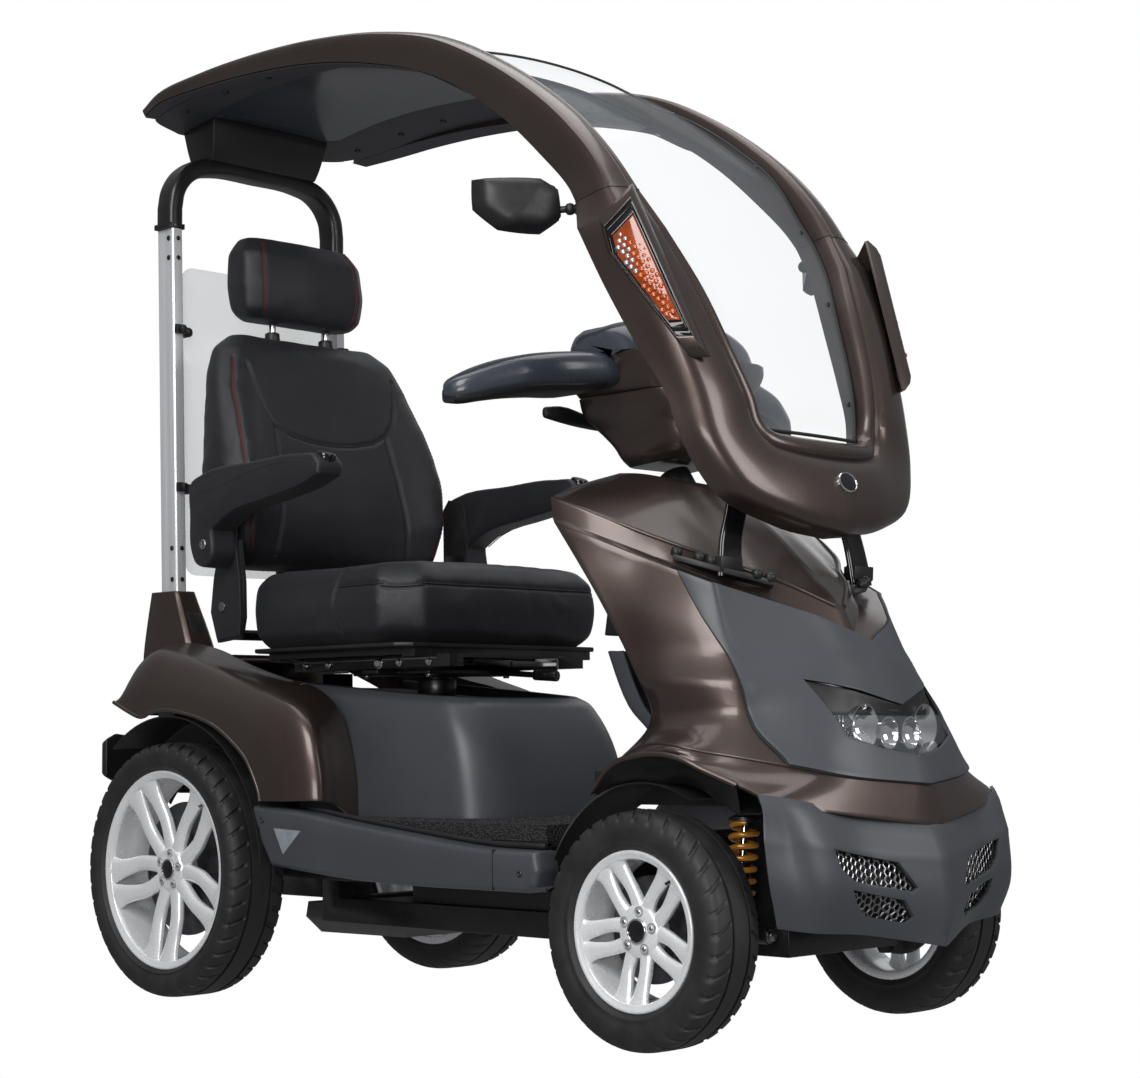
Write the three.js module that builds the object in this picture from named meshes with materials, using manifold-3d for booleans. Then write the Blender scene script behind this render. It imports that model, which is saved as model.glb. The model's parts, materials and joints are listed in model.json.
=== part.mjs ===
// Four-wheel mobility scooter with a roof canopy, as an assembly of separate
// parts. Millimetres, +Z up, front towards -Y, rider's right-hand side at -X.
// Inside this file the rear axle line is Y = 0 and the floor is Z = 0; the
// last lines shift the assembly so that the middle of its footprint is the
// origin.
import * as THREE from 'three';
import { mergeVertices } from 'three/addons/utils/BufferGeometryUtils.js';
import Module from 'manifold-3d';

const wasm = await Module();
wasm.setup();

// ---------------------------------------------------------------- sizes (mm)
const SHIFT_Y = 544.5;             // rear axle line to the middle of the length
const WHEELBASE = 1048;
const F_TYRE_R = 163, F_TYRE_W = 94, F_BEAD_R = 106, F_LIP_R = 110, F_TRACK = 284;
const R_TYRE_R = 211, R_TYRE_W = 112, R_BEAD_R = 160, R_LIP_R = 165, R_TRACK = 300;
const KINGPIN_X = 245;            // kingpin line from the centre plane
const ARM_PIVOT_X = 142, ARM_PIVOT_Z = 150;
const AXLE_PIVOT_Y = -262, AXLE_PIVOT_Z = 205;
const RAIL_X0 = 90, RAIL_X1 = 125, RAIL_Z0 = 120, RAIL_Z1 = 160;
const DECK_Z0 = 270, DECK_Z1 = 277, MAT_Z1 = 303, DECK_FRONT_Y = -858;
const POST_X0 = 178, POST_X1 = 201, POST_DY = 48;
const COLUMN_TILT = 0.463;        // run in Y per unit of rise of the steering column
const TILT_Y = -860, TILT_Z = 800; // tiller tilt pivot, on the column line
const SEAT_POST_Y = -302;
const BACK_PIVOT_Y = -60, BACK_PIVOT_Z = 650; // backrest hinge line
const GAP = 0.5;                  // running gap between neighbouring pieces

// ------------------------------------------------------------------- helpers
const TAU = Math.PI * 2;
const lerp = (a, b, t) => a + (b - a) * t;
const mirror = (m) => ({ v: m.v.map(([x, y, z]) => [-x, y, z]), t: m.t.map(([a, b, c]) => [a, c, b]) });

function orient(m) {
  let vol = 0;
  for (const [a, b, c] of m.t) {
    const [p, q, r] = [m.v[a], m.v[b], m.v[c]];
    vol += p[0] * (q[1] * r[2] - q[2] * r[1]) - p[1] * (q[0] * r[2] - q[2] * r[0]) + p[2] * (q[0] * r[1] - q[1] * r[0]);
  }
  return vol < 0 ? { v: m.v, t: m.t.map(([a, b, c]) => [a, c, b]) } : m;
}

// A three.js geometry as shared vertices and triangles.
function fromThree(g, matrix) {
  g.deleteAttribute('normal'); g.deleteAttribute('uv');
  if (matrix) g.applyMatrix4(matrix);
  const h = mergeVertices(g, 1e-3);
  const p = h.getAttribute('position'), ix = h.getIndex();
  const v = [], t = [];
  for (let i = 0; i < p.count; i++) v.push([p.getX(i), p.getY(i), p.getZ(i)]);
  for (let i = 0; i < ix.count; i += 3) {
    const a = ix.getX(i), b = ix.getX(i + 1), c = ix.getX(i + 2);
    if (a !== b && b !== c && a !== c) t.push([a, b, c]);
  }
  return orient({ v, t });
}

// Triangles for a flat (or nearly flat) closed outline, in the outline's order.
function capTris(ring) {
  let n = [0, 0, 0];
  for (let i = 0; i < ring.length; i++) {
    const a = ring[i], b = ring[(i + 1) % ring.length];
    n[0] += (a[1] - b[1]) * (a[2] + b[2]);
    n[1] += (a[2] - b[2]) * (a[0] + b[0]);
    n[2] += (a[0] - b[0]) * (a[1] + b[1]);
  }
  const k = [0, 1, 2].reduce((m, i) => (Math.abs(n[i]) > Math.abs(n[m]) ? i : m), 0);
  const [i0, i1] = [[1, 2], [2, 0], [0, 1]][k];
  const pts = ring.map((p) => new THREE.Vector2(p[i0], p[i1]));
  const area = THREE.ShapeUtils.area(pts);
  const faces = THREE.ShapeUtils.triangulateShape(pts, []);
  return faces.map(([a, b, c]) => {
    const s = THREE.ShapeUtils.area([pts[a], pts[b], pts[c]]);
    return s * area >= 0 ? [a, b, c] : [a, c, b];
  });
}

// A closed body through a row of outlines with the same number of points.
function loft(rings) {
  const n = rings[0].length, v = rings.flat(), t = [];
  for (let i = 0; i + 1 < rings.length; i++) {
    for (let j = 0; j < n; j++) {
      const a = i * n + j, b = i * n + (j + 1) % n, c = a + n, d = b + n;
      t.push([a, b, d], [a, d, c]);
    }
  }
  for (const [a, b, c] of capTris(rings[0])) t.push([a, c, b]);
  const o = (rings.length - 1) * n;
  for (const [a, b, c] of capTris(rings[rings.length - 1])) t.push([a + o, b + o, c + o]);
  return orient({ v, t });
}

// A sheet with thickness: a grid of outer points and the matching inner points.
function shell(outer, inner) {
  const R = outer.length, C = outer[0].length, N = R * C;
  const v = [...outer.flat(), ...inner.flat()], t = [];
  const quad = (a, b, c, d) => t.push([a, b, c], [a, c, d]);
  for (let r = 0; r + 1 < R; r++) {
    for (let c = 0; c + 1 < C; c++) {
      const a = r * C + c, b = a + 1, d = a + C, e = d + 1;
      quad(a, b, e, d);
      quad(N + a, N + d, N + e, N + b);
    }
  }
  for (let c = 0; c + 1 < C; c++) {
    quad(c + 1, c, N + c, N + c + 1);
    const o = (R - 1) * C;
    quad(o + c, o + c + 1, N + o + c + 1, N + o + c);
  }
  for (let r = 0; r + 1 < R; r++) {
    quad(r * C, (r + 1) * C, N + (r + 1) * C, N + r * C);
    const o = C - 1;
    quad((r + 1) * C + o, r * C + o, N + r * C + o, N + (r + 1) * C + o);
  }
  return orient({ v, t });
}

// Normals of a grid, averaged from its quads.
function gridNormals(g) {
  const R = g.length, C = g[0].length;
  return g.map((row, r) => row.map((_, c) => {
    const pa = g[r][Math.max(0, c - 1)], pb = g[r][Math.min(C - 1, c + 1)];
    const pc = g[Math.max(0, r - 1)][c], pd = g[Math.min(R - 1, r + 1)][c];
    const n = new THREE.Vector3(...pb).sub(new THREE.Vector3(...pa))
      .cross(new THREE.Vector3(...pd).sub(new THREE.Vector3(...pc)));
    return n.lengthSq() > 0 ? n.normalize().toArray() : [0, 0, 1];
  }));
}

// A grid moved along its normals; "towards" picks the side.
function offsetGrid(g, d, towards) {
  const nn = gridNormals(g);
  return g.map((row, r) => row.map((p, c) => {
    let n = nn[r][c];
    const s = (towards[0] - p[0]) * n[0] + (towards[1] - p[1]) * n[1] + (towards[2] - p[2]) * n[2] < 0 ? -1 : 1;
    return [p[0] + n[0] * d * s, p[1] + n[1] * d * s, p[2] + n[2] * d * s];
  }));
}

function box(x0, x1, y0, y1, z0, z1) {
  return fromThree(new THREE.BoxGeometry(x1 - x0, y1 - y0, z1 - z0),
    new THREE.Matrix4().makeTranslation((x0 + x1) / 2, (y0 + y1) / 2, (z0 + z1) / 2));
}

// A cylinder from point p to point q.
function rod(p, q, r, n = 12, r2 = r) {
  const a = new THREE.Vector3(...p), b = new THREE.Vector3(...q), d = b.clone().sub(a);
  const g = new THREE.CylinderGeometry(r2, r, d.length(), n, 1);
  const m = new THREE.Matrix4().makeRotationFromQuaternion(
    new THREE.Quaternion().setFromUnitVectors(new THREE.Vector3(0, 1, 0), d.clone().normalize()));
  m.setPosition(a.clone().add(b).multiplyScalar(0.5));
  return fromThree(g, m);
}

// A tube of round section along a smooth curve through points.
function tube(points, r, sides = 10, steps = 16) {
  const s = new THREE.Shape();
  for (let i = 0; i < sides; i++) {
    const a = (i / sides) * TAU;
    if (i === 0) s.moveTo(r * Math.cos(a), r * Math.sin(a)); else s.lineTo(r * Math.cos(a), r * Math.sin(a));
  }
  const path = new THREE.CatmullRomCurve3(points.map((p) => new THREE.Vector3(...p)), false, 'centripetal');
  return fromThree(new THREE.ExtrudeGeometry(s, { steps, extrudePath: path, curveSegments: 1 }));
}

// An outline in the (Y, Z) plane, extruded along X.
function prismX(pts, x0, x1) {
  return loft([pts.map(([y, z]) => [x0, y, z]), pts.map(([y, z]) => [x1, y, z])]);
}
// An outline in the (X, Y) plane, extruded along Z.
function prismZ(pts, z0, z1) {
  const s = new THREE.Shape(pts.map(([x, y]) => new THREE.Vector2(x, y)));
  return fromThree(new THREE.ExtrudeGeometry(s, { depth: z1 - z0, bevelEnabled: false }),
    new THREE.Matrix4().makeTranslation(0, 0, z0));
}

// A turned ring: profile [radius, x], axis along X, n sides, a flat downwards.
function turned(profile, n, cx, cy, cz) {
  const g = new THREE.LatheGeometry(profile.map(([r, a]) => new THREE.Vector2(r / Math.cos(Math.PI / n), a)), n, Math.PI / n);
  const m = new THREE.Matrix4().makeRotationZ(-Math.PI / 2);
  m.setPosition(cx, cy, cz);
  return fromThree(g, m);
}

const toM = (m) => new wasm.Manifold(new wasm.Mesh({
  numProp: 3, vertProperties: new Float32Array(m.v.flat()), triVerts: new Uint32Array(m.t.flat()),
}));
function fromM(man) {
  const k = man.getMesh(), v = [], t = [];
  for (let i = 0; i < k.vertProperties.length; i += k.numProp) v.push([...k.vertProperties.slice(i, i + 3)]);
  for (let i = 0; i < k.triVerts.length; i += 3) t.push([...k.triVerts.slice(i, i + 3)]);
  return { v, t };
}
const union = (...list) => fromM(list.map(toM).reduce((a, b) => a.add(b)));
const cut = (a, ...list) => fromM(list.map(toM).reduce((m, b) => m.subtract(b), toM(a)));

const assembly = new THREE.Group();
function add(name, m, color, roughness, metalness) {
  const g = new THREE.BufferGeometry();
  g.setAttribute('position', new THREE.BufferAttribute(new Float32Array(m.v.flat()), 3));
  g.setIndex(m.t.flat());
  g.computeVertexNormals();
  const mesh = new THREE.Mesh(g, new THREE.MeshStandardMaterial({ color, roughness, metalness }));
  mesh.name = name;
  assembly.add(mesh);
}

const BROWN = [0x4a3b36, 0.35, 0.5], GREY = [0x4b4d54, 0.45, 0.2], BLACK = [0x17171a, 0.55, 0.0];
const STEEL = [0x1c1c1e, 0.45, 0.6], LEATHER = [0x15161b, 0.5, 0.0], ALLOY = [0xb9bbbe, 0.3, 0.9];
const RUBBER = [0x1b1c1e, 0.85, 0.0], CLEAR = [0xdfe6ea, 0.05, 0.0], ORANGE = [0xc86a18, 0.35, 0.3];

// --------------------------------------------------------------------- wheels
function tyre(R, W, bead, cx, cy, cz, n) {
  const h = W / 2;
  return turned([[bead, -h * 0.66], [bead + 6, -h * 0.68], [bead + 12, -h * 0.86], [R * 0.88, -h], [R * 0.955, -h * 0.93], [R, -h * 0.72],
    [R, h * 0.72], [R * 0.955, h * 0.93], [R * 0.88, h], [bead + 12, h * 0.86], [bead + 6, h * 0.68], [bead, h * 0.66], [bead, -h * 0.66]], n, cx, cy, cz);
}
function rim(side, R, lip, W, cx, cy, cz, hubIn, boreDepth, n) {
  // Barrel ring, five twin spokes and a hub with a blind bore for the stub axle.
  const h = W / 2, b = R - GAP, o = side;   // o: +1 left wheel, -1 right wheel
  const barrel = turned([[b, -h * 0.70], [lip, -h * 0.71], [lip, -h * 0.84], [b - 9, -h * 0.84], [b - 13, 0],
    [b - 7, h * 0.84], [lip, h * 0.84], [lip, h * 0.71], [b, h * 0.70], [b, -h * 0.70]], n, cx, cy, cz);
  const xo = cx + o * h * 0.50;             // spoke plane, near the outer face
  let w = union(barrel, rod([cx + o * hubIn, cy, cz], [cx + o * (h * 0.62), cy, cz], 30, 20));
  for (let k = 0; k < 5; k++) {
    for (const s of [-1, 1]) {
      const a0 = (k / 5) * TAU + Math.PI / 2 + s * 0.10, a1 = (k / 5) * TAU + Math.PI / 2 + s * 0.30;
      const p = [cy + 22 * Math.cos(a0), cz + 22 * Math.sin(a0)], q = [cy + (b - 4) * Math.cos(a1), cz + (b - 4) * Math.sin(a1)];
      const dx = q[0] - p[0], dz = q[1] - p[1], L = Math.hypot(dx, dz), nx = -dz / L, nz = dx / L;
      const sec = (c, wd) => [[xo - 7, c[0] + nx * wd, c[1] + nz * wd], [xo + 7, c[0] + nx * wd * 0.7, c[1] + nz * wd * 0.7],
        [xo + 7, c[0] - nx * wd * 0.7, c[1] - nz * wd * 0.7], [xo - 7, c[0] - nx * wd, c[1] - nz * wd]];
      w = union(w, loft([sec(p, 9), sec(q, 8)]));
    }
  }
  return cut(w, rod([cx + o * (hubIn - 2), cy, cz], [cx + o * (hubIn + boreDepth), cy, cz], 12.7, 16));
}
for (const [side, s] of [['right', -1], ['left', 1]]) {
  add('front_tyre_' + side, tyre(F_TYRE_R, F_TYRE_W, F_BEAD_R, s * F_TRACK, -WHEELBASE, F_TYRE_R, 24), ...RUBBER);
  add('front_rim_' + side, rim(s, F_BEAD_R, F_LIP_R, F_TYRE_W, s * F_TRACK, -WHEELBASE, F_TYRE_R, -24, 44, 24), ...ALLOY);
  add('rear_tyre_' + side, tyre(R_TYRE_R, R_TYRE_W, R_BEAD_R, s * R_TRACK, 0, R_TYRE_R, 24), ...RUBBER);
  add('rear_rim_' + side, rim(s, R_BEAD_R, R_LIP_R, R_TYRE_W, s * R_TRACK, 0, R_TYRE_R, -30, 46, 24), ...ALLOY);
}

// ----------------------------------------------------------- front suspension
const FY = -WHEELBASE;
function frontArm(s) {
  const X = (x) => s * x;
  return union(
    rod([X(ARM_PIVOT_X), FY - 92, ARM_PIVOT_Z], [X(ARM_PIVOT_X), FY + 92, ARM_PIVOT_Z], 12, 12),
    rod([X(ARM_PIVOT_X), FY - 74, ARM_PIVOT_Z], [X(KINGPIN_X), FY, 108], 9, 10),
    rod([X(ARM_PIVOT_X), FY + 74, ARM_PIVOT_Z], [X(KINGPIN_X), FY, 108], 9, 10),
    rod([X(KINGPIN_X), FY, 94], [X(KINGPIN_X), FY, 123.4], 10, 12),
    box(Math.min(X(160), X(192)), Math.max(X(160), X(192)), FY - 76, FY - 40, 132, 150),
  );
}
function knuckle(s) {
  const X = (x) => s * x;
  return union(
    rod([X(KINGPIN_X), FY, 124], [X(KINGPIN_X), FY, 216], 13, 12),
    rod([X(KINGPIN_X), FY, F_TYRE_R], [X(F_TRACK + 16), FY, F_TYRE_R], 12, 16),
    rod([X(KINGPIN_X), FY, F_TYRE_R], [X(F_TRACK - 26), FY, F_TYRE_R], 26, 16),
    rod([X(KINGPIN_X), FY, 190], [X(KINGPIN_X - 42), FY + 50, 190], 7, 8),
  );
}
function coil(x0, y0, z0, x1, y1, z1, r) {
  const d = [x1 - x0, y1 - y0, z1 - z0];
  const at = (t) => [x0 + d[0] * t, y0 + d[1] * t, z0 + d[2] * t];
  return union(rod(at(0), at(1), 8, 10), rod(at(0.16), at(0.86), r, 14));
}
for (const [side, s] of [['right', -1], ['left', 1]]) {
  add('front_arm_' + side, frontArm(s), ...STEEL);
  add('knuckle_' + side, knuckle(s), ...STEEL);
  add('front_spring_' + side, coil(s * 176, FY - 62, 152.2, s * 152, FY - 62, 334, 22), ...ORANGE);
}

// ------------------------------------------------------------- rear transaxle
{
  const Z = R_TYRE_R;
  const parts = [
    rod([-262, 0, Z], [262, 0, Z], 24, 16), rod([-316, 0, Z], [316, 0, Z], 12, 16),
    box(-58, 58, -66, 66, 152, 274), rod([0, 60, 218], [0, 188, 218], 50, 18),
    rod([-166, AXLE_PIVOT_Y, AXLE_PIVOT_Z], [166, AXLE_PIVOT_Y, AXLE_PIVOT_Z], 14, 12),
  ];
  for (const s of [-1, 1]) {
    const a = s * 138, b = s * 166, x0 = Math.min(a, b), x1 = Math.max(a, b);
    parts.push(prismX([[AXLE_PIVOT_Y - 16, 192], [10, 196], [96, 206], [96, 226], [10, 228], [AXLE_PIVOT_Y - 16, 218]], x0, x1));
    const c = s * 160, d = s * 218;
    parts.push(box(Math.min(c, d), Math.max(c, d), 62, 96, 210, 224));
  }
  add('rear_axle', union(...parts), ...STEEL);
  for (const [side, s] of [['right', -1], ['left', 1]]) {
    add('rear_spring_' + side, coil(s * 202, 79, 224.8, s * 202, 79, 352, 22), ...ORANGE);
  }
}

// --------------------------------------------------------------- chassis frame
{
  const p = [];
  for (const s of [-1, 1]) {
    const bx = (a, b, ...r) => p.push(box(Math.min(s * a, s * b), Math.max(s * a, s * b), ...r));
    bx(RAIL_X0, RAIL_X1, -1160, -150, RAIL_Z0, RAIL_Z1);       // main rail
    bx(RAIL_X0, RAIL_X1, -190, -150, RAIL_Z0, 365);            // rear riser
    bx(RAIL_X0, RAIL_X1, -190, 213, 330, 365);                 // rear rail
    bx(62, 112, -1128, -1078, RAIL_Z0, 350);                   // spring tower
    bx(62, 168, -1128, -1092, 336, 350);                       // spring top plate
    bx(RAIL_X0, 226, 60, 98, 354, 365);                        // rear spring top plate
    bx(RAIL_X0, POST_X1 + 4, 158, 213, 340, 365);              // mast outrigger
    bx(POST_X0 - 5, POST_X1 + 4, 162, 213, 340, 548);          // mast upright
  }
  p.push(box(-125, 125, -1160, -1128, RAIL_Z0, RAIL_Z1), box(-125, 125, -880, -850, RAIL_Z0, RAIL_Z1));
  p.push(box(-125, 125, -460, -430, RAIL_Z0, RAIL_Z1), box(-125, 125, -190, -150, RAIL_Z0, RAIL_Z1));
  p.push(box(-125, 125, -350, -254, 148, RAIL_Z1), box(-100, 100, 180, 213, 330, 365));
  p.push(loft([[[-96, -330, 100], [96, -330, 100], [96, -112, 98], [-96, -112, 98]], [[-112, -352, 124], [112, -352, 124], [112, -90, 124], [-112, -90, 124]],
    [[-112, -352, 150], [112, -352, 150], [112, -96, 150], [-112, -96, 150]]]));
  p.push(box(-112, 112, -1128, -1078, 322, 336));
  p.push(box(-125, 125, -190, -160, 330, 365));
  add('chassis_frame', union(...p), ...STEEL);
}

// ------------------------------------------------------------------- floor
{
  const deck = union(box(-292, 292, DECK_FRONT_Y, -360, DECK_Z0, DECK_Z1),
    box(-292, -282, DECK_FRONT_Y, -360, 205, DECK_Z1), box(282, 292, DECK_FRONT_Y, -360, 205, DECK_Z1),
    box(-120, -96, -840, -372, RAIL_Z1 + GAP, DECK_Z1), box(96, 120, -840, -372, RAIL_Z1 + GAP, DECK_Z1));
  add('floor_deck', deck, ...BLACK);
  add('floor_mat', prismZ([[-292, DECK_FRONT_Y + 2], [292, DECK_FRONT_Y + 2], [292, -362], [200, -362], [200, -560],
    [160, -606], [80, -624], [-80, -624], [-160, -606], [-200, -560], [-200, -362], [-292, -362]], DECK_Z1 + GAP, MAT_Z1), ...BLACK);
  const sillOut = [[-229, 321], [-250, 262], [-276, 226], [-473, 211], [-855, 207], [-874, 216], [-882, 240], [-876, 266],
    [-763, 268], [-600, 283], [-425, 302], [-330, 314]];
  const sill = (s) => loft([sillOut.map(([y, z]) => [s * 293, y, z]),
    sillOut.map(([y, z]) => [s * 330, y, z]),
    sillOut.map(([y, z]) => [s * 338, lerp(y, -550, 0.01), lerp(z, 255, 0.12)])]);
  add('sill_right', sill(-1), ...GREY);
  add('sill_left', sill(1), ...GREY);
  add('battery_pack', union(box(-150, 150, -522, -352, DECK_Z1 + GAP, 300), box(-146, -3, -516, -358, 290, 425),
    box(3, 146, -516, -358, 290, 425), box(-60, 60, -450, -424, 410, 432)), ...BLACK);
}

// ------------------------------------------------------------ seat box cover
{
  const ringAt = (w, yf, yr, z0, slope, c) => {
    const z = (y) => z0 + slope * (y - yf);
    const pts = [[-w, yr], [-w, yf + c], [-w * 0.93, yf + c * 0.45], [-w * 0.72, yf + c * 0.12], [-w * 0.4, yf],
      [w * 0.4, yf], [w * 0.72, yf + c * 0.12], [w * 0.93, yf + c * 0.45], [w, yf + c], [w, yr]];
    return pts.map(([x, y]) => [x, y, z(y)]);
  };
  const body = (d, yr, zb, dt) => loft([
    ringAt(195 - d, -612 + d, yr, zb, 0, 90), ringAt(191 - d, -602 + d, yr, 360, 0, 88),
    ringAt(184 - d, -580 + d, yr, 425 - dt * 0.6, 0.02, 84), ringAt(174 - d, -552 + d, yr, 466 - dt, 0.05, 78),
    ringAt(158 - d, -522 + d, yr, 489 - dt, 0.085, 66)]);
  const outer = body(0, -42, DECK_Z1 + GAP, 0), inner = body(5, 60, 200, 5);
  add('seat_box_cover', cut(outer, inner, rod([0, SEAT_POST_Y, 300], [0, SEAT_POST_Y, 560], 36, 20)), ...GREY);
}

// -------------------------------------------------------------- rear fairing
const FAIR_TOP = [[150, 500], [143, 540], [95, 571], [10, 564], [-74, 547], [-148, 526], [-248, 496], [-312, 468], [-346, 425], [-362, 370], [-366, 328]];
const FAIR_LIP = [[148, 492], [112, 478], [74, 466], [37, 473], [-15, 476], [-101, 461], [-175, 430], [-225, 393], [-249, 358], [-257, 342], [-260, 328]];
const FAIR_IN = [[196, 560], [196, 590], [150, 600], [40, 584], [-60, 552], [-148, 530], [-248, 506], [-300, 468], [-324, 415], [-340, 356], [-346, 286]];
{
  const grid = (s) => [
    FAIR_IN.map(([y, z], i) => [s * (i < 5 ? 203 : 208), y, z]),
    FAIR_TOP.map(([y, z], i) => [s * 262, lerp(y, FAIR_IN[i][0], 0.4), lerp(z, FAIR_IN[i][1], 0.35) + 6]),
    FAIR_TOP.map(([y, z]) => [s * 306, y, z]),
    FAIR_TOP.map(([y, z], i) => [s * 333, lerp(y, FAIR_LIP[i][0], 0.45), lerp(z, FAIR_LIP[i][1], 0.45)]),
    FAIR_LIP.map(([y, z]) => [s * 344, y, z]),
  ];
  const side = (s) => { const g = grid(s); return shell(g, offsetGrid(g, 5, [s * 260, -40, 200])); };
  const socket = (s) => loft([
    [[s * 160, 96, 566], [s * 222, 96, 566], [s * 222, 243, 566], [s * 160, 243, 566]],
    [[s * 163, 118, 622], [s * 218, 118, 622], [s * 218, 238, 622], [s * 163, 238, 622]],
    [[s * 167, 150, 690], [s * 212, 150, 690], [s * 212, 232, 690], [s * 167, 232, 690]]]);
  const deck = box(-207, 207, -8, 243, 566, 572);
  const back = loft([[[-215, 236, 470], [215, 236, 470], [215, 243, 470], [-215, 243, 470]],
    [[-222, 236, 570], [222, 236, 570], [222, 243, 570], [-222, 243, 570]]]);
  let f = union(side(-1), side(1), deck, back, socket(-1), socket(1));
  for (const s of [-1, 1]) {
    f = cut(f, box(Math.min(s * (POST_X0 - 2), s * (POST_X1 + 2)), Math.max(s * (POST_X0 - 2), s * (POST_X1 + 2)), 162, 216, 500, 700));
  }
  add('rear_fairing', f, ...BROWN);
}
{
  const sec = (x, y0, y1, z0, z1) => [[x, y0, z0], [x, y1, z0 + 6], [x, y1, z1 - 8], [x, y0, z1]];
  add('rear_bumper', loft([sec(-322, 200, 216, 362, 430), sec(-290, 217, 240, 352, 440), sec(-150, 218, 254, 330, 420),
    sec(0, 218, 255, 326, 416), sec(150, 218, 254, 330, 420), sec(290, 217, 240, 352, 440), sec(322, 200, 216, 362, 430)]), ...BLACK);
}

// ---------------------------------------------------------------------- mast
const leanAt = (z) => (z - 690) * 0.029;
for (const [side, s] of [['right', -1], ['left', 1]]) {
  const sec = (z) => {
    const y0 = 165 + Math.max(0, leanAt(z)), x0 = s * POST_X0, x1 = s * POST_X1;
    return [[x0, y0, z], [x1, y0, z], [x1, y0 + POST_DY, z], [x0, y0 + POST_DY, z]];
  };
  add('mast_post_' + side, loft([sec(549), sec(690), sec(1352)]), ...ALLOY);
}
{
  const path = [[-190, 208, 1353], [-190, 208, 1392], [-184, 207, 1425], [-166, 206, 1453], [-138, 204, 1472], [-100, 203, 1481],
    [0, 203, 1484], [100, 203, 1481], [138, 204, 1472], [166, 206, 1453], [184, 207, 1425], [190, 208, 1392], [190, 208, 1353]];
  const rings = path.map(([x, y, z], i) => {
    const a = path[Math.max(0, i - 1)], b = path[Math.min(path.length - 1, i + 1)];
    const tx = b[0] - a[0], tz = b[2] - a[2], L = Math.hypot(tx, tz), nx = -tz / L, nz = tx / L;
    const hx = 17, hy = 25;
    return [[1, 0.55], [0.55, 1], [-0.55, 1], [-1, 0.55], [-1, -0.55], [-0.55, -1], [0.55, -1], [1, -0.55]]
      .map(([u, w]) => [x + nx * hx * u, y + hy * w, z + nz * hx * u]);
  });
  add('mast_hoop', union(loft(rings), loft([
    [[-120, 170, 1490], [120, 170, 1490], [120, 236, 1490], [-120, 236, 1490]],
    [[-135, 150, 1536], [135, 150, 1536], [135, 246, 1530], [-135, 246, 1530]]])), ...BLACK);
  const scr = [[-166, 722], [166, 722], [166, 1252], [140, 1288], [-140, 1288], [-166, 1252]];
  add('rear_screen', loft([scr.map(([x, z]) => [x, 186 + leanAt(z), z]), scr.map(([x, z]) => [x, 190 + leanAt(z), z])]), ...CLEAR);
}

// -------------------------------------------------------------------- canopy
const MIRROR_TURN = -0.13;
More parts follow.
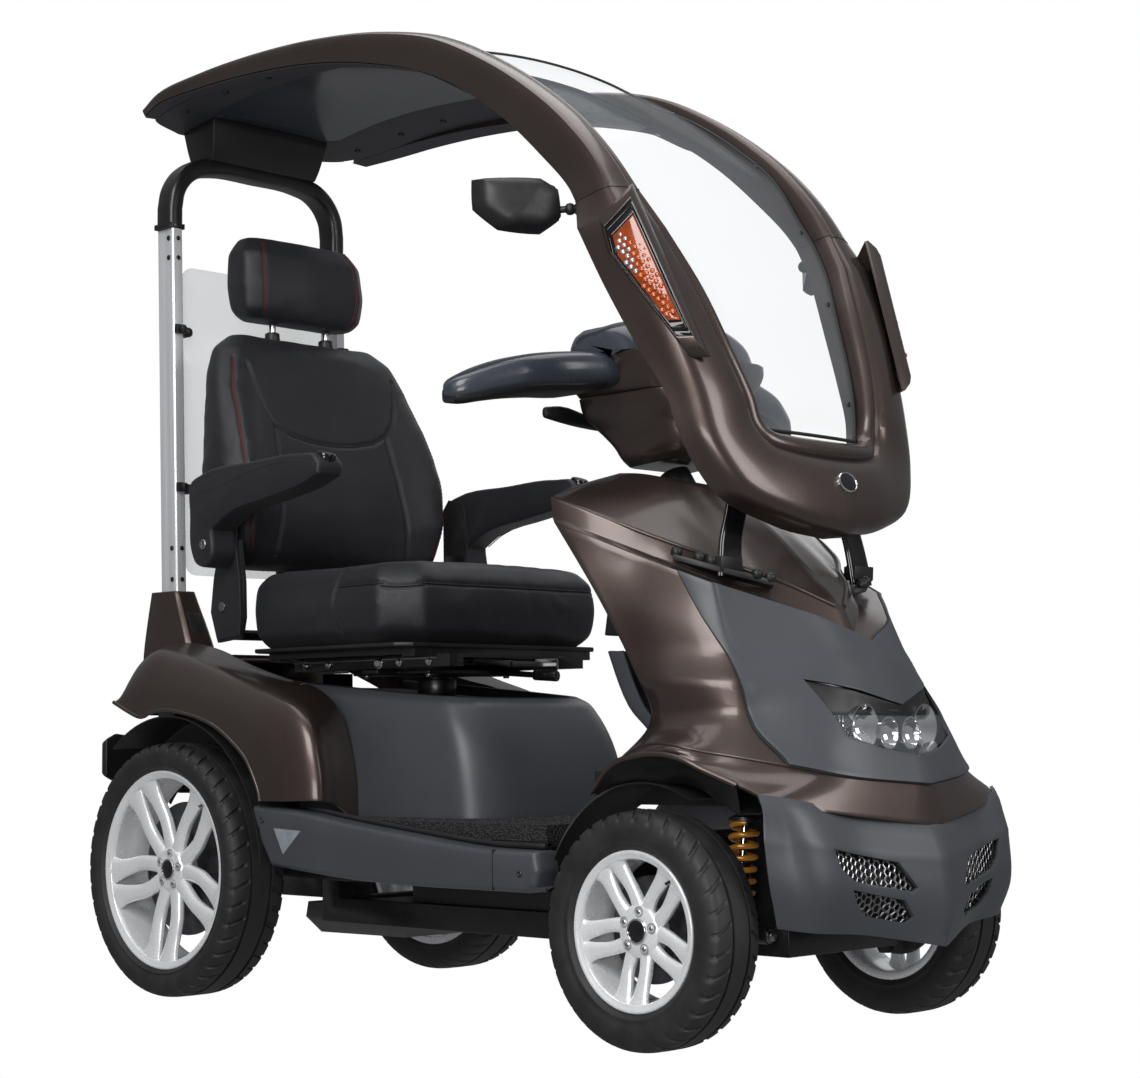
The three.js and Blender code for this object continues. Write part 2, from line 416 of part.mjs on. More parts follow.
// Right-hand half of the frame: six-point sections from the rear tip, over the
// roof edge, down the pillar and round to the middle of the lower fascia.
// Each row: outer back, outer front, inner front, inner back.
const CANOPY = [
  [[-262, 186, 1546], [-266, 188, 1556], [-236, 196, 1560], [-234, 194, 1550]],
  [[-281, 120, 1552], [-284, 118, 1568], [-247, 118, 1576], [-245, 120, 1558]],
  [[-284, 0, 1554], [-287, 0, 1576], [-247, 0, 1585], [-245, 0, 1560]],
  [[-284, -146, 1549], [-287, -146, 1577], [-245, -146, 1586], [-243, -146, 1554]],
  [[-283, -304, 1533], [-287, -308, 1567], [-243, -310, 1576], [-241, -304, 1536]],
  [[-280, -468, 1498], [-285, -484, 1540], [-239, -487, 1548], [-237, -468, 1500]],
  [[-279, -578, 1462], [-284, -601, 1507], [-236, -605, 1514], [-234, -578, 1464]],
  [[-278, -676, 1411], [-283, -708, 1453], [-232, -712, 1459], [-230, -676, 1413]],
  [[-277, -762, 1350], [-281, -800, 1393], [-228, -805, 1397], [-226, -762, 1352]],
  [[-276, -838, 1281], [-280, -883, 1324], [-224, -888, 1327], [-222, -840, 1284]],
  [[-277, -896, 1222], [-279, -947, 1250], [-221, -953, 1252], [-217, -900, 1226]],
  [[-283, -916, 1196], [-284, -972, 1208], [-217, -980, 1212], [-213, -924, 1198]],
  [[-311, -946, 1150], [-296, -1018, 1152], [-208, -1024, 1152], [-206, -966, 1144]],
  [[-309, -998, 1062], [-295, -1070, 1066], [-192, -1082, 1060], [-190, -1028, 1052]],
  [[-295, -1050, 968], [-280, -1108, 970], [-170, -1122, 960], [-172, -1072, 956]],
  [[-279, -1086, 900], [-263, -1130, 900], [-150, -1136, 904], [-156, -1094, 900]],
  [[-262, -1100, 832], [-247, -1142, 832], [-136, -1136, 872], [-138, -1102, 868]],
  [[-214, -1114, 764], [-203, -1158, 766], [-116, -1140, 858], [-116, -1108, 856]],
  [[-112, -1128, 724], [-108, -1176, 728], [-78, -1142, 853], [-78, -1110, 851]],
  [[0, -1134, 708], [0, -1184, 712], [0, -1143, 851], [0, -1112, 849]],
].map((r, i) => r.map(([x, y, z]) => { const w = [6, 20, 22, 20, 16, 10, 4][i - 12] ?? 0; return [x + w, y + w, z]; }));
{
  const full = (q) => {
    const [ob, of, inf, ib] = q;
    const m = [lerp(of[0], inf[0], 0.5), lerp(of[1], inf[1], 0.5), lerp(of[2], inf[2], 0.5)];
    // the outer skin is crowned between its two edges
    const n = new THREE.Vector3(inf[0] - of[0], inf[1] - of[1], inf[2] - of[2])
      .cross(new THREE.Vector3(0, 0, 1).cross(new THREE.Vector3(inf[0] - of[0], inf[1] - of[1], inf[2] - of[2])));
    const wide = Math.hypot(inf[0] - of[0], inf[1] - of[1], inf[2] - of[2]);
    const back = [(ob[0] + ib[0]) / 2, (ob[1] + ib[1]) / 2, (ob[2] + ib[2]) / 2];
    const o = new THREE.Vector3(m[0] - back[0], m[1] - back[1], m[2] - back[2]).normalize().multiplyScalar(wide * 0.12);
    return [ob, of, [m[0] + o.x, m[1] + o.y, m[2] + o.z], inf, ib, back];
  };
  const right = CANOPY.map(full);
  const left = CANOPY.slice(0, -1).map(full).map((r) => r.map(([x, y, z]) => [-x, y, z])).reverse();
  add('canopy_frame', loft([...right, ...left]), ...BROWN);

  // clear front screen between the inner edges, from the fascia up over the brow
  const rows = [];
  for (let i = 17; i >= 6; i--) {
    const q = CANOPY[i], f = i <= 9 ? 0.75 : 0.55;
    const ed = [0, 1, 2].map((k) => lerp(q[3][k], q[2][k], f));
    const w = Math.min(Math.abs(q[2][0]), Math.abs(q[3][0])) - (i === 17 ? 4 : 2);
    const dir = new THREE.Vector3(0, q[2][1] - q[3][1], q[2][2] - q[3][2]).normalize();
    const crown = i >= 16 ? 3 : i >= 14 ? 10 : i >= 12 ? 18 : 22;
    rows.push([-1, -0.5, 0, 0.5, 1].map((u) => {
      const c = crown * (1 - u * u);
      return [u * w, ed[1] + dir.y * c, ed[2] + dir.z * c + (i === 17 ? 4 : 0)];
    }));
  }
  add('windscreen', shell(rows, offsetGrid(rows, 4, [0, -400, 1000])), ...CLEAR);

  // roof panel behind the clear brow
  const prof = [[251, 1553, 140, 0], [216, 1556, 214, 5], [160, 1558, 236, 12], [60, 1565, 243, 18], [-60, 1568, 243, 22], [-180, 1563, 241, 24],
    [-310, 1551, 239, 24], [-430, 1529, 236, 24], [-520, 1503, 234, 23], [-592, 1476, 231, 22]];
  const roof = prof.map(([y, z, w, c]) => [-1, -0.6, 0, 0.6, 1].map((u) => [u * w, y, z + c * (1 - u * u)]));
  add('canopy_roof', shell(roof, roof.map((r) => r.map(([x, y, z]) => [x, y, z - 9]))), ...BLACK);

  for (const [side, s] of [['right', -1], ['left', 1]]) {
    const sec = (x, y, z, w) => [[s * (x - w), y - 5, z], [s * (x + w), y - 5, z], [s * (x + w), y + 5, z], [s * (x - w), y + 5, z]];
    const bar = loft([sec(173, -1106, 648, 25), sec(163, -1100, 700, 23), sec(147, -1097, 745, 22), sec(138, -1099, 800, 21)]);
    const foot = loft([
      [[s * 232, -1052, 672], [s * 200, -1106, 654], [s * 128, -1150, 634], [s * 116, -1136, 630], [s * 190, -1086, 652], [s * 218, -1042, 672]],
      [[s * 232, -1052, 681], [s * 200, -1106, 663], [s * 128, -1150, 643], [s * 116, -1136, 639], [s * 190, -1086, 661], [s * 218, -1042, 681]]]);
    const st = union(bar, foot);
    const draw = ([x, y, z]) => { const w = along(z, [640, 700, 800], [21, 19, 14]); return [x - Math.sign(x) * w, y + w, z + along(z, [690, 730], [2.5, 0])]; };
    add('canopy_strut_' + side, { v: st.v.map(draw), t: st.t }, ...BLACK);
    // amber signal lamp on the outer face of the pillar
    const pull = (p) => { const w = along(p[2], [990, 1104, 1136, 1168], [22, 13, 8, 4]); return [p[0] + w, p[1] + w, p[2]]; };
    const lamp = [[-290, -1036, 1168], [-307, -1006, 1136], [-306, -1016, 1104], [-287, -1108, 990], [-275, -1124, 990]].map(pull);
    const out = new THREE.Vector3(-0.9, -0.42, 0.05).normalize();
    const ringA = lamp.map((p) => [p[0] + out.x * 6.5, p[1] + out.y * 6.5, p[2] + out.z * 6.5]);
    const ringB = lamp.map((p) => [p[0] + out.x * 12, p[1] + out.y * 12, p[2] + out.z * 12]);
    let l = loft([ringA, ringB]);
    if (s > 0) l = mirror(l);
    add('signal_lamp_' + side, l, 0xd06a10, 0.2, 0.0);
    // wing mirror on a short ball-ended arm
    const ca = Math.cos(MIRROR_TURN), sa = Math.sin(MIRROR_TURN);
    const place = (r) => r.map(([x, y, z]) => {
      const u = (x + 407) * 1.03, v = (y + 940) * 1.03;
      return [-340 + u * ca - v * sa, -851 + u * sa + v * ca, 1195 + (z - 1170) * 1.1];
    });
    let m = union(
      rod([-277, -902, 1189], [-296, -868, 1188], 6, 8),
      loft([
        place([[-352, -966, 1150], [-372, -946, 1132], [-430, -926, 1134], [-462, -910, 1160], [-462, -908, 1200], [-380, -940, 1208], [-356, -962, 1196]]),
        place([[-352, -974, 1156], [-374, -974, 1140], [-432, -960, 1140], [-458, -942, 1162], [-458, -938, 1196], [-382, -970, 1202], [-358, -976, 1188]])]));
    if (s > 0) m = mirror(m);
    add('mirror_' + side, m, ...BLACK);
  }
}

// ---------------------------------------------------------------- front body
// The plastics are drawn nearly square across, then swept back and in towards their sides.
function along(v, xs, ys) {
  if (v <= xs[0]) return ys[0];
  for (let i = 1; i < xs.length; i++) if (v <= xs[i]) return lerp(ys[i - 1], ys[i], (v - xs[i - 1]) / (xs[i] - xs[i - 1]));
  return ys[ys.length - 1];
}
function sweep([x, y, z]) {
  const a = Math.abs(x), t = Math.min(1, Math.max(0, (-y - 870) / 150));
  const low = 46 * Math.min(1.05, (a / 300) ** 1.8), high = along(z, [500, 548, 620, 680, 760, 800], [18, 26, 24, 20, 10, 0]) * Math.min(1, a / 140);
  const w = lerp(low, high, Math.min(1, Math.max(0, (z - 460) / 40))) * t * t * (3 - 2 * t);
  return [x - Math.sign(x) * w, y + w * along(-y, [1190, 1260], [1, 0.2]), z];
}
// Right half of the leg shield, each row from its rear edge to the centre line.
const SHIELD = [
  [[-100, -826, 824], [-97, -868, 820], [-84, -905, 812], [-48, -932, 805], [0, -940, 801]],
  [[-204, -836, 797], [-166, -928, 774], [-122, -990, 750], [-70, -1030, 731], [0, -1052, 718]],
  [[-270, -848, 774], [-230, -980, 719], [-178, -1058, 684], [-102, -1124, 648], [0, -1170, 602]],
  [[-272, -854, 742], [-238, -988, 691], [-190, -1072, 652], [-112, -1142, 614], [0, -1186, 566]],
  [[-273, -858, 735], [-248, -1000, 682], [-216, -1106, 640], [-136, -1182, 604], [0, -1214, 556]],
  [[-270, -945, 619], [-258, -1030, 600], [-222, -1128, 574], [-136, -1204, 548], [0, -1240, 514]],
  [[-263, -1002, 523], [-262, -1070, 514], [-228, -1160, 500], [-138, -1230, 482], [0, -1264, 465]],
  [[-258, -1030, 446], [-285, -1096, 448], [-262, -1184, 440], [-150, -1252, 424], [0, -1290, 412]],
  [[-300, -1000, 388], [-324, -1092, 416], [-312, -1186, 404], [-170, -1270, 372], [0, -1310, 357]],
  [[-306, -962, 350], [-336, -1050, 396], [-336, -1168, 394], [-300, -1256, 340], [0, -1322, 300]],
].map((r) => r.map(sweep));
{
  // the grey panel's edge runs down this extra column of points
  const SEAM = [0.5, 0.5, 0.5, 0.5, 0.12, 0.16, 0.26, 0.34, 0.62, 0.6];
  const dense = SHIELD.map((r, i) => [r[0], r[1], r[2], [0, 1, 2].map((k) => lerp(r[2][k], r[3][k], SEAM[i])), r[3], r[4]]);
  const g = dense.map((r) => [...r, ...r.slice(0, -1).map(([x, y, z]) => [-x, y, z]).reverse()]);
  const inner = offsetGrid(g, 4, [0, -960, 520]);
  add('leg_shield', shell(g, inner), ...BROWN);

  // grey nose panel lying on the shield's front
  const nose = g.slice(4, 9).map((r) => r.slice(3, 8));
  const n0 = offsetGrid(nose, -5.5, [0, -900, 520]), n1 = offsetGrid(nose, -1.5, [0, -900, 520]);
  add('nose_panel', shell(n0, n1), ...GREY);
  const hl = [[[-142, -1226, 488], [-70, -1252, 479], [0, -1270, 470]], [[-134, -1250, 426], [-70, -1276, 419], [0, -1292, 412]]].map((r) => r.map(sweep));
  const hg = hl.map((r) => [...r, ...r.slice(0, -1).map(([x, y, z]) => [-x, y, z]).reverse()]);
  add('headlight', shell(offsetGrid(hg, -19, [0, -900, 450]), offsetGrid(hg, -12, [0, -900, 450])), ...CLEAR);
}
{
  const rows = [
    [[-322, -1248, 334], [-296, -1268, 330], [-150, -1292, 308], [0, -1328, 292]],
    [[-324, -1250, 290], [-298, -1278, 288], [-152, -1306, 272], [0, -1340, 258]],
    [[-312, -1250, 220], [-290, -1282, 216], [-150, -1310, 206], [0, -1344, 190]],
    [[-292, -1246, 172], [-272, -1272, 168], [-140, -1292, 158], [0, -1334, 137]],
  ].map((r) => r.map(([x, y, z]) => [x + 48 * Math.min(1.04, (-x / 296) ** 1.3), y + 8 * Math.min(1, -x / 300), z]));
  const g = rows.map((r) => [...r, ...r.slice(0, -1).map(([x, y, z]) => [-x, y, z]).reverse()]);
  add('front_bumper', shell(g, offsetGrid(g, 4, [0, -1100, 250])), ...GREY);
}
{
  // knee panel: a tray-shaped moulding that closes the back of the leg shield
  const lv = [[286, -878, 138], [330, -925, 138], [356, -945, 142], [372, -954, 176], [412, -958, 180], [470, -906, 182], [567, -860, 184],
    [612, -868, 184], [700, -850, 178], [790, -815, 96]];
  const rings = lv.map(([z, y, w]) => [[-w, y - 40, z], [-w, y, z], [w, y, z], [w, y - 40, z], [w - 5, y - 40, z], [w - 5, y - 5, z], [-w + 5, y - 5, z], [-w + 5, y - 40, z]]);
  add('knee_panel', loft(rings), ...GREY);
}

// ------------------------------------------------------------------ steering
const colAt = (z) => [0, TILT_Y + (TILT_Z - z) * -COLUMN_TILT, z];
{
  add('steering_column', union(rod(colAt(356), colAt(806), 14, 14), rod(colAt(800), colAt(828), 28, 16, 24),
    rod(colAt(372), [0, -1100, 376], 8, 8)), ...STEEL);
  const sec = (y0, y1, z0, z1, w, c) => [[-w, y0 + c, z0], [-w + c, y0, z0], [w - c, y0, z0], [w, y0 + c, z0],
    [w, y1 - c, z1], [w - c, y1, z1], [-w + c, y1, z1], [-w, y1 - c, z1]];
  add('tiller_shroud', loft([sec(-914, -804, 842, 836, 66, 20), sec(-934, -790, 870, 862, 82, 24), sec(-932, -762, 898, 890, 88, 24),
    sec(-938, -733, 926, 922, 102, 26), sec(-928, -733, 945, 945, 110, 28)]), ...BROWN);
  const bar = (x, y, z, hy, hz) => [[-1, -0.3], [-0.6, -1], [0.6, -1], [1, -0.3], [1, 0.4], [0.6, 1], [-0.6, 1], [-1, 0.4]]
    .map(([u, w]) => [x, y + u * hy, z + w * hz * (w < 0 && Math.abs(x) > 150 ? 1.6 : 1)]);
  const half = [[-384, -752, 930, 10, 10], [-366, -758, 938, 26, 17], [-330, -768, 950, 38, 22], [-270, -780, 965, 50, 24], [-190, -792, 972, 56, 25],
    [-100, -800, 975, 60, 25]];
  add('handlebar', loft([...half.map((h) => bar(...h)), ...half.map(([x, ...r]) => bar(-x, ...r)).reverse()]), ...GREY);
  const dsec = (x, y0, y1, z0, z1) => [[x, y0, z0], [x, y1, z0], [x, y1 - 6, z1 - 10], [x, lerp(y0, y1, 0.45), z1], [x, y0 + 12, z1 - 26]];
  add('dash_hood', loft([dsec(-150, -880, -780, 1001, 1032), dsec(-120, -905, -740, 1001, 1046), dsec(-60, -925, -710, 1001, 1060), dsec(0, -932, -705, 1001, 1066),
    dsec(60, -925, -710, 1001, 1060), dsec(120, -905, -740, 1001, 1046), dsec(150, -880, -780, 1001, 1032)]), ...GREY);
  add('throttle_lever', loft([[[-138, -714, 914], [-138, -702, 914], [-138, -702, 936], [-138, -714, 936]],
    [[-112, -718, 910], [-112, -706, 910], [-112, -706, 938], [-112, -718, 938]],
    [[-50, -716, 906], [-50, -702, 906], [-50, -702, 930], [-50, -716, 930]], [[50, -716, 906], [50, -702, 906], [50, -702, 930], [50, -716, 930]],
    [[112, -718, 910], [112, -706, 910], [112, -706, 938], [112, -718, 938]],
    [[138, -714, 914], [138, -702, 914], [138, -702, 936], [138, -714, 936]]]), ...BLACK);
}

// ---------------------------------------------------------------------- seat
{
  const SY = SEAT_POST_Y;
  add('seat_post', union(rod([0, SY, RAIL_Z1 + GAP], [0, SY, 529], 25, 18), rod([0, SY, 500], [0, SY, 524], 33, 18)), ...BLACK);
  add('swivel_plate', union(box(-104, 104, SY - 96, SY + 96, 531, 539), box(-150, -104, SY - 20, SY + 20, 531, 539),
    box(104, 150, SY - 20, SY + 20, 531, 539)), ...STEEL);
  add('swivel_lever', union(rod([40, SY - 97.5, 535], [56, SY - 190, 528], 5, 8), rod([54, SY - 182, 528.6], [62, SY - 226, 525.6], 9, 10)), ...BLACK);
  const f = [];
  for (const s of [-1, 1]) {
    const b = (a, c, ...r) => f.push(box(Math.min(s * a, s * c), Math.max(s * a, s * c), ...r));
    b(122, 152, -500, -110, 540, 560);
    b(178, 200, -470, -100, 560, 574);
  }
  f.push(box(-200, 200, -470, -440, 556, 574), box(-200, 200, -130, -100, 556, 574), box(-152, 152, -330, -270, 556, 566));
  add('seat_frame', union(...f), ...STEEL);
  add('slide_lever', union(rod([-100, -506, 548], [-100, -590, 542], 5, 8), rod([-100, -590, 542], [-70, -626, 540], 5, 8),
    rod([-76, -618, 540], [-56, -646, 540], 10, 10)), ...BLACK);
  const cush = (z, w, y0, y1, c) => [[-w, y0 + c, z], [-w + c, y0, z], [0, y0 - 4, z], [w - c, y0, z], [w, y0 + c, z],
    [w, y1 - c, z], [w - c, y1, z], [-w + c, y1, z], [-w, y1 - c, z]];
  add('seat_cushion', loft([cush(576, 226, -462, -72, 50), cush(596, 246, -486, -66, 56), cush(640, 250, -492, -64, 56),
    cush(682, 246, -484, -68, 52), cush(704, 226, -462, -84, 48)]), ...LEATHER);
  // backrest frame: side plates, cross tube and a spine behind the squab
  const bf = [rod([-262, -44, 604], [262, -44, 604], 9, 10), rod([-266, BACK_PIVOT_Y, BACK_PIVOT_Z], [-254, BACK_PIVOT_Y, BACK_PIVOT_Z], 14, 16), rod([254, BACK_PIVOT_Y, BACK_PIVOT_Z], [266, BACK_PIVOT_Y, BACK_PIVOT_Z], 14, 16)];
  for (const s of [-1, 1]) {
    const x0 = Math.min(s * 256, s * 263), x1 = Math.max(s * 256, s * 263);
    bf.push(prismX([[-104, 596], [-40, 590], [-22, 640], [-30, 700], [-44, 762], [-98, 762], [-110, 690], [-112, 630]], x0, x1));
  }
  bf.push(loft([[[-70, -52, 600], [70, -52, 600], [70, -44, 600], [-70, -44, 600]],
    [[-70, -46, 660], [70, -46, 660], [70, -38, 660], [-70, -38, 660]],
    [[-60, 52, 716], [60, 52, 716], [60, 60, 716], [-60, 60, 716]],
    [[-60, 84, 960], [60, 84, 960], [60, 92, 960], [-60, 92, 960]]]));
  add('back_frame', union(...bf), ...STEEL);
  const back = (z, w, yf, yb, c, hollow) => [[-w, yb - c, z], [-w, yf + c, z], [-w + c, yf, z], [-w * 0.55, yf + hollow * 0.7, z], [0, yf + hollow, z],
    [w * 0.55, yf + hollow * 0.7, z], [w - c, yf, z], [w, yf + c, z], [w, yb - c, z], [w - c, yb, z], [-w + c, yb, z]];
  let sb = loft([back(722, 216, -44, 36, 24, 2), back(746, 234, -64, 48, 28, 8), back(820, 246, -72, 58, 30, 22), back(890, 248, -64, 66, 30, 28),
    back(990, 236, -32, 78, 30, 24), back(1070, 220, -2, 88, 28, 14), back(1120, 200, 20, 94, 26, 8), back(1150, 160, 44, 92, 20, 3)]);
  for (const s of [-1, 1]) sb = cut(sb, rod([s * 62, 70, 1060], [s * 62, 70, 1170], 7.2, 12));
  add('seat_back', sb, ...LEATHER);
  const hr = (z, w, yf, yb, c) => [[-w, yb - c, z], [-w, yf + c, z], [-w + c, yf + 6, z], [0, yf, z], [w - c, yf + 6, z], [w, yf + c, z], [w, yb - c, z], [w - c, yb, z], [-w + c, yb, z]];
  add('headrest', union(loft([hr(1180, 118, 44, 112, 20), hr(1196, 134, 32, 124, 24), hr(1240, 140, 26, 130, 26), hr(1300, 136, 34, 132, 26), hr(1330, 116, 56, 122, 18)]),
    rod([-62, 70, 1078], [-62, 70, 1200], 6, 12), rod([62, 70, 1078], [62, 70, 1200], 6, 12)), ...LEATHER);
  for (const [side, s] of [['right', -1], ['left', 1]]) {
    const pad = [[-372, 846], [-374, 862], [-362, 878], [-320, 884], [-200, 882], [-60, 872], [-34, 862], [-30, 800], [-34, 744], [-48, 720], [-78, 716],
      [-94, 732], [-92, 776], [-130, 796], [-250, 818], [-330, 832]];
    const x0 = s * 264.5, x1 = s * 318, xm0 = s * 268, xm1 = s * 314;
    const shrink = (p, k) => p.map(([y, z]) => [lerp(y, -160, k), lerp(z, 840, k)]);
    add('armrest_' + side, loft([shrink(pad, 0.02).map(([y, z]) => [x0, y, z]), pad.map(([y, z]) => [xm0, y, z]), pad.map(([y, z]) => [xm1, y, z]),
      shrink(pad, 0.02).map(([y, z]) => [x1, y, z])]), ...BLACK);
  }
}

assembly.position.y = SHIFT_Y;
export default assembly;
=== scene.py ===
# A four-wheel mobility scooter with a canopy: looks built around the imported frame.
import bpy, bmesh, json, math, random
import numpy as np
from mathutils import Vector, Matrix
from mathutils.bvhtree import BVHTree
from mathutils.kdtree import KDTree

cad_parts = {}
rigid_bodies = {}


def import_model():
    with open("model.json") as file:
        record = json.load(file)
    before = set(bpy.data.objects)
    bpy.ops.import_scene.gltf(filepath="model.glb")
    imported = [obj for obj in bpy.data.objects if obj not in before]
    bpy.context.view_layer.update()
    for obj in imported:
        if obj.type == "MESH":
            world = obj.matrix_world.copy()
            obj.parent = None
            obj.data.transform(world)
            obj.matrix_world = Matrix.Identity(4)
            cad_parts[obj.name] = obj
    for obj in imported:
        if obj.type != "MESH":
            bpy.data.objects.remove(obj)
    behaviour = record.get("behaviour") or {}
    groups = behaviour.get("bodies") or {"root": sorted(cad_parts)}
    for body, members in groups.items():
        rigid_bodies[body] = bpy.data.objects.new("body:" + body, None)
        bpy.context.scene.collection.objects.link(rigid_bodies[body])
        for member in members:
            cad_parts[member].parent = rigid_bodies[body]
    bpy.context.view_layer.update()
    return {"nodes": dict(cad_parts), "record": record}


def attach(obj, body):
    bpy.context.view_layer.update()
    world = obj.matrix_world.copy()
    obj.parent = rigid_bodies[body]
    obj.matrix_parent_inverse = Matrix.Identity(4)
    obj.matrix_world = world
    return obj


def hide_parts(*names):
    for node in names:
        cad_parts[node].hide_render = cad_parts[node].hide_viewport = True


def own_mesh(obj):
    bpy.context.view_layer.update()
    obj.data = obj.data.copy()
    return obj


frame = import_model()
random.seed(4)
rng = np.random.default_rng(4)
SY = 544.5
pi = math.pi


def W(p):
    q = np.array(p, float)
    q[..., 1] += SY
    return q * 0.001


# ------------------------------------------------------------------ geometry
def dense(P, k, sharp=(), closed=False):
    """Rows of points refined along the first axis by k, through the given rows."""
    P = np.asarray(P, float)
    shp = P.shape
    n = len(P)
    if closed:
        P = np.concatenate([P[-2:], P, P[:3]])
        sharp = {s + 2 for s in sharp} | {s + 2 + n for s in sharp} | {s + 2 - n for s in sharp}
    m = len(P)
    F = P.reshape(m, -1, 3)
    h = np.maximum(np.linalg.norm(np.diff(F, axis=0), axis=2).mean(axis=1), 1e-6)
    s = np.diff(F, axis=0) / h[:, None, None]
    L, R = np.zeros_like(F), np.zeros_like(F)
    for i in range(m):
        if 0 < i < m - 1 and i not in sharp:
            L[i] = R[i] = (s[i - 1] * h[i] + s[i] * h[i - 1]) / (h[i - 1] + h[i])
        else:
            if i > 0:
                L[i] = s[i - 1]
            if i < m - 1:
                R[i] = s[i]
    out = []
    lo, hi = (2, 2 + n) if closed else (0, m - 1)
    for i in range(lo, hi):
        for j in range(k):
            t = j / k
            h00, h10 = 2 * t**3 - 3 * t**2 + 1, t**3 - 2 * t**2 + t
            h01, h11 = -2 * t**3 + 3 * t**2, t**3 - t**2
            out.append(F[i] * h00 + R[i] * h10 * h[i] + F[i + 1] * h01 + L[i + 1] * h11 * h[i])
    if not closed:
        out.append(F[hi])
    out = np.array(out)
    return out.reshape((len(out),) + shp[1:])


def dense2(G, ku, kv, su=(), sv=(), closed_v=False):
    A = dense(G, ku, su)
    B = dense(np.swapaxes(A, 0, 1), kv, sv, closed_v)
    return np.swapaxes(B, 0, 1)


def grid_faces(R, C, cv=False, off=0, flip=False):
    f = []
    for r in range(R - 1):
        for c in range(C if cv else C - 1):
            a, b = off + r * C + c, off + r * C + (c + 1) % C
            d, e = a + C, b + C
            f.append((a, d, e, b) if flip else (a, b, e, d))
    return f


def normals(G, cv=False):
    du = np.gradient(G, axis=0)
    if cv:
        dv = np.roll(G, -1, axis=1) - np.roll(G, 1, axis=1)
    else:
        dv = np.gradient(G, axis=1)
    n = np.cross(dv, du)
    l = np.linalg.norm(n, axis=2, keepdims=True)
    return n / np.maximum(l, 1e-9)


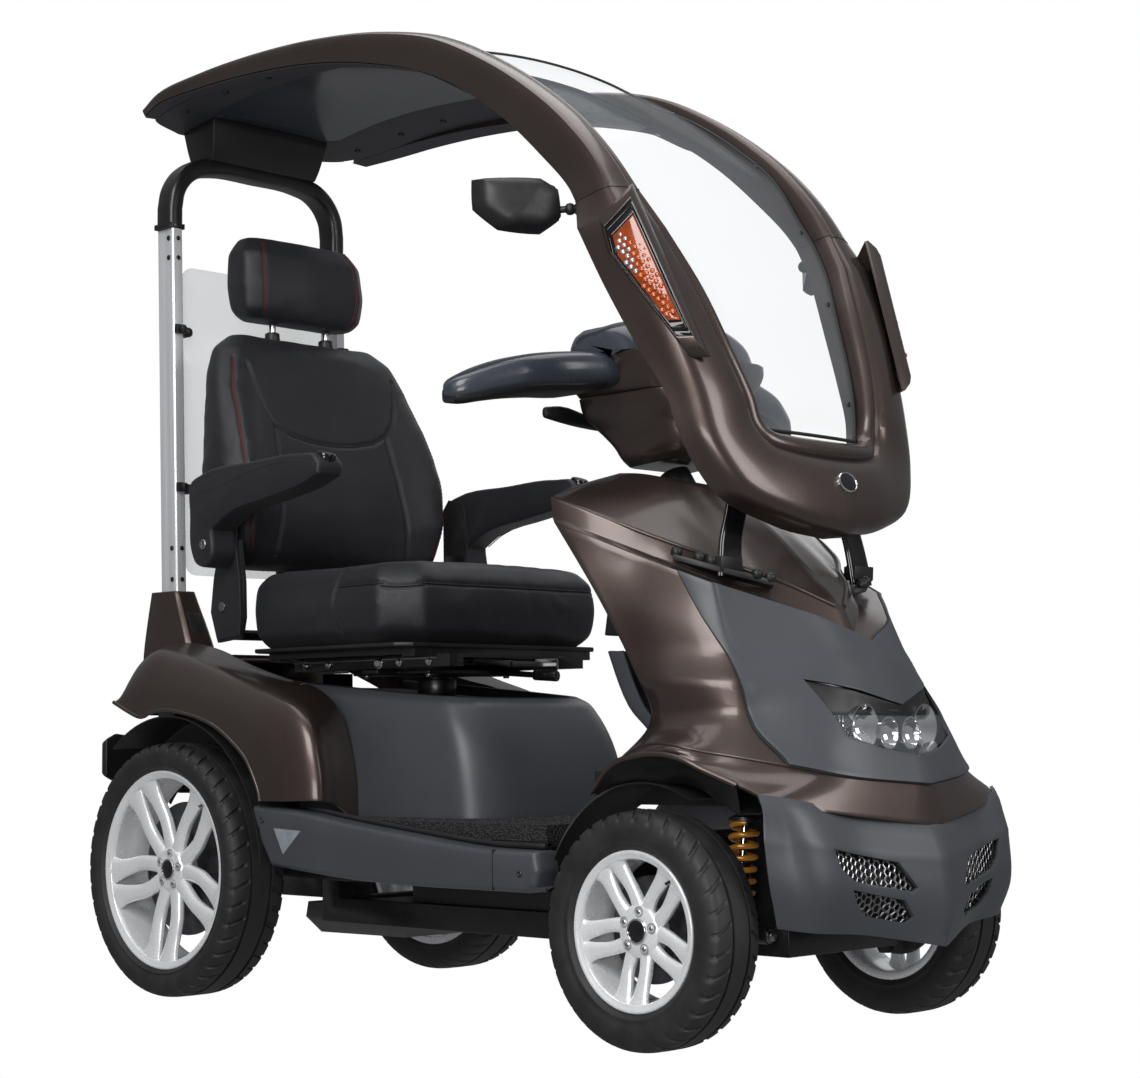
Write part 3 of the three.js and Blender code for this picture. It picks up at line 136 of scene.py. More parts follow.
class M:
    """A mesh being collected, in design millimetres."""

    def __init__(self):
        self.v, self.f, self.m, self.n = [], [], [], 0

    def add(self, v, f, mi=0):
        v = np.asarray(v, float).reshape(-1, 3)
        self.v.append(v)
        self.f += [tuple(int(i) + self.n for i in q) for q in f]
        self.m += [mi] * len(f)
        self.n += len(v)
        return self

    def grid(self, G, mi=0, cv=False, flip=False):
        G = np.asarray(G, float)
        return self.add(G, grid_faces(G.shape[0], G.shape[1], cv, 0, flip), mi)

    def shell(self, G, t, mi=0, towards=(0, 0, 0)):
        """A sheet of thickness t (mm) whose back lies towards a point."""
        G = np.asarray(G, float)
        n = normals(G)
        c = np.asarray(towards, float) - G
        if np.sum(n * c) > 0:
            n = -n
            G0 = G
            flip = True
        else:
            flip = False
        B = G - n * t
        R, C = G.shape[:2]
        N = R * C
        f = grid_faces(R, C, False, 0, flip) + grid_faces(R, C, False, N, not flip)
        ring = [(0, c) for c in range(C)] + [(r, C - 1) for r in range(1, R)] + [(R - 1, c) for c in range(C - 2, -1, -1)] + [(r, 0) for r in range(R - 2, 0, -1)]
        for i in range(len(ring)):
            a, b = ring[i], ring[(i + 1) % len(ring)]
            a, b = a[0] * C + a[1], b[0] * C + b[1]
            f.append((a, b, N + b, N + a) if flip else (b, a, N + a, N + b))
        return self.add(np.concatenate([G.reshape(-1, 3), B.reshape(-1, 3)]), f, mi)

    def loft(self, rings, mi=0, caps=True, dome=0.0):
        """Closed sections, one after another; domed or flat ends."""
        G = np.asarray(rings, float)
        if dome:
            c0, c1 = G[0].mean(0), G[-1].mean(0)
            d0 = c0 - G[1].mean(0)
            d1 = c1 - G[-2].mean(0)
            d0 /= max(np.linalg.norm(d0), 1e-9)
            d1 /= max(np.linalg.norm(d1), 1e-9)
            pre, post = [], []
            for a in (0.3, 0.6, 0.85, 1.0):
                s, o = math.cos(a * pi / 2) * 1.0, math.sin(a * pi / 2) * dome
                s = max(s, 0.12)
                pre.insert(0, c0 + (G[0] - c0) * s + d0 * o)
                post.append(c1 + (G[-1] - c1) * s + d1 * o)
            G = np.concatenate([np.array(pre), G, np.array(post)])
        R, C = G.shape[:2]
        vol = 0.0
        f = grid_faces(R, C, True)
        if caps:
            f.append(tuple(range(C))[::-1])
            f.append(tuple((R - 1) * C + i for i in range(C)))
        cen = G.reshape(-1, 3).mean(0)
        for q in f[:: max(1, len(f) // 600)]:
            a, b, c = [G.reshape(-1, 3)[q[i]] - cen for i in (0, 1, 2)]
            vol += np.dot(a, np.cross(b, c))
        if vol < 0:
            f = [q[::-1] for q in f]
        return self.add(G, f, mi)

    def lathe(self, prof, n, c, ax=(1, 0, 0), mi=0, closed=True, start=0.0):
        """Profile [radius, along]; closed on itself or capped by the axis."""
        ax = Vector(ax).normalized()
        u = ax.orthogonal().normalized()
        w = ax.cross(u)
        c = np.asarray(c, float)
        G = []
        for i in range(n):
            t = start + 2 * pi * i / n
            d = np.array(u) * math.cos(t) + np.array(w) * math.sin(t)
            G.append([c + d * r + np.array(ax) * a for r, a in prof])
        G = np.array(G)
        G = np.swapaxes(G, 0, 1)
        f = grid_faces(len(prof), n, True)
        if closed:
            P = len(prof)
            f += [((P - 1) * n + i, (P - 1) * n + (i + 1) % n, (i + 1) % n, i) for i in range(n)]
        else:
            if prof[0][0] > 1e-6:
                f.append(tuple(range(n))[::-1])
            if prof[-1][0] > 1e-6:
                f.append(tuple((len(prof) - 1) * n + i for i in range(n)))
        area = sum((prof[i][0] + prof[(i + 1) % len(prof)][0]) * (prof[(i + 1) % len(prof)][1] - prof[i][1]) for i in range(len(prof) if closed else len(prof) - 1))
        if area > 0:
            f = [q[::-1] for q in f]
        return self.add(G, f, mi)

    def tube(self, pts, r, n=10, mi=0, k=0, closed=False, rs=None, flat=1.0, upv=None):
        P = np.asarray(pts, float)
        if k:
            P = dense(P, k, (), closed)
        m = len(P)
        T = np.roll(P, -1, 0) - np.roll(P, 1, 0) if closed else np.gradient(P, axis=0)
        T /= np.maximum(np.linalg.norm(T, axis=1, keepdims=True), 1e-9)
        u = Vector(upv) if upv is not None else Vector(T[0]).orthogonal()
        G = []
        for i in range(m):
            t = Vector(T[i])
            u = (u - t * u.dot(t)).normalized()
            w = t.cross(u)
            rr = r if rs is None else rs[min(i, len(rs) - 1)]
            G.append([P[i] + np.array(u) * rr * math.cos(a) + np.array(w) * rr * flat * math.sin(a) for a in np.arange(n) * 2 * pi / n])
        G = np.array(G)
        f = grid_faces(m, n, True)
        if closed:
            f += [((m - 1) * n + i, (m - 1) * n + (i + 1) % n, (i + 1) % n, i) for i in range(n)]
        else:
            f.append(tuple(range(n))[::-1])
            f.append(tuple((m - 1) * n + i for i in range(n)))
        return self.add(G, f, mi)

    def box(self, x0, x1, y0, y1, z0, z1, mi=0):
        v = [(x, y, z) for x in (x0, x1) for y in (y0, y1) for z in (z0, z1)]
        f = [(0, 1, 3, 2), (4, 6, 7, 5), (0, 4, 5, 1), (2, 3, 7, 6), (0, 2, 6, 4), (1, 5, 7, 3)]
        return self.add(v, f, mi)

    def prism(self, pts, axis, a, b, mi=0):
        """A closed outline in the plane across an axis, from a to b along it."""
        o = {0: lambda p, t: (t, p[0], p[1]), 1: lambda p, t: (p[0], t, p[1]), 2: lambda p, t: (p[0], p[1], t)}[axis]
        return self.loft([[o(p, a) for p in pts], [o(p, b) for p in pts]], mi)

    def bolt(self, p, d, r, h, mi=0, kind="hex"):
        """A fastener head standing on point p along d."""
        d = Vector(d).normalized()
        if kind == "hex":
            self.lathe([(r * 1.25, -0.6), (r * 1.25, h * 0.25), (r, h * 0.25), (0.0, h * 0.25)], 20, p, d, mi, False)
            self.lathe([(r, h * 0.2), (r, h * 0.85), (r * 0.86, h), (0.0, h)], 6, p, d, mi, False)
        else:
            self.lathe([(r, -0.6), (r, h * 0.55), (r * 0.92, h * 0.85), (r * 0.75, h), (r * 0.46, h), (r * 0.42, h * 0.35), (0.0, h * 0.35)], 24, p, d, mi, False)
        return self

    def flipx(self):
        """This and its mirror image across the centre plane."""
        v = [a.copy() for a in self.v]
        f, m, n = list(self.f), list(self.m), self.n
        self.v += [a * np.array([-1, 1, 1]) for a in v]
        self.f += [tuple(i + n for i in q[::-1]) for q in f]
        self.m += m
        self.n *= 2
        return self


def mirrored(m):
    o = M()
    o.v = [a * np.array([-1, 1, 1]) for a in m.v]
    o.f = [q[::-1] for q in m.f]
    o.m, o.n = list(m.m), m.n
    return o


def evaluated(o):
    dg = bpy.context.evaluated_depsgraph_get()
    me = bpy.data.meshes.new_from_object(o.evaluated_get(dg))
    old = o.data
    o.modifiers.clear()
    o.data = me
    return o


def make(name, m, mats, body, replaces=(), bevel=0.0, seg=2, subd=0, angle=32, sharp=38, cuts=(), fix=True):
    me = bpy.data.meshes.new(name)
    v = W(np.concatenate(m.v))
    me.from_pydata(v.tolist(), [], m.f)
    me.polygons.foreach_set("material_index", m.m)
    o = bpy.data.objects.new(name, me)
    bpy.context.scene.collection.objects.link(o)
    for x in mats:
        me.materials.append(x)
    if fix:
        b = bmesh.new()
        b.from_mesh(me)
        bmesh.ops.remove_doubles(b, verts=b.verts, dist=2e-6)
        bmesh.ops.dissolve_degenerate(b, dist=1e-6, edges=b.edges)
        bmesh.ops.recalc_face_normals(b, faces=b.faces)
        b.to_mesh(me)
        b.free()
    for c in cuts:
        mod = o.modifiers.new("cut", "BOOLEAN")
        mod.operation = "DIFFERENCE"
        mod.solver = "EXACT"
        mod.object = c
    if cuts:
        evaluated(o)
    if subd:
        mod = o.modifiers.new("s", "SUBSURF")
        mod.levels = mod.render_levels = subd
    if bevel:
        mod = o.modifiers.new("b", "BEVEL")
        mod.width = bevel * 0.001
        mod.segments = seg
        mod.limit_method = "ANGLE"
        mod.angle_limit = math.radians(angle)
        mod.use_clamp_overlap = True
        mod.miter_outer = "MITER_ARC"
    if subd or bevel:
        evaluated(o)
    finish_mesh(o, sharp)
    if body:
        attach(o, body)
    if replaces:
        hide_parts(*([replaces] if isinstance(replaces, str) else replaces))
    return o


def finish_mesh(o, sharp=38):
    me = o.data
    me.polygons.foreach_set("use_smooth", [True] * len(me.polygons))
    me.set_sharp_from_angle(angle=math.radians(sharp))
    me.update()


def cutter(m):
    me = bpy.data.meshes.new("cutter")
    me.from_pydata(W(np.concatenate(m.v)).tolist(), [], m.f)
    b = bmesh.new()
    b.from_mesh(me)
    bmesh.ops.recalc_face_normals(b, faces=b.faces)
    b.to_mesh(me)
    b.free()
    o = bpy.data.objects.new("cutter", me)
    bpy.context.scene.collection.objects.link(o)
    o.hide_render = True
    CUTTERS.append(o)
    return o


CUTTERS = []
NODE_BODY = {n: b for b, ns in frame["record"]["behaviour"]["bodies"].items() for n in ns}


def dress(node, mat, bevel=2.0, seg=2, sharp=40, name=None):
    """A finished copy of a CAD node: rounded edges, smooth shading, real material."""
    src = frame["nodes"][node]
    me = src.data.copy()
    o = bpy.data.objects.new(name or node + "_finished", me)
    bpy.context.scene.collection.objects.link(o)
    b = bmesh.new()
    b.from_mesh(me)
    bmesh.ops.remove_doubles(b, verts=b.verts, dist=5e-6)
    bmesh.ops.dissolve_limit(b, angle_limit=math.radians(1.5), verts=b.verts, edges=b.edges)
    b.to_mesh(me)
    b.free()
    me.materials.clear()
    me.materials.append(mat)
    if bevel:
        mod = o.modifiers.new("b", "BEVEL")
        mod.width = bevel * 0.001
        mod.segments = seg
        mod.limit_method = "ANGLE"
        mod.angle_limit = math.radians(32)
        evaluated(o)
        o.data.materials.clear()
        o.data.materials.append(mat)
        o.data.polygons.foreach_set("material_index", [0] * len(o.data.polygons))
    finish_mesh(o, sharp)
    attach(o, NODE_BODY[node])
    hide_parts(node)
    return o


# ------------------------------------------------------------------ materials
def node_mat(name):
    m = bpy.data.materials.new(name)
    m.use_nodes = True
    nt = m.node_tree
    bsdf = nt.nodes["Principled BSDF"]
    tc = nt.nodes.new("ShaderNodeTexCoord")
    return m, nt, bsdf, tc.outputs["Object"]


def noise(nt, co, scale, detail=3.0, rough=0.55, stretch=None):
    t = nt.nodes.new("ShaderNodeTexNoise")
    t.inputs["Scale"].default_value = scale
    t.inputs["Detail"].default_value = detail
    t.inputs["Roughness"].default_value = rough
    if stretch:
        mp = nt.nodes.new("ShaderNodeMapping")
        mp.inputs["Scale"].default_value = stretch
        nt.links.new(co, mp.inputs["Vector"])
        co = mp.outputs["Vector"]
    nt.links.new(co, t.inputs["Vector"])
    return t.outputs["Fac"]


def voronoi(nt, co, scale, feature="F1", rnd=1.0, out="Distance"):
    t = nt.nodes.new("ShaderNodeTexVoronoi")
    t.feature = feature
    t.inputs["Scale"].default_value = scale
    t.inputs["Randomness"].default_value = rnd
    nt.links.new(co, t.inputs["Vector"])
    return t.outputs[out]


def ramp(nt, fac, stops):
    r = nt.nodes.new("ShaderNodeValToRGB")
    e = r.color_ramp.elements
    e[0].position, e[0].color = stops[0][0], (*stops[0][1], 1)
    e[1].position, e[1].color = stops[-1][0], (*stops[-1][1], 1)
    for p, c in stops[1:-1]:
        x = e.new(p)
        x.color = (*c, 1)
    nt.links.new(fac, r.inputs["Fac"])
    return r.outputs["Color"]


def rng_map(nt, fac, a, b, lo=0.3, hi=0.7):
    r = nt.nodes.new("ShaderNodeMapRange")
    r.inputs["From Min"].default_value, r.inputs["From Max"].default_value = lo, hi
    r.inputs["To Min"].default_value, r.inputs["To Max"].default_value = a, b
    nt.links.new(fac, r.inputs["Value"])
    return r.outputs["Result"]


def bump(nt, bsdf, height, strength, dist, prev=None):
    b = nt.nodes.new("ShaderNodeBump")
    b.inputs["Strength"].default_value = strength
    b.inputs["Distance"].default_value = dist
    nt.links.new(height, b.inputs["Height"])
    if prev is not None:
        nt.links.new(prev, b.inputs["Normal"])
    nt.links.new(b.outputs["Normal"], bsdf.inputs["Normal"])
    return b.outputs["Normal"]


def mul(c, k):
    return tuple(x * k for x in c)


def basic(name, col, rough, metal=0.0, var=0.12, vscale=14.0, rvar=0.06, bs=None, coat=0.0, coat_r=0.1, grain=None, flake=None, stretch=None, spec=0.5):
    m, nt, b, co = node_mat(name)
    n1 = noise(nt, co, vscale, 4.0, 0.6, stretch)
    if flake:
        n2 = noise(nt, co, flake, 1.0, 0.5)
        mx = nt.nodes.new("ShaderNodeMix")
        mx.data_type = "RGBA"
        nt.links.new(n2, mx.inputs["Factor"])
        nt.links.new(ramp(nt, n1, [(0.35, mul(col, 1 - var)), (0.65, mul(col, 1 + var))]), mx.inputs["A"])
        nt.links.new(ramp(nt, n2, [(0.45, mul(col, 0.75)), (0.62, mul(col, 1.5))]), mx.inputs["B"])
        nt.links.new(mx.outputs["Result"], b.inputs["Base Color"])
    else:
        nt.links.new(ramp(nt, n1, [(0.35, mul(col, 1 - var)), (0.65, mul(col, 1 + var))]), b.inputs["Base Color"])
    nt.links.new(rng_map(nt, n1, rough - rvar, rough + rvar), b.inputs["Roughness"])
    b.inputs["Metallic"].default_value = metal
    b.inputs["Specular IOR Level"].default_value = spec
    if coat:
        b.inputs["Coat Weight"].default_value = coat
        b.inputs["Coat Roughness"].default_value = coat_r
    prev = None
    if grain:
        for sc, st, di in grain:
            prev = bump(nt, b, noise(nt, co, sc, 2.0, 0.6, stretch), st, di, prev)
    return m


MAT = {}
MAT["paint"] = basic("body_paint", (0.070, 0.050, 0.043), 0.34, 0.72, 0.08, 5.0, 0.03, coat=0.55, coat_r=0.14, flake=1500.0, grain=[(260.0, 0.05, 0.0004)])
# a darker, duller copy of the body paint standing in for painted shade on faces turned from the light; no part is given
# it
MAT["paint_dark"] = basic("body_paint_shade", (0.040, 0.030, 0.027), 0.4, 0.5, 0.08, 5.0, 0.03, coat=0.2, coat_r=0.2, flake=1500.0, grain=[(260.0, 0.05, 0.0004)])
MAT["grey"] = basic("panel_grey", (0.052, 0.055, 0.064), 0.42, 0.0, 0.07, 6.0, 0.04, grain=[(900.0, 0.10, 0.0003)], coat=0.12, coat_r=0.3)
MAT["grey_gloss"] = basic("panel_grey_gloss", (0.040, 0.046, 0.060), 0.26, 0.0, 0.07, 6.0, 0.04, grain=[(700.0, 0.05, 0.0002)], coat=0.35, coat_r=0.12)
MAT["black"] = basic("black_plastic", (0.011, 0.011, 0.012), 0.46, 0.0, 0.2, 30.0, 0.06, grain=[(800.0, 0.18, 0.0004)])
MAT["black_gloss"] = basic("black_gloss", (0.006, 0.006, 0.007), 0.16, 0.0, 0.2, 20.0, 0.04, coat=0.4, coat_r=0.06, grain=[(300.0, 0.03, 0.0003)])
MAT["powder"] = basic("frame_black", (0.010, 0.010, 0.011), 0.34, 0.0, 0.2, 25.0, 0.05, coat=0.25, coat_r=0.2, grain=[(650.0, 0.16, 0.0004)])
MAT["hoop"] = basic("hoop_black", (0.009, 0.009, 0.010), 0.36, 0.0, 0.2, 25.0, 0.05, coat=0.3, coat_r=0.22, grain=[(500.0, 0.12, 0.0004)])
MAT["alloy"] = basic("alloy_silver", (0.86, 0.87, 0.88), 0.26, 0.30, 0.05, 20.0, 0.04, coat=0.5, coat_r=0.08, flake=1800.0)
MAT["alloy_dark"] = basic("alloy_inner", (0.34, 0.345, 0.35), 0.4, 0.45, 0.08, 20.0, 0.05, flake=1800.0)
MAT["chrome"] = basic("chrome", (0.72, 0.72, 0.73), 0.10, 1.0, 0.04, 30.0, 0.03)
MAT["steel"] = basic("zinc_steel", (0.36, 0.36, 0.37), 0.30, 1.0, 0.1, 40.0, 0.06)
MAT["anodised"] = basic("anodised", (0.70, 0.71, 0.73), 0.30, 0.35, 0.04, 16.0, 0.04, grain=[(420.0, 0.06, 0.0002)], stretch=(6.0, 6.0, 0.25))
MAT["orange"] = basic("spring_orange", (0.62, 0.27, 0.035), 0.30, 0.35, 0.12, 30.0, 0.05, coat=0.5, coat_r=0.1)
MAT["thread"] = basic("red_thread", (0.10, 0.012, 0.014), 0.6, 0.0, 0.2, 90.0, 0.05)
MAT["thread_blk"] = basic("black_thread", (0.022, 0.022, 0.024), 0.6, 0.0, 0.2, 90.0, 0.05)
MAT["liner"] = basic("roof_liner", (0.036, 0.038, 0.042), 0.56, 0.0, 0.12, 9.0, 0.05, grain=[(520.0, 0.25, 0.0005)])
MAT["reflector"] = basic("reflector", (0.42, 0.46, 0.50), 0.18, 0.5, 0.1, 60.0, 0.05, coat=0.6, coat_r=0.05, grain=[(500.0, 0.3, 0.0005)])
MAT["amber"] = basic("amber_lens", (0.26, 0.040, 0.004), 0.12, 0.0, 0.25, 90.0, 0.04, coat=0.8, coat_r=0.04)
MAT["amber"].node_tree.nodes["Principled BSDF"].inputs["Emission Color"].default_value = (1.0, 0.16, 0.01, 1)
MAT["amber"].node_tree.nodes["Principled BSDF"].inputs["Emission Strength"].default_value = 0.03
MAT["amber_cell"] = basic("amber_cell", (0.50, 0.085, 0.006), 0.14, 0.0, 0.35, 120.0, 0.05, coat=0.8, coat_r=0.04)
MAT["mirror"] = basic("mirror_glass", (0.80, 0.82, 0.84), 0.03, 1.0, 0.02, 20.0, 0.01)
MAT["battery"] = basic("battery", (0.020, 0.021, 0.024), 0.5, 0.0, 0.1, 20.0, 0.05, grain=[(400.0, 0.15, 0.0004)])
MAT["rubber"] = basic("seal_rubber", (0.010, 0.010, 0.010), 0.6, 0.0, 0.15, 40.0, 0.06, grain=[(500.0, 0.2, 0.0004)])


def leather():
    m, nt, b, co = node_mat("leather")
    n1 = noise(nt, co, 7.0, 4.0)
    nt.links.new(ramp(nt, n1, [(0.3, (0.0085, 0.009, 0.0115)), (0.7, (0.015, 0.0155, 0.0195))]), b.inputs["Base Color"])
    v = voronoi(nt, co, 520.0, "DISTANCE_TO_EDGE")
    nt.links.new(rng_map(nt, v, 0.5, 0.37, 0.0, 0.3), b.inputs["Roughness"])
    p = bump(nt, b, noise(nt, co, 55.0, 4.0), 0.16, 0.0012)
    p = bump(nt, b, rng_map(nt, v, 0.0, 1.0, 0.0, 0.22), 0.32, 0.0005, p)
    b.inputs["Specular IOR Level"].default_value = 0.5
    b.inputs["Sheen Weight"].default_value = 0.04
    return m


def tyre_mat():
    m, nt, b, co = node_mat("tyre")
    n1 = noise(nt, co, 22.0, 5.0)
    nt.links.new(ramp(nt, n1, [(0.3, (0.011, 0.011, 0.011)), (0.7, (0.022, 0.022, 0.022))]), b.inputs["Base Color"])
    nt.links.new(rng_map(nt, n1, 0.52, 0.68), b.inputs["Roughness"])
    bump(nt, b, noise(nt, co, 700.0, 3.0), 0.15, 0.0005)
    return m


def mat_mat():
    m, nt, b, co = node_mat("floor_mat")
    v = voronoi(nt, co, 330.0)
    nt.links.new(ramp(nt, v, [(0.1, (0.045, 0.045, 0.046)), (0.5, (0.012, 0.012, 0.012)), (0.8, (0.005, 0.005, 0.005))]), b.inputs["Base Color"])
    b.inputs["Roughness"].default_value = 0.62
    p = bump(nt, b, v, 0.9, 0.0020)
    bump(nt, b, noise(nt, co, 900.0, 2.0), 0.4, 0.0006, p)
    return m


def clear(name, col, alpha, rough=0.03):
    m, nt, b, co = node_mat(name)
    b.inputs["Base Color"].default_value = (*col, 1)
    b.inputs["Roughness"].default_value = rough
    b.inputs["IOR"].default_value = 1.5
    n1 = noise(nt, co, 3.0, 2.0)
    nt.links.new(rng_map(nt, n1, alpha * 0.92, alpha * 1.08), b.inputs["Alpha"])
    bump(nt, b, noise(nt, co, 2.2, 1.0), 0.05, 0.002)
    m.surface_render_method = "BLENDED"
    return m


MAT["leather"] = leather()
MAT["tyre"] = tyre_mat()
MAT["mat"] = mat_mat()
MAT["clear"] = clear("clear_sheet", (0.62, 0.68, 0.74), 0.085)
MAT["clear2"] = clear("clear_back_sheet", (0.62, 0.66, 0.70), 0.30, 0.08)
MAT["lens"] = clear("lamp_lens", (0.55, 0.60, 0.65), 0.06, 0.02)

# ------------------------------------------------------------------ camera
RIGHT, UP, LOOK = (0.70095984, -0.7131483, -0.0086494), (-0.05486314, -0.06600919, 0.9963096), (0.71108744, 0.69789849, 0.08539534)
cam_data = bpy.data.cameras.new("camera")
cam = bpy.data.objects.new("camera", cam_data)
bpy.context.scene.collection.objects.link(cam)
R3 = Matrix((RIGHT, UP, [-x for x in LOOK])).transposed()
cam.matrix_world = Matrix.Translation((-2.60203, -3.17481 + SY * 0.001, 0.43008)) @ R3.to_4x4()
cam_data.lens, cam_data.sensor_width, cam_data.sensor_fit = 71.955, 36.0, "HORIZONTAL"
cam_data.clip_end = 200.0
bpy.context.scene.camera = cam

# ------------------------------------------------------------------ stage
world = bpy.data.worlds.new("studio")
bpy.context.scene.world = world
world.use_nodes = True
wn = world.node_tree
bg = wn.nodes["Background"]
bg.inputs["Strength"].default_value = 1.0
geo = wn.nodes.new("ShaderNodeTexCoord")
sep = wn.nodes.new("ShaderNodeSeparateXYZ")
wn.links.new(geo.outputs["Generated"], sep.inputs["Vector"])
wr = wn.nodes.new("ShaderNodeValToRGB")
e = wr.color_ramp.elements
e[0].position, e[0].color = 0.0, (0.30, 0.30, 0.31, 1)
e[1].position, e[1].color = 1.0, (0.42, 0.43, 0.45, 1)
x = e.new(0.5); x.color = (0.13, 0.13, 0.135, 1)
x = e.new(0.75); x.color = (0.22, 0.22, 0.23, 1)
wmap = wn.nodes.new("ShaderNodeMapRange")
wmap.inputs["From Min"].default_value = -1.0
wn.links.new(sep.outputs["Z"], wmap.inputs["Value"])
wn.links.new(wmap.outputs["Result"], wr.inputs["Fac"])
lp = wn.nodes.new("ShaderNodeLightPath")
wm = wn.nodes.new("ShaderNodeMix")
wm.data_type = "RGBA"
wn.links.new(lp.outputs["Is Camera Ray"], wm.inputs["Factor"])
wn.links.new(wr.outputs["Color"], wm.inputs["A"])
wm.inputs["B"].default_value = (1.0, 1.0, 1.0, 1)
wn.links.new(wm.outputs["Result"], bg.inputs["Color"])


def area(name, loc, look, size, size_y, power, col=(1, 1, 1)):
    d = bpy.data.lights.new(name, "AREA")
    d.shape = "RECTANGLE"
    d.size, d.size_y, d.energy, d.color = size, size_y, power, col
    o = bpy.data.objects.new(name, d)
    bpy.context.scene.collection.objects.link(o)
    o.location = loc
    o.rotation_euler = (Vector(look) - Vector(loc)).to_track_quat("-Z", "Y").to_euler()
    return o


area("key", (-3.4, -1.6, 2.9), (0, 0, 0.7), 2.0, 2.4, 105)
area("front", (0.6, -4.2, 2.0), (0, -0.3, 0.6), 1.8, 2.0, 62)
area("top", (0.2, 0.3, 4.0), (0, 0, 0.5), 3.2, 3.2, 60)
area("low", (-3.3, -2.2, 0.55), (-0.2, -0.2, 0.25), 1.7, 0.8, 34)
area("rim", (3.2, 1.4, 2.4), (0, 0, 0.8), 1.4, 2.4, 7)
bpy.context.scene.view_settings.view_transform = "Standard"

# ------------------------------------------------------------------ wheels
def tyre(name, node, body, R, Wd, bead, s, cx, cy, cz, pitches, slant):
    h = Wd / 2
    side = [(0.02, 0.66), (0.05, 0.74), (0.10, 0.83), (0.17, 0.895), (0.20, 0.93), (0.23, 0.93), (0.26, 0.915), (0.36, 0.965), (0.48, 0.995), (0.60, 1.0),
            (0.70, 0.985), (0.78, 0.955), (0.84, 0.925), (0.885, 0.885), (0.92, 0.835), (0.95, 0.77), (0.968, 0.71), (0.98, 0.64), (0.988, 0.57),
            (0.993, 0.50), (0.996, 0.44), (0.9965, 0.405), (0.9965, 0.40), (0.997, 0.30), (0.997, 0.295), (0.998, 0.20), (0.9995, 0.10), (0.9998, 0.045), (0.9998, 0.04), (1.0, 0.0)]
    prof = []
    for i, (f, u) in enumerate(side):
        r = bead + f * (R - bead)
        circ = 1 if (0.30 <= u <= 0.40 and f > 0.99) else 0
        prof.append((r - (3.6 if circ and 0.296 < u < 0.404 else 0), u))
    full = [(r, u) for r, u in prof] + [(r, -u) for r, u in prof[::-1][1:]]
    marks = np.array([0.0, 0.05, 0.24, 0.29, 0.47, 0.66, 0.84])
    deep = np.array([0, 1, 1, 0, 0, 0, 0])
    N = pitches * len(marks)
    G = np.zeros((len(full), N, 3))
    for i, (r, u) in enumerate(full):
        a = abs(u)
        sh = slant * (a ** 1.5) * (1 if u > 0 else 1) + (0.5 / pitches * 2 * pi if u < 0 else 0)
        f = (r - bead) / (R - bead)
        lat = 1.0 if (f > 0.80 and a > 0.42) else 0.0
        if 0.74 < f <= 0.80:
            lat = (f - 0.74) / 0.06
        if a <= 0.42:
            lat = 0.0
        for j in range(N):
            t = 2 * pi * ((j // len(marks)) + marks[j % len(marks)]) / pitches + sh
            d = deep[j % len(marks)] * lat * 3.4
            if lat and a < 0.70 and (j // len(marks)) % 2:
                d *= 1.0 if a > 0.52 else 0.0
            rr = r - d * (1.0 if a < 0.86 else 0.55)
            uu = u * h * (1 - (0.02 * deep[j % len(marks)] * lat if a > 0.8 else 0))
            G[i, j] = (cx + s * uu, cy + rr * math.cos(t), cz + rr * math.sin(t))
    m = M()
    rows, cols = G.shape[:2]
    f = grid_faces(rows, cols, True)
    f += [((rows - 1) * cols + i, (rows - 1) * cols + (i + 1) % cols, (i + 1) % cols, i) for i in range(cols)]
    m.add(G, f)
    return make(name, m, [MAT["tyre"]], body, node, sharp=48)


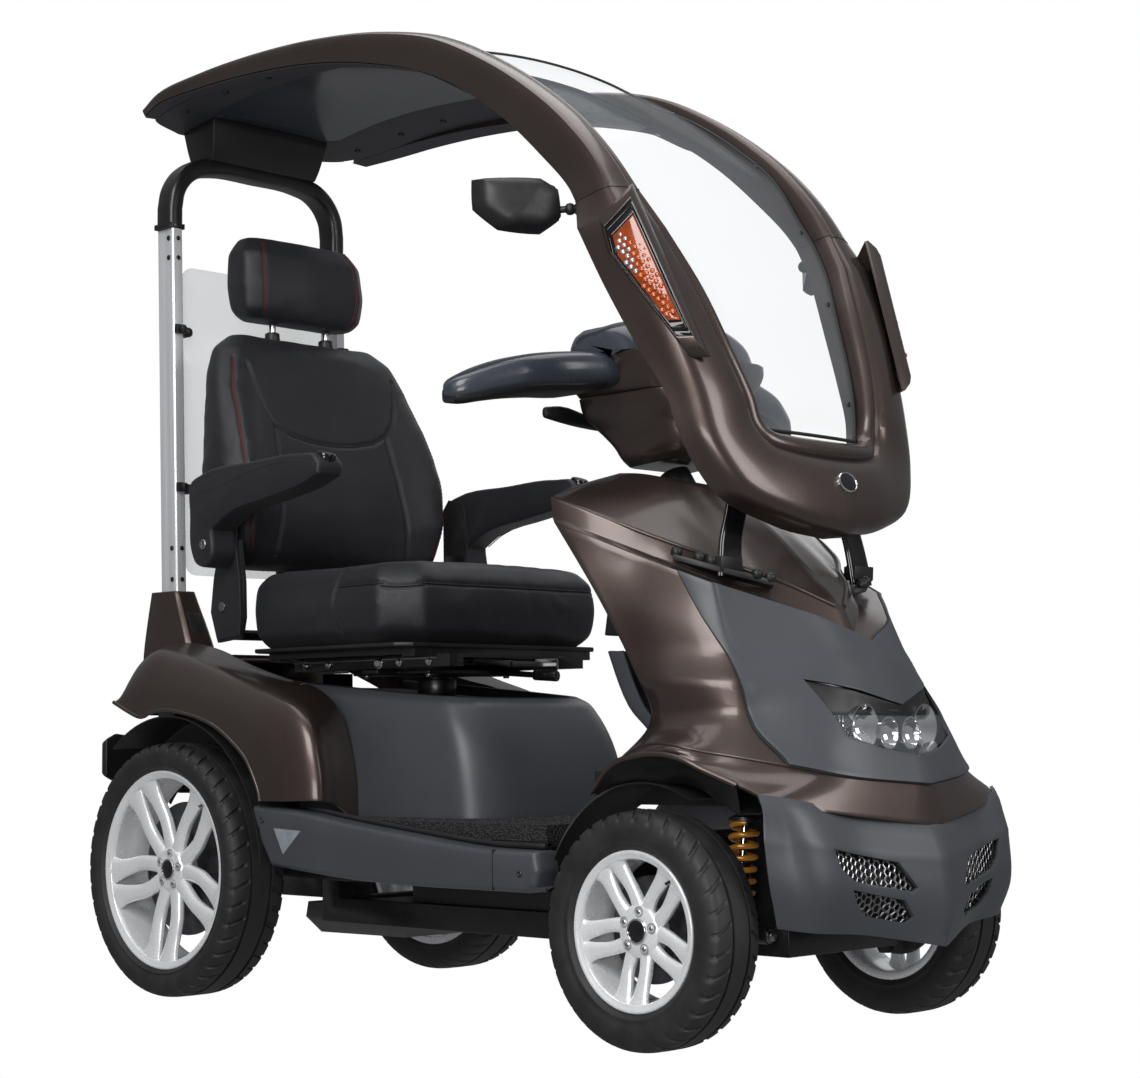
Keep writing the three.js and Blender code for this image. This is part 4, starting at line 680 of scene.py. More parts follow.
def rim(name, node, body, R, lip, Wd, s, cx, cy, cz, lugs):
    h = Wd / 2
    b = R - 0.8
    C = (cx, cy, cz)
    m = M()
    X = (s, 0, 0)
    # barrel with a rolled outer lip
    barrel = [(b, 0.70 * h), (lip - 1.2, 0.715 * h), (lip, 0.74 * h), (lip, 0.80 * h), (lip - 1.0, 0.835 * h), (lip - 3.2, 0.845 * h), (lip - 5.2, 0.83 * h), (b - 3.0, 0.79 * h),
              (b - 6.0, 0.775 * h), (b - 7.5, 0.74 * h), (b - 8.0, 0.6 * h), (b - 11.0, 0.1 * h), (b - 12.0, -0.3 * h), (b - 7.5, -0.74 * h), (b - 6, -0.80 * h), (lip - 4, -0.84 * h), (lip, -0.82 * h), (lip, -0.73 * h), (b, -0.70 * h)]
    m.lathe(barrel, 96, C, X, 0)
    # hub with stepped face
    hub = [(0.0, -0.35 * h), (30, -0.35 * h), (34, 0.25 * h), (37, 0.44 * h), (36, 0.52 * h), (32.5, 0.575 * h), (20, 0.60 * h), (18.2, 0.60 * h), (17.6, 0.57 * h), (0.0, 0.57 * h)]
    m.lathe(hub, 60, C, X, 0, False)
    # five pairs of spokes, each pair one V with its apex at the hub
    for k in range(5):
        th = 2 * pi * k / 5 + pi / 2 + 0.12
        for q in (-1, 1):
            pts = [(24, 0.22, 11.5, 0.50, 11), (36, 0.26, 10.6, 0.53, 11), (0.52 * b, 0.34, 9.6, 0.575, 10.5), (0.70 * b, 0.42, 10.6, 0.63, 9.5), (0.86 * b, 0.465, 13.6, 0.69, 8.5), (b - 5.5, 0.475, 18.5, 0.755, 7.5)]
            if R > 140:
                pts = [(r if i < 2 else r, a, w_ * 1.32, u, d_ * 1.2) for i, (r, a, w_, u, d_) in enumerate(pts)]
            P = np.array([[r, th + q * a, w_, u * h, d_] for r, a, w_, u, d_ in pts])
            P = dense(P.reshape(-1, 1, 5)[:, :, :3], 5).reshape(-1, 3), dense(np.concatenate([P[:, 3:], P[:, :1] * 0], 1).reshape(-1, 1, 3), 5).reshape(-1, 3)
            rings = []
            cen = np.array([[math.cos(a) * r, math.sin(a) * r] for r, a, _ in P[0]])
            tan = np.gradient(cen, axis=0)
            tan /= np.linalg.norm(tan, axis=1, keepdims=True)
            for i in range(len(cen)):
                nx, nz = -tan[i][1], tan[i][0]
                w_ = P[0][i][2]
                u, d_ = P[1][i][0], P[1][i][1]
                # flat face with one raised shoulder and deep chamfers
                sec = [(-1.0, -0.95), (-1.0, -0.35), (-0.62, -0.02), (-0.50, 0.0), (0.10, 0.10), (0.46, 0.0), (0.60, -0.03), (1.0, -0.35), (1.0, -0.95), (0.6, -1.5), (-0.6, -1.5)]
                if q < 0:
                    sec = [(-a_, c_) for a_, c_ in sec[::-1]]
                rings.append([(cx + s * (u + c_ * d_ * 0.95), cy + cen[i][0] + nx * w_ * a_, cz + cen[i][1] + nz * w_ * a_) for a_, c_ in sec])
            m.loft(rings, 0)
    # lug nuts and their pockets
    for k in range(5):
        a = 2 * pi * k / 5 + pi / 2 + 0.12
        p = (cx + s * 0.565 * h, cy + 26.5 * math.cos(a), cz + 26.5 * math.sin(a))
        m.lathe([(4.6, -2), (7.6, -2), (7.6, 1.6), (6.9, 2.1), (5.8, 2.1), (5.2, 1.2), (4.8, -1.0)], 24, p, X, 1)
        m.lathe([(4.1, -2), (4.1, 2.6), (3.5, 3.3), (1.8, 3.6), (0, 3.2)], 6, p, X, 2, False)
    # blank centre cap in a bright ring
    p = (cx + s * 0.575 * h, cy, cz)
    m.lathe([(17.4, -3), (17.4, 3.0), (16.6, 3.8), (15.2, 3.8), (14.6, 3.0), (14.6, -3)], 48, p, X, 2)
    m.lathe([(14.5, -3), (14.5, 2.4), (11, 3.2), (6, 3.7), (0, 3.8)], 48, p, X, 3, False)
    # brake disc seen behind the spokes
    p = (cx - s * 0.10 * h, cy, cz)
    m.lathe([(30, -4), (b * 0.70, -4), (b * 0.70, 2), (30, 2)], 72, p, X, 4)
    # tyre valve
    a = pi / 2 + 0.12 + pi / 5
    q0 = np.array([cx + s * 0.66 * h, cy + (b - 9) * math.cos(a), cz + (b - 9) * math.sin(a)])
    m.tube([q0, q0 + np.array([s * 7, -6 * math.cos(a), -6 * math.sin(a)])], 2.1, 10, 3)
    return make(name, m, [MAT["alloy"], MAT["alloy_dark"], MAT["chrome"], MAT["black_gloss"], MAT["steel_dark"]], body, node, bevel=0.5, seg=1, angle=35, sharp=34)


MAT["steel_dark"] = basic("brake_steel", (0.10, 0.10, 0.105), 0.42, 0.9, 0.2, 60.0, 0.08)
for side, s, q in (("right", -1, "r"), ("left", 1, "l")):
    tyre("tyre_front_" + side, "front_tyre_" + side, "wheel_f" + q, 163, 94, 106, s, s * 284, -1048, 163, 34, 0.16)
    rim("wheel_front_" + side, "front_rim_" + side, "wheel_f" + q, 106, 110, 94, s, s * 284, -1048, 163, 5)
    tyre("tyre_rear_" + side, "rear_tyre_" + side, "wheel_r" + q, 211, 112, 160, s, s * 300, 0, 211, 44, 0.12)
    rim("wheel_rear_" + side, "rear_rim_" + side, "wheel_r" + q, 160, 165, 112, s, s * 300, 0, 211, 5)

# ------------------------------------------------------------------ running gear
for side, s, q in (("right", -1, "r"), ("left", 1, "l")):
    dress("front_arm_" + side, MAT["powder"], 1.2)
    dress("knuckle_" + side, MAT["powder"], 1.2)
    FY = -1048
    # coil over a damper
    m = M()
    a, b = np.array([s * 176, FY - 62, 152.4]), np.array([s * 152, FY - 62, 333.6])
    ax = (b - a) / np.linalg.norm(b - a)
    L = np.linalg.norm(b - a)
    m.lathe([(0, 0), (8, 0), (8, 18), (13, 20), (13, L * 0.52), (11, L * 0.54), (0, L * 0.54)], 28, a, ax, 1, False)
    m.lathe([(0, L * 0.5), (5, L * 0.5), (5, L * 0.86), (0, L * 0.86)], 20, a, ax, 2, False)
    m.lathe([(9, L * 0.13), (23, L * 0.13), (23, L * 0.155), (9, L * 0.155)], 32, a, ax, 1)
    m.lathe([(0, L * 0.85), (23, L * 0.85), (23, L * 0.875), (14, L * 0.90), (9, L * 0.93), (9, L), (0, L)], 32, a, ax, 1, False)
    u = np.array(Vector(ax).orthogonal().normalized())
    w = np.cross(ax, u)
    turns = 7.5
    pts = [a + ax * L * (0.165 + 0.675 * t) + (u * math.cos(2 * pi * turns * t) + w * math.sin(2 * pi * turns * t)) * 18.2 for t in np.linspace(0, 1, 220)]
    m.tube(pts, 4.1, 10, 0)
    o = make("coil_front_" + side, m, [MAT["orange"], MAT["powder"], MAT["chrome"]], "chassis", "front_spring_" + side, sharp=40)
    tuple(W(b))
    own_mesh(o)
    m = M()
    a, b = np.array([s * 202, 79, 225.0]), np.array([s * 202, 79, 351.8])
    ax = (b - a) / np.linalg.norm(b - a)
    L = np.linalg.norm(b - a)
    m.lathe([(0, 0), (8, 0), (8, 12), (12, 14), (12, L * 0.52), (0, L * 0.54)], 28, a, ax, 1, False)
    m.lathe([(0, L * 0.5), (5, L * 0.5), (5, L * 0.88), (0, L * 0.88)], 20, a, ax, 2, False)
    m.lathe([(9, L * 0.13), (22, L * 0.13), (22, L * 0.155), (9, L * 0.155)], 32, a, ax, 1)
    m.lathe([(0, L * 0.85), (22, L * 0.85), (22, L * 0.88), (9, L * 0.94), (9, L), (0, L)], 32, a, ax, 1, False)
    u = np.array(Vector(ax).orthogonal().normalized())
    w = np.cross(ax, u)
    pts = [a + ax * L * (0.17 + 0.665 * t) + (u * math.cos(2 * pi * 5.5 * t) + w * math.sin(2 * pi * 5.5 * t)) * 17.6 for t in np.linspace(0, 1, 160)]
    m.tube(pts, 4.0, 10, 0)
    o = make("coil_rear_" + side, m, [MAT["orange"], MAT["powder"], MAT["chrome"]], "chassis", "rear_spring_" + side, sharp=40)
    tuple(W(b))
    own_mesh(o)
    # ball joints, castle nuts and the track rod end on the steering arm
    m = M()
    m.lathe([(0, 0), (6, 0), (9, 3), (9.5, 9), (7, 14), (4.5, 15), (4.5, 20), (0, 20)], 24, (s * 203, FY + 50, 178), (0, 0, 1), 0, False)
    m.bolt((s * 203, FY + 50, 197.5), (0, 0, 1), 6.5, 6, 0)
    m.bolt((s * 245, FY, 216), (0, 0, 1), 9, 8, 0)
    m.lathe([(0, 0), (10.5, 0), (12.5, 4), (12.5, 10), (9, 14), (0, 14)], 24, (s * 245, FY, 96), (0, 0, 1), 1, False)
    make("hub_fittings_" + side, m, [MAT["chrome"], MAT["rubber"]], "hub_" + q, bevel=0.3, seg=1)
    m = M()
    m.tube([(s * 150, FY + 50, 186), (s * 198, FY + 50, 186)], 5.5, 14, 0)
    m.lathe([(5, 0), (9, 1), (9, 14), (5, 15)], 6, (s * 160, FY + 50, 186), (s, 0, 0), 1)
    m.lathe([(5, 0), (8, 1), (8, 22), (5, 23)], 20, (s * 132, FY + 50, 186), (s, 0, 0), 2)
    make("track_rod_" + side, m, [MAT["chrome"], MAT["steel"], MAT["rubber"]], "hub_" + q, bevel=0.3, seg=1)
    # lower arm pivot bolts
    m = M()
    for dy in (-93, 93):
        m.bolt((s * 142, FY + dy, 150), (0, np.sign(dy), 0), 8, 7, 0)
    make("arm_bolts_" + side, m, [MAT["steel"]], "susp_" + q, bevel=0.3, seg=1)

dress("rear_axle", MAT["powder"], 2.0)
dress("chassis_frame", MAT["powder"], 2.5)
dress("battery_pack", MAT["battery"], 3.0)
dress("steering_column", MAT["powder"], 0.8)

# ------------------------------------------------------------------ floor
m = M()
m.box(-291.5, 291.5, -857, -361, 270.4, 276.6)
m.box(-291.5, -283, -857, -361, 206, 276)
m.box(283, 291.5, -857, -361, 206, 276)
m.box(-119, -97, -839, -373, 161, 276)
m.box(97, 119, -839, -373, 161, 276)
make("floor_tray", m, [MAT["black"]], "chassis", "floor_deck", bevel=0.8, fix=False)
# the mat: a grid of coarse granules
o2 = [[-291, -855], [291, -855], [291, -362], [201, -362], [201, -560], [161, -606], [81, -625], [-81, -625], [-161, -606], [-201, -560], [-201, -362], [-291, -362]]


def inside(x, y, poly):
    c = False
    j = len(poly) - 1
    for i in range(len(poly)):
        if (poly[i][1] > y) != (poly[j][1] > y) and x < (poly[j][0] - poly[i][0]) * (y - poly[i][1]) / (poly[j][1] - poly[i][1]) + poly[i][0]:
            c = not c
        j = i
    return c


m = M()
m.prism(o2, 2, 277.6, 301.2)
gx, gy = np.arange(-289, 290, 3.4), np.arange(-853, -362, 3.4)
cells = [(x_, y_) for x_ in gx for y_ in gy if inside(x_, y_, o2)]
for x_, y_ in cells:
    if rng.random() < 0.16:
        continue
    x1, y1 = x_ + rng.uniform(-0.9, 0.9), y_ + rng.uniform(-0.9, 0.9)
    if not inside(x1 * 1.006, y1 - 1.5, o2) or not inside(x1 * 1.006, y1 + 1.5, o2):
        continue
    r1, hh, a = rng.uniform(1.1, 2.0), rng.uniform(0.7, 1.7), rng.uniform(0, 6.28)
    base = [(x1 + r1 * math.cos(a + i * 2 * pi / 4), y1 + r1 * math.sin(a + i * 2 * pi / 4), 300.9) for i in range(4)]
    m.add(base + [(x1 + rng.uniform(-0.4, 0.4), y1 + rng.uniform(-0.4, 0.4), 301.2 + hh)], [(0, 1, 4), (1, 2, 4), (2, 3, 4), (3, 0, 4), (3, 2, 1, 0)])
make("floor_mat_pebbled", m, [MAT["mat"]], "chassis", "floor_mat", fix=False)

SILL = [[-229, 321], [-250, 262], [-276, 226], [-473, 211], [-855, 207], [-874, 216], [-882, 240], [-876, 266], [-763, 268], [-600, 283], [-425, 302], [-330, 314]]
SILL_IN = SILL
for side, s in (("right", -1), ("left", 1)):
    m = M()
    P = np.array([[0, y, z] for y, z in SILL], float)
    Pd = dense(P, 4, {0, 1, 2, 4, 5, 6, 7}, True)
    cen = Pd.mean(0)
    layers = [(293.4, 0), (327, 0), (332.5, 1.6), (335.8, 5.0), (337.2, 9.5)]
    # simple inward scaling towards the outline's own middle line keeps the corners crisp
    rings = []
    for x_, inset in layers:
        ring = []
        for p in Pd:
            mid_z = np.interp(p[1], [-882, -600, -230], [238, 246, 292])
            ring.append((s * x_, p[1] + np.clip((-560 - p[1]) * 0.02, -1, 1) * inset, p[2] + np.sign(mid_z - p[2]) * inset * (0.9 if abs(p[2] - mid_z) > 8 else 0.3)))
        rings.append(ring)
    m.loft(rings, 0)
    # dark channel between sill and mat
    m.tube([(s * 299, -862, 271), (s * 299, -763, 272.5), (s * 299, -600, 286.5), (s * 299, -425, 305.5), (s * 299, -330, 317.5)], 4.2, 10, 1, k=4)
    make("sill_" + side + "_moulding", m, [MAT["grey"], MAT["black"]], "chassis", "sill_" + side, bevel=1.2, angle=40, sharp=34)
    m = M()
    tri = [(-288, 286), (-356, 283), (-312, 245)]
    m.prism([(y, z) for y, z in tri], 0, s * 335.5, s * 338.2, 0)
    make("side_reflector_" + side, m, [MAT["reflector"]], "chassis", bevel=1.0)
    m = M()
    tri2 = [(-280, 291), (-367, 287), (-311, 237)]
    m.prism([(y, z) for y, z in tri2], 0, s * 334.0, s * 336.9, 0)
    make("reflector_frame_" + side, m, [MAT["grey"]], "chassis", bevel=1.0)
    m = M()
    m.bolt((s * 336.6, -258, 298), (s, 0, 0), 5, 2.4, 0, "cap")
    m.bolt((s * 336.6, -846, 234), (s, 0, 0), 5, 2.4, 0, "cap")
    m.prism([(-792, 266.6), (-789.6, 266.8), (-789.6, 209.5), (-792, 209.5)], 0, s * 331, s * 337.35, 1)
    make("sill_screws_" + side, m, [MAT["steel_dark"], MAT["black"]], "chassis", bevel=0.2, seg=1)

# ------------------------------------------------------------------ body panels
SHIELD = [
    [[-100, -826, 824], [-97, -868, 820], [-84, -905, 812], [-48, -932, 805], [0, -940, 801]],
    [[-204, -836, 797], [-166, -928, 774], [-122, -990, 750], [-70, -1030, 731], [0, -1052, 718]],
    [[-270, -848, 774], [-230, -980, 719], [-178, -1058, 684], [-102, -1124, 648], [0, -1170, 602]],
    [[-272, -854, 742], [-238, -988, 691], [-190, -1072, 652], [-112, -1142, 614], [0, -1186, 566]],
    [[-273, -858, 735], [-248, -1000, 682], [-216, -1106, 640], [-136, -1182, 604], [0, -1214, 556]],
    [[-270, -945, 619], [-258, -1030, 600], [-222, -1128, 574], [-136, -1204, 548], [0, -1240, 514]],
    [[-263, -1002, 523], [-262, -1070, 514], [-228, -1160, 500], [-138, -1230, 482], [0, -1264, 465]],
    [[-258, -1030, 446], [-285, -1096, 448], [-262, -1184, 440], [-150, -1252, 424], [0, -1290, 412]],
    [[-300, -1000, 388], [-324, -1092, 416], [-312, -1186, 404], [-170, -1270, 372], [0, -1310, 357]],
    [[-306, -962, 350], [-336, -1050, 396], [-336, -1168, 394], [-300, -1256, 340], [0, -1322, 300]],
]
SEAM = [0.5, 0.5, 0.5, 0.5, 0.12, 0.16, 0.26, 0.34, 0.62, 0.6]
MIRX = np.array([-1, 1, 1])


def both(rows):
    rows = np.asarray(rows, float)
    return np.concatenate([rows, rows[:, :-1][:, ::-1] * MIRX], axis=1)


SG = np.array([[r[0], r[1], r[2], [a + (b - a) * SEAM[i] for a, b in zip(r[2], r[3])], r[3], r[4]] for i, r in enumerate(SHIELD)], float)
C_IN = (0, -960, 520)


def off(G, d, towards=C_IN):
    """A dense grid moved away from a point by d."""
    n = normals(G)
    s = np.sign(np.sum(n * (G - np.asarray(towards, float)), axis=2, keepdims=True))
    return G + n * s * d


# upper cowl: from the column opening out to the folded edge
KV = 7
cowl = both(SG[0:3])
cowl = dense2(cowl, 8, KV, {}, {5})
full = dense2(both(SG), 8, KV, {2, 3, 4}, {5})
up_n = 2 * 8
top = full[: up_n + 1]
band = full[up_n: 4 * 8 + 1]
low = full[4 * 8:]
nr, nc = low.shape[:2]
# fender edge: a rolled lip along the last row and the rear edge
headcut = cutter(M().prism([(-156, 503), (-76, 487), (0, 468), (76, 487), (156, 503), (128, 424), (72, 408), (0, 396), (-72, 408), (-128, 424)], 1, -1340, -1140))
m = M()
m.shell(top, 3.6, 0, C_IN)
o = make("cowl_top", m, [MAT["paint"]], "chassis", "leg_shield", bevel=1.2, angle=50, sharp=30)
m = M()
bandg = off(band, 1.2)
m.shell(bandg, 4.2, 0, C_IN)
make("cowl_band", m, [MAT["paint"]], "chassis", bevel=1.4, angle=40, sharp=30)
m = M()
m.shell(low, 3.6, 0, C_IN)
make("leg_shield_moulding", m, [MAT["paint"]], "chassis", bevel=1.3, angle=50, sharp=30, cuts=[headcut])

# raised rail along each side of the cowl, and the arch over the wheel
for s in (-1, 1):
    i0 = 2 * 8
    edge = full[i0, :, :]
    half = edge[: 5 * KV + 1] if s < 0 else edge[5 * KV:][::-1]
    m = M()
    p = half[2: int(len(half) * 0.98)]
    m.tube(p + np.array([0, 0, 1.2]), 3.4, 10, 0, rs=np.clip(np.linspace(0, 1, len(p)) * 20, 0.6, 3.4))
    make("cowl_rim_" + ("right" if s < 0 else "left"), m, [MAT["paint"]], "chassis")
    # lip over the front wheel: from the rear foot, over the arch, to the bumper
    arch = []
    lowG = low if s < 0 else low[:, ::-1]
    last = lowG[-1, : 3 * KV + 1]
    rear = lowG[int(nr * 0.80):, 0]
    path = np.concatenate([rear[:-1], last])
    m = M()
    m.tube(path + np.array([s * 1.0, 0, -1.0]), 4.6, 12, 0, flat=0.8)
    make("arch_lip_" + ("right" if s < 0 else "left"), m, [MAT["paint"]], "chassis")
    # flare line above the lip
    rowi = int(nr * 0.80)
    fl = lowG[rowi, 0: 4 * KV]
    m = M()
    m.tube(off(lowG[rowi - 1: rowi + 2, 0: 4 * KV], 0.2)[1], 2.2, 10, 0, rs=np.concatenate([np.linspace(0.5, 2.4, 8), np.full(max(1, 4 * KV - 16), 2.4), np.linspace(2.4, 0.4, 8)]))
    make("arch_crease_" + ("right" if s < 0 else "left"), m, [MAT["paint"]], "chassis")

# grey nose panel set on the shield
nose = []
for i in range(4 * 8, 8 * 8 + 1):
    t_ = (i - 32) / 32
    c0 = 3 * KV - KV * np.interp(t_, [0, 0.2, 0.45, 0.72, 1.0], [1.5, 1.26, 0.86, 0.40, 0.05])
    cs = np.linspace(c0, 10 * KV - c0, 4 * KV + 9)
    k0 = np.floor(cs).astype(int)
    fr = (cs - k0)[:, None]
    nose.append(full[i, k0] * (1 - fr) + full[i, np.minimum(k0 + 1, 10 * KV)] * fr)
nose = np.array(nose)
no = off(nose, 5.6)
m = M()
m.shell(no, 4.4, 0, C_IN)
make("nose_moulding", m, [MAT["grey"]], "chassis", "nose_panel", bevel=1.8, seg=3, angle=30, sharp=34, cuts=[headcut])
# dark joint round the panel
m = M()
ring = np.concatenate([no[0], no[1:, -1], no[-1, ::-1][1:], no[::-1, 0][1:-1]])
m.tube(off(nose, 1.2)[0][:, :], 1.6, 8, 0)
m.tube(off(nose, 1.2)[:, 0], 1.6, 8, 0)
m.tube(off(nose, 1.2)[:, -1], 1.6, 8, 0)
m.tube(off(nose, 1.2)[-1], 1.6, 8, 0)
make("nose_joint", m, [MAT["rubber"]], "chassis")

# headlamp: black brow, housing, chrome bowls, clear cover
m = M()
outl = [(-156, 503), (-76, 487), (0, 468), (76, 487), (156, 503), (128, 424), (72, 408), (0, 396), (-72, 408), (-128, 424)]


def nose_y(x, z):
    """Front surface of the nose panel at x, z (nearest grid point, blended)."""
    d = (no[..., 0] - x) ** 2 + (no[..., 2] - z) ** 2
    idx = np.argsort(d, axis=None)[:4]
    w = 1 / (d.reshape(-1)[idx] + 1)
    return float((no[..., 1].reshape(-1)[idx] * w).sum() / w.sum())


def ring_on(scale, depth, dz=0.0):
    cx_, cz_ = 0.0, 448.0
    return [(cx_ + (x - cx_) * scale, nose_y(x, z) + depth, cz_ + (z - cz_) * scale + dz) for x, z in outl]


wall = np.array([ring_on(0.992, 3.0), ring_on(0.985, 12), ring_on(0.94, 40), ring_on(0.90, 52)])
v = wall.reshape(-1, 3)
f = grid_faces(4, len(outl), True)
f.append(tuple(3 * len(outl) + i for i in range(len(outl))))
m.add(v, f, 0)
n0 = m.n
make("lamp_housing", m, [MAT["black_gloss"]], "chassis", fix=True, sharp=25)
m = M()
for s in (-1, 1):
    for x_, z_, r_ in ((s * 74, 437, 30), (s * 26, 428, 21)):
        y_ = nose_y(x_, z_) + 36
        m.lathe([(0, 0), (6, 0.6), (12, 3), (18, 8), (r_, 16 * r_ / 26 + 2), (r_ + 2.0, 16 * r_ / 26 + 2), (r_ - 2, -4), (0, -4)], 40, (x_, y_, z_), (0, -1, 0), 0, False)
        m.lathe([(0, 0), (4, 0), (5, 4), (5, 12), (3.4, 15), (0, 16)], 20, (x_, y_, z_), (0, -1, 0), 1, False)
    # reflector fins
    for i in range(5):
        x_ = s * (104 + i * 6)
        y_ = nose_y(x_, 446) + 30
        m.box(min(x_, x_ + s * 1.6), max(x_, x_ + s * 1.6), y_ - 8, y_ + 6, 430 + i * 3, 462, 0)
make("lamp_reflectors", m, [MAT["chrome"], MAT["lens"]], "chassis", fix=False)
m = M()
gl = []
for t in np.linspace(0, 1, 9):
    row = []
    for u in np.linspace(-1, 1, 25):
        zt = 452 + 2 * abs(u)  # top edge of the clear part
        zb = 397 + 26 * abs(u) ** 1.1
        x_ = u * (138 - 10 * t)
        z_ = zt + (zb - zt) * t
        row.append((x_, nose_y(x_, z_) + 5 - 3.0 * math.sin(pi * t), z_))
    gl.append(row)
m.shell(np.array(gl), 2.2, 0, C_IN)
make("lamp_cover", m, [MAT["lens"]], "chassis", "headlight", fix=False, sharp=30)
m = M()
bro = []
for t in np.linspace(0, 1, 7):
    row = []
    for u in np.linspace(-1, 1, 25):
        zt = 468 + 34 * abs(u) ** 1.05
        zb = 452 + 2 * abs(u)
        x_ = u * (154 - 15 * t)
        row.append((x_, nose_y(x_, zt + (zb - zt) * t) + 4 + 11 * t, zt + (zb - zt) * t))
    bro.append(row)
m.shell(np.array(bro), 3, 0, C_IN)
make("lamp_brow", m, [MAT["black"]], "chassis", bevel=0.8, fix=False, sharp=30)

# inner wheel arches (dark liners) behind the shield
for s in (-1, 1):
    m = M()
    G = []
    for a in np.linspace(math.radians(-8), math.radians(118), 24):
        G.append([(s * x_, -1052 + 196 * math.cos(a), 163 + (196 + d_) * math.sin(a)) for x_, d_ in ((200, -4), (206, 2), (250, 6), (296, 6), (302, 4))])
    G = np.array(G)
    G[..., 2] = np.minimum(G[..., 2], 372)
    keep = G[(G[:, 2, 2] > 205)]
    m.shell(keep, 2.5, 0, (s * 250, -1052, 163))
    make("arch_liner_" + ("right" if s < 0 else "left"), m, [MAT["black"]], "chassis", fix=False, sharp=50)
    lowG = low if s < 0 else low[:, ::-1]
    lipp = np.concatenate([lowG[int(nr * 0.84):, 0][:-1], lowG[-1, : 3 * KV + 1]])
    SK = []
    for p in lipp:
        zl = 163 + math.sqrt(max(203.0 ** 2 - min(abs(p[1] + 1052), 200.0) ** 2, 0))
        zl = min(374, max(zl, min(p[2], 300)))
        q_ = np.array([s * min(abs(p[0]) - 12, 300), p[1] + (3 if p[1] < -1200 else 0), max(zl, p[2] - 40)])
        r_ = np.array([s * 196, q_[1], q_[2] + 2])
        SK.append([p + np.array([0, 0, -1.5]), (p + q_) / 2 + np.array([0, 0, 1.0]), q_, (q_ + r_) / 2, r_])
    m = M()
    m.shell(np.array(SK), 2.2, 0, (s * 250, -1052, 100))
    m.box(min(s * 196, s * 198.5), max(s * 196, s * 198.5), -1246, -862, 329, 376)
    make("arch_liner_skirt_" + ("right" if s < 0 else "left"), m, [MAT["black"]], "chassis", fix=False, sharp=50)

# knee panel
LV = [[286, -878, 138], [330, -925, 138], [356, -945, 142], [372, -954, 176], [412, -958, 180], [470, -906, 182], [567, -860, 184], [612, -868, 184], [700, -850, 178], [790, -815, 96]]


def knee(z0, z1, mi, m, d=0.0):
    A = dense(np.array([[[z, y, w_]] for z, y, w_ in LV], float), 6, {2, 3, 6, 7}).reshape(-1, 3)
    A = A[(A[:, 0] >= z0) & (A[:, 0] <= z1)]
    G = []
    for z, y, w_ in A:
        c = 16
        row = [(-w_, y - 39), (-w_, y - c), (-w_ + c * 0.3, y - c * 0.3), (-w_ + c, y), (-w_ * 0.5, y + d), (0, y + d * 1.4), (w_ * 0.5, y + d), (w_ - c, y), (w_ - c * 0.3, y - c * 0.3), (w_, y - c), (w_, y - 39)]
        G.append([(x_, y_, z) for x_, y_ in row])
    m.shell(np.array(G), 3.5, mi, (0, -1000, 500))


m = M()
knee(286, 566, 0, m)
make("knee_panel_lower", m, [MAT["grey"]], "chassis", "knee_panel", bevel=1.5, angle=40, sharp=34)
m = M()
knee(570, 790, 0, m, 2.0)
make("knee_panel_upper", m, [MAT["black"]], "chassis", bevel=1.5, angle=40, sharp=34)
m = M()
# lid outline and latch on the knee panel
m.tube([(-70, -861, 610), (-78, -857, 640), (-74, -851, 694), (-60, -847, 706), (60, -847, 706), (74, -851, 694), (78, -857, 640), (70, -861, 610)], 1.6, 8, 0, k=5, closed=True)
m.lathe([(0, 0), (11, 0), (11, 3), (9, 4.5), (0, 4.5)], 24, (0, -854, 684), (0, 1, 0.1), 0, False)
m.lathe([(0, 0), (3, 0), (3, 6), (0, 6)], 12, (0, -854, 684), (0, 1, 0.1), 1, False)
make("knee_lid_trim", m, [MAT["black_gloss"], MAT["steel"]], "chassis")

# front bumper with grilles
BR = [
    [[-322, -1248, 334], [-296, -1268, 330], [-150, -1292, 308], [0, -1328, 292]],
    [[-324, -1250, 290], [-298, -1278, 288], [-152, -1306, 272], [0, -1340, 258]],
    [[-312, -1250, 220], [-290, -1282, 216], [-150, -1310, 206], [0, -1344, 190]],
    [[-292, -1246, 172], [-272, -1272, 168], [-140, -1292, 158], [0, -1334, 137]],
]
BG = dense2(both(BR), 8, 9, {1}, {3})
BG[0, :, 2] += 15
BG[0, :, 1] += 9
BG[1, :, 2] += 5
BG[1, :, 1] += 2
gr = []
g1 = [(-226, 276), (-92, 254), (-60, 219), (-70, 214), (-186, 232), (-214, 250)]
g2 = [(-190, 221), (-84, 203), (-64, 180), (-74, 172), (-150, 184), (-176, 199)]
cuts = []
for poly in (g1, g2):
    for s in (1, -1):
        P_ = [(x_ * s, z_) for x_, z_ in poly]
        cuts.append(cutter(M().prism(P_ if s > 0 else P_[::-1], 1, -1360, -1240)))
m = M()
m.shell(BG, 5.0, 0, (0, -1100, 250))
make("front_bumper_moulding", m, [MAT["grey"]], "chassis", "front_bumper", bevel=2.0, seg=3, angle=34, sharp=34, cuts=cuts)


def bump_y(x, z, G=BG):
    d = (G[..., 0] - x) ** 2 + (G[..., 2] - z) ** 2
    idx = np.argsort(d, axis=None)[:4]
    w = 1 / (d.reshape(-1)[idx] + 1)
    return float((G[..., 1].reshape(-1)[idx] * w).sum() / w.sum())


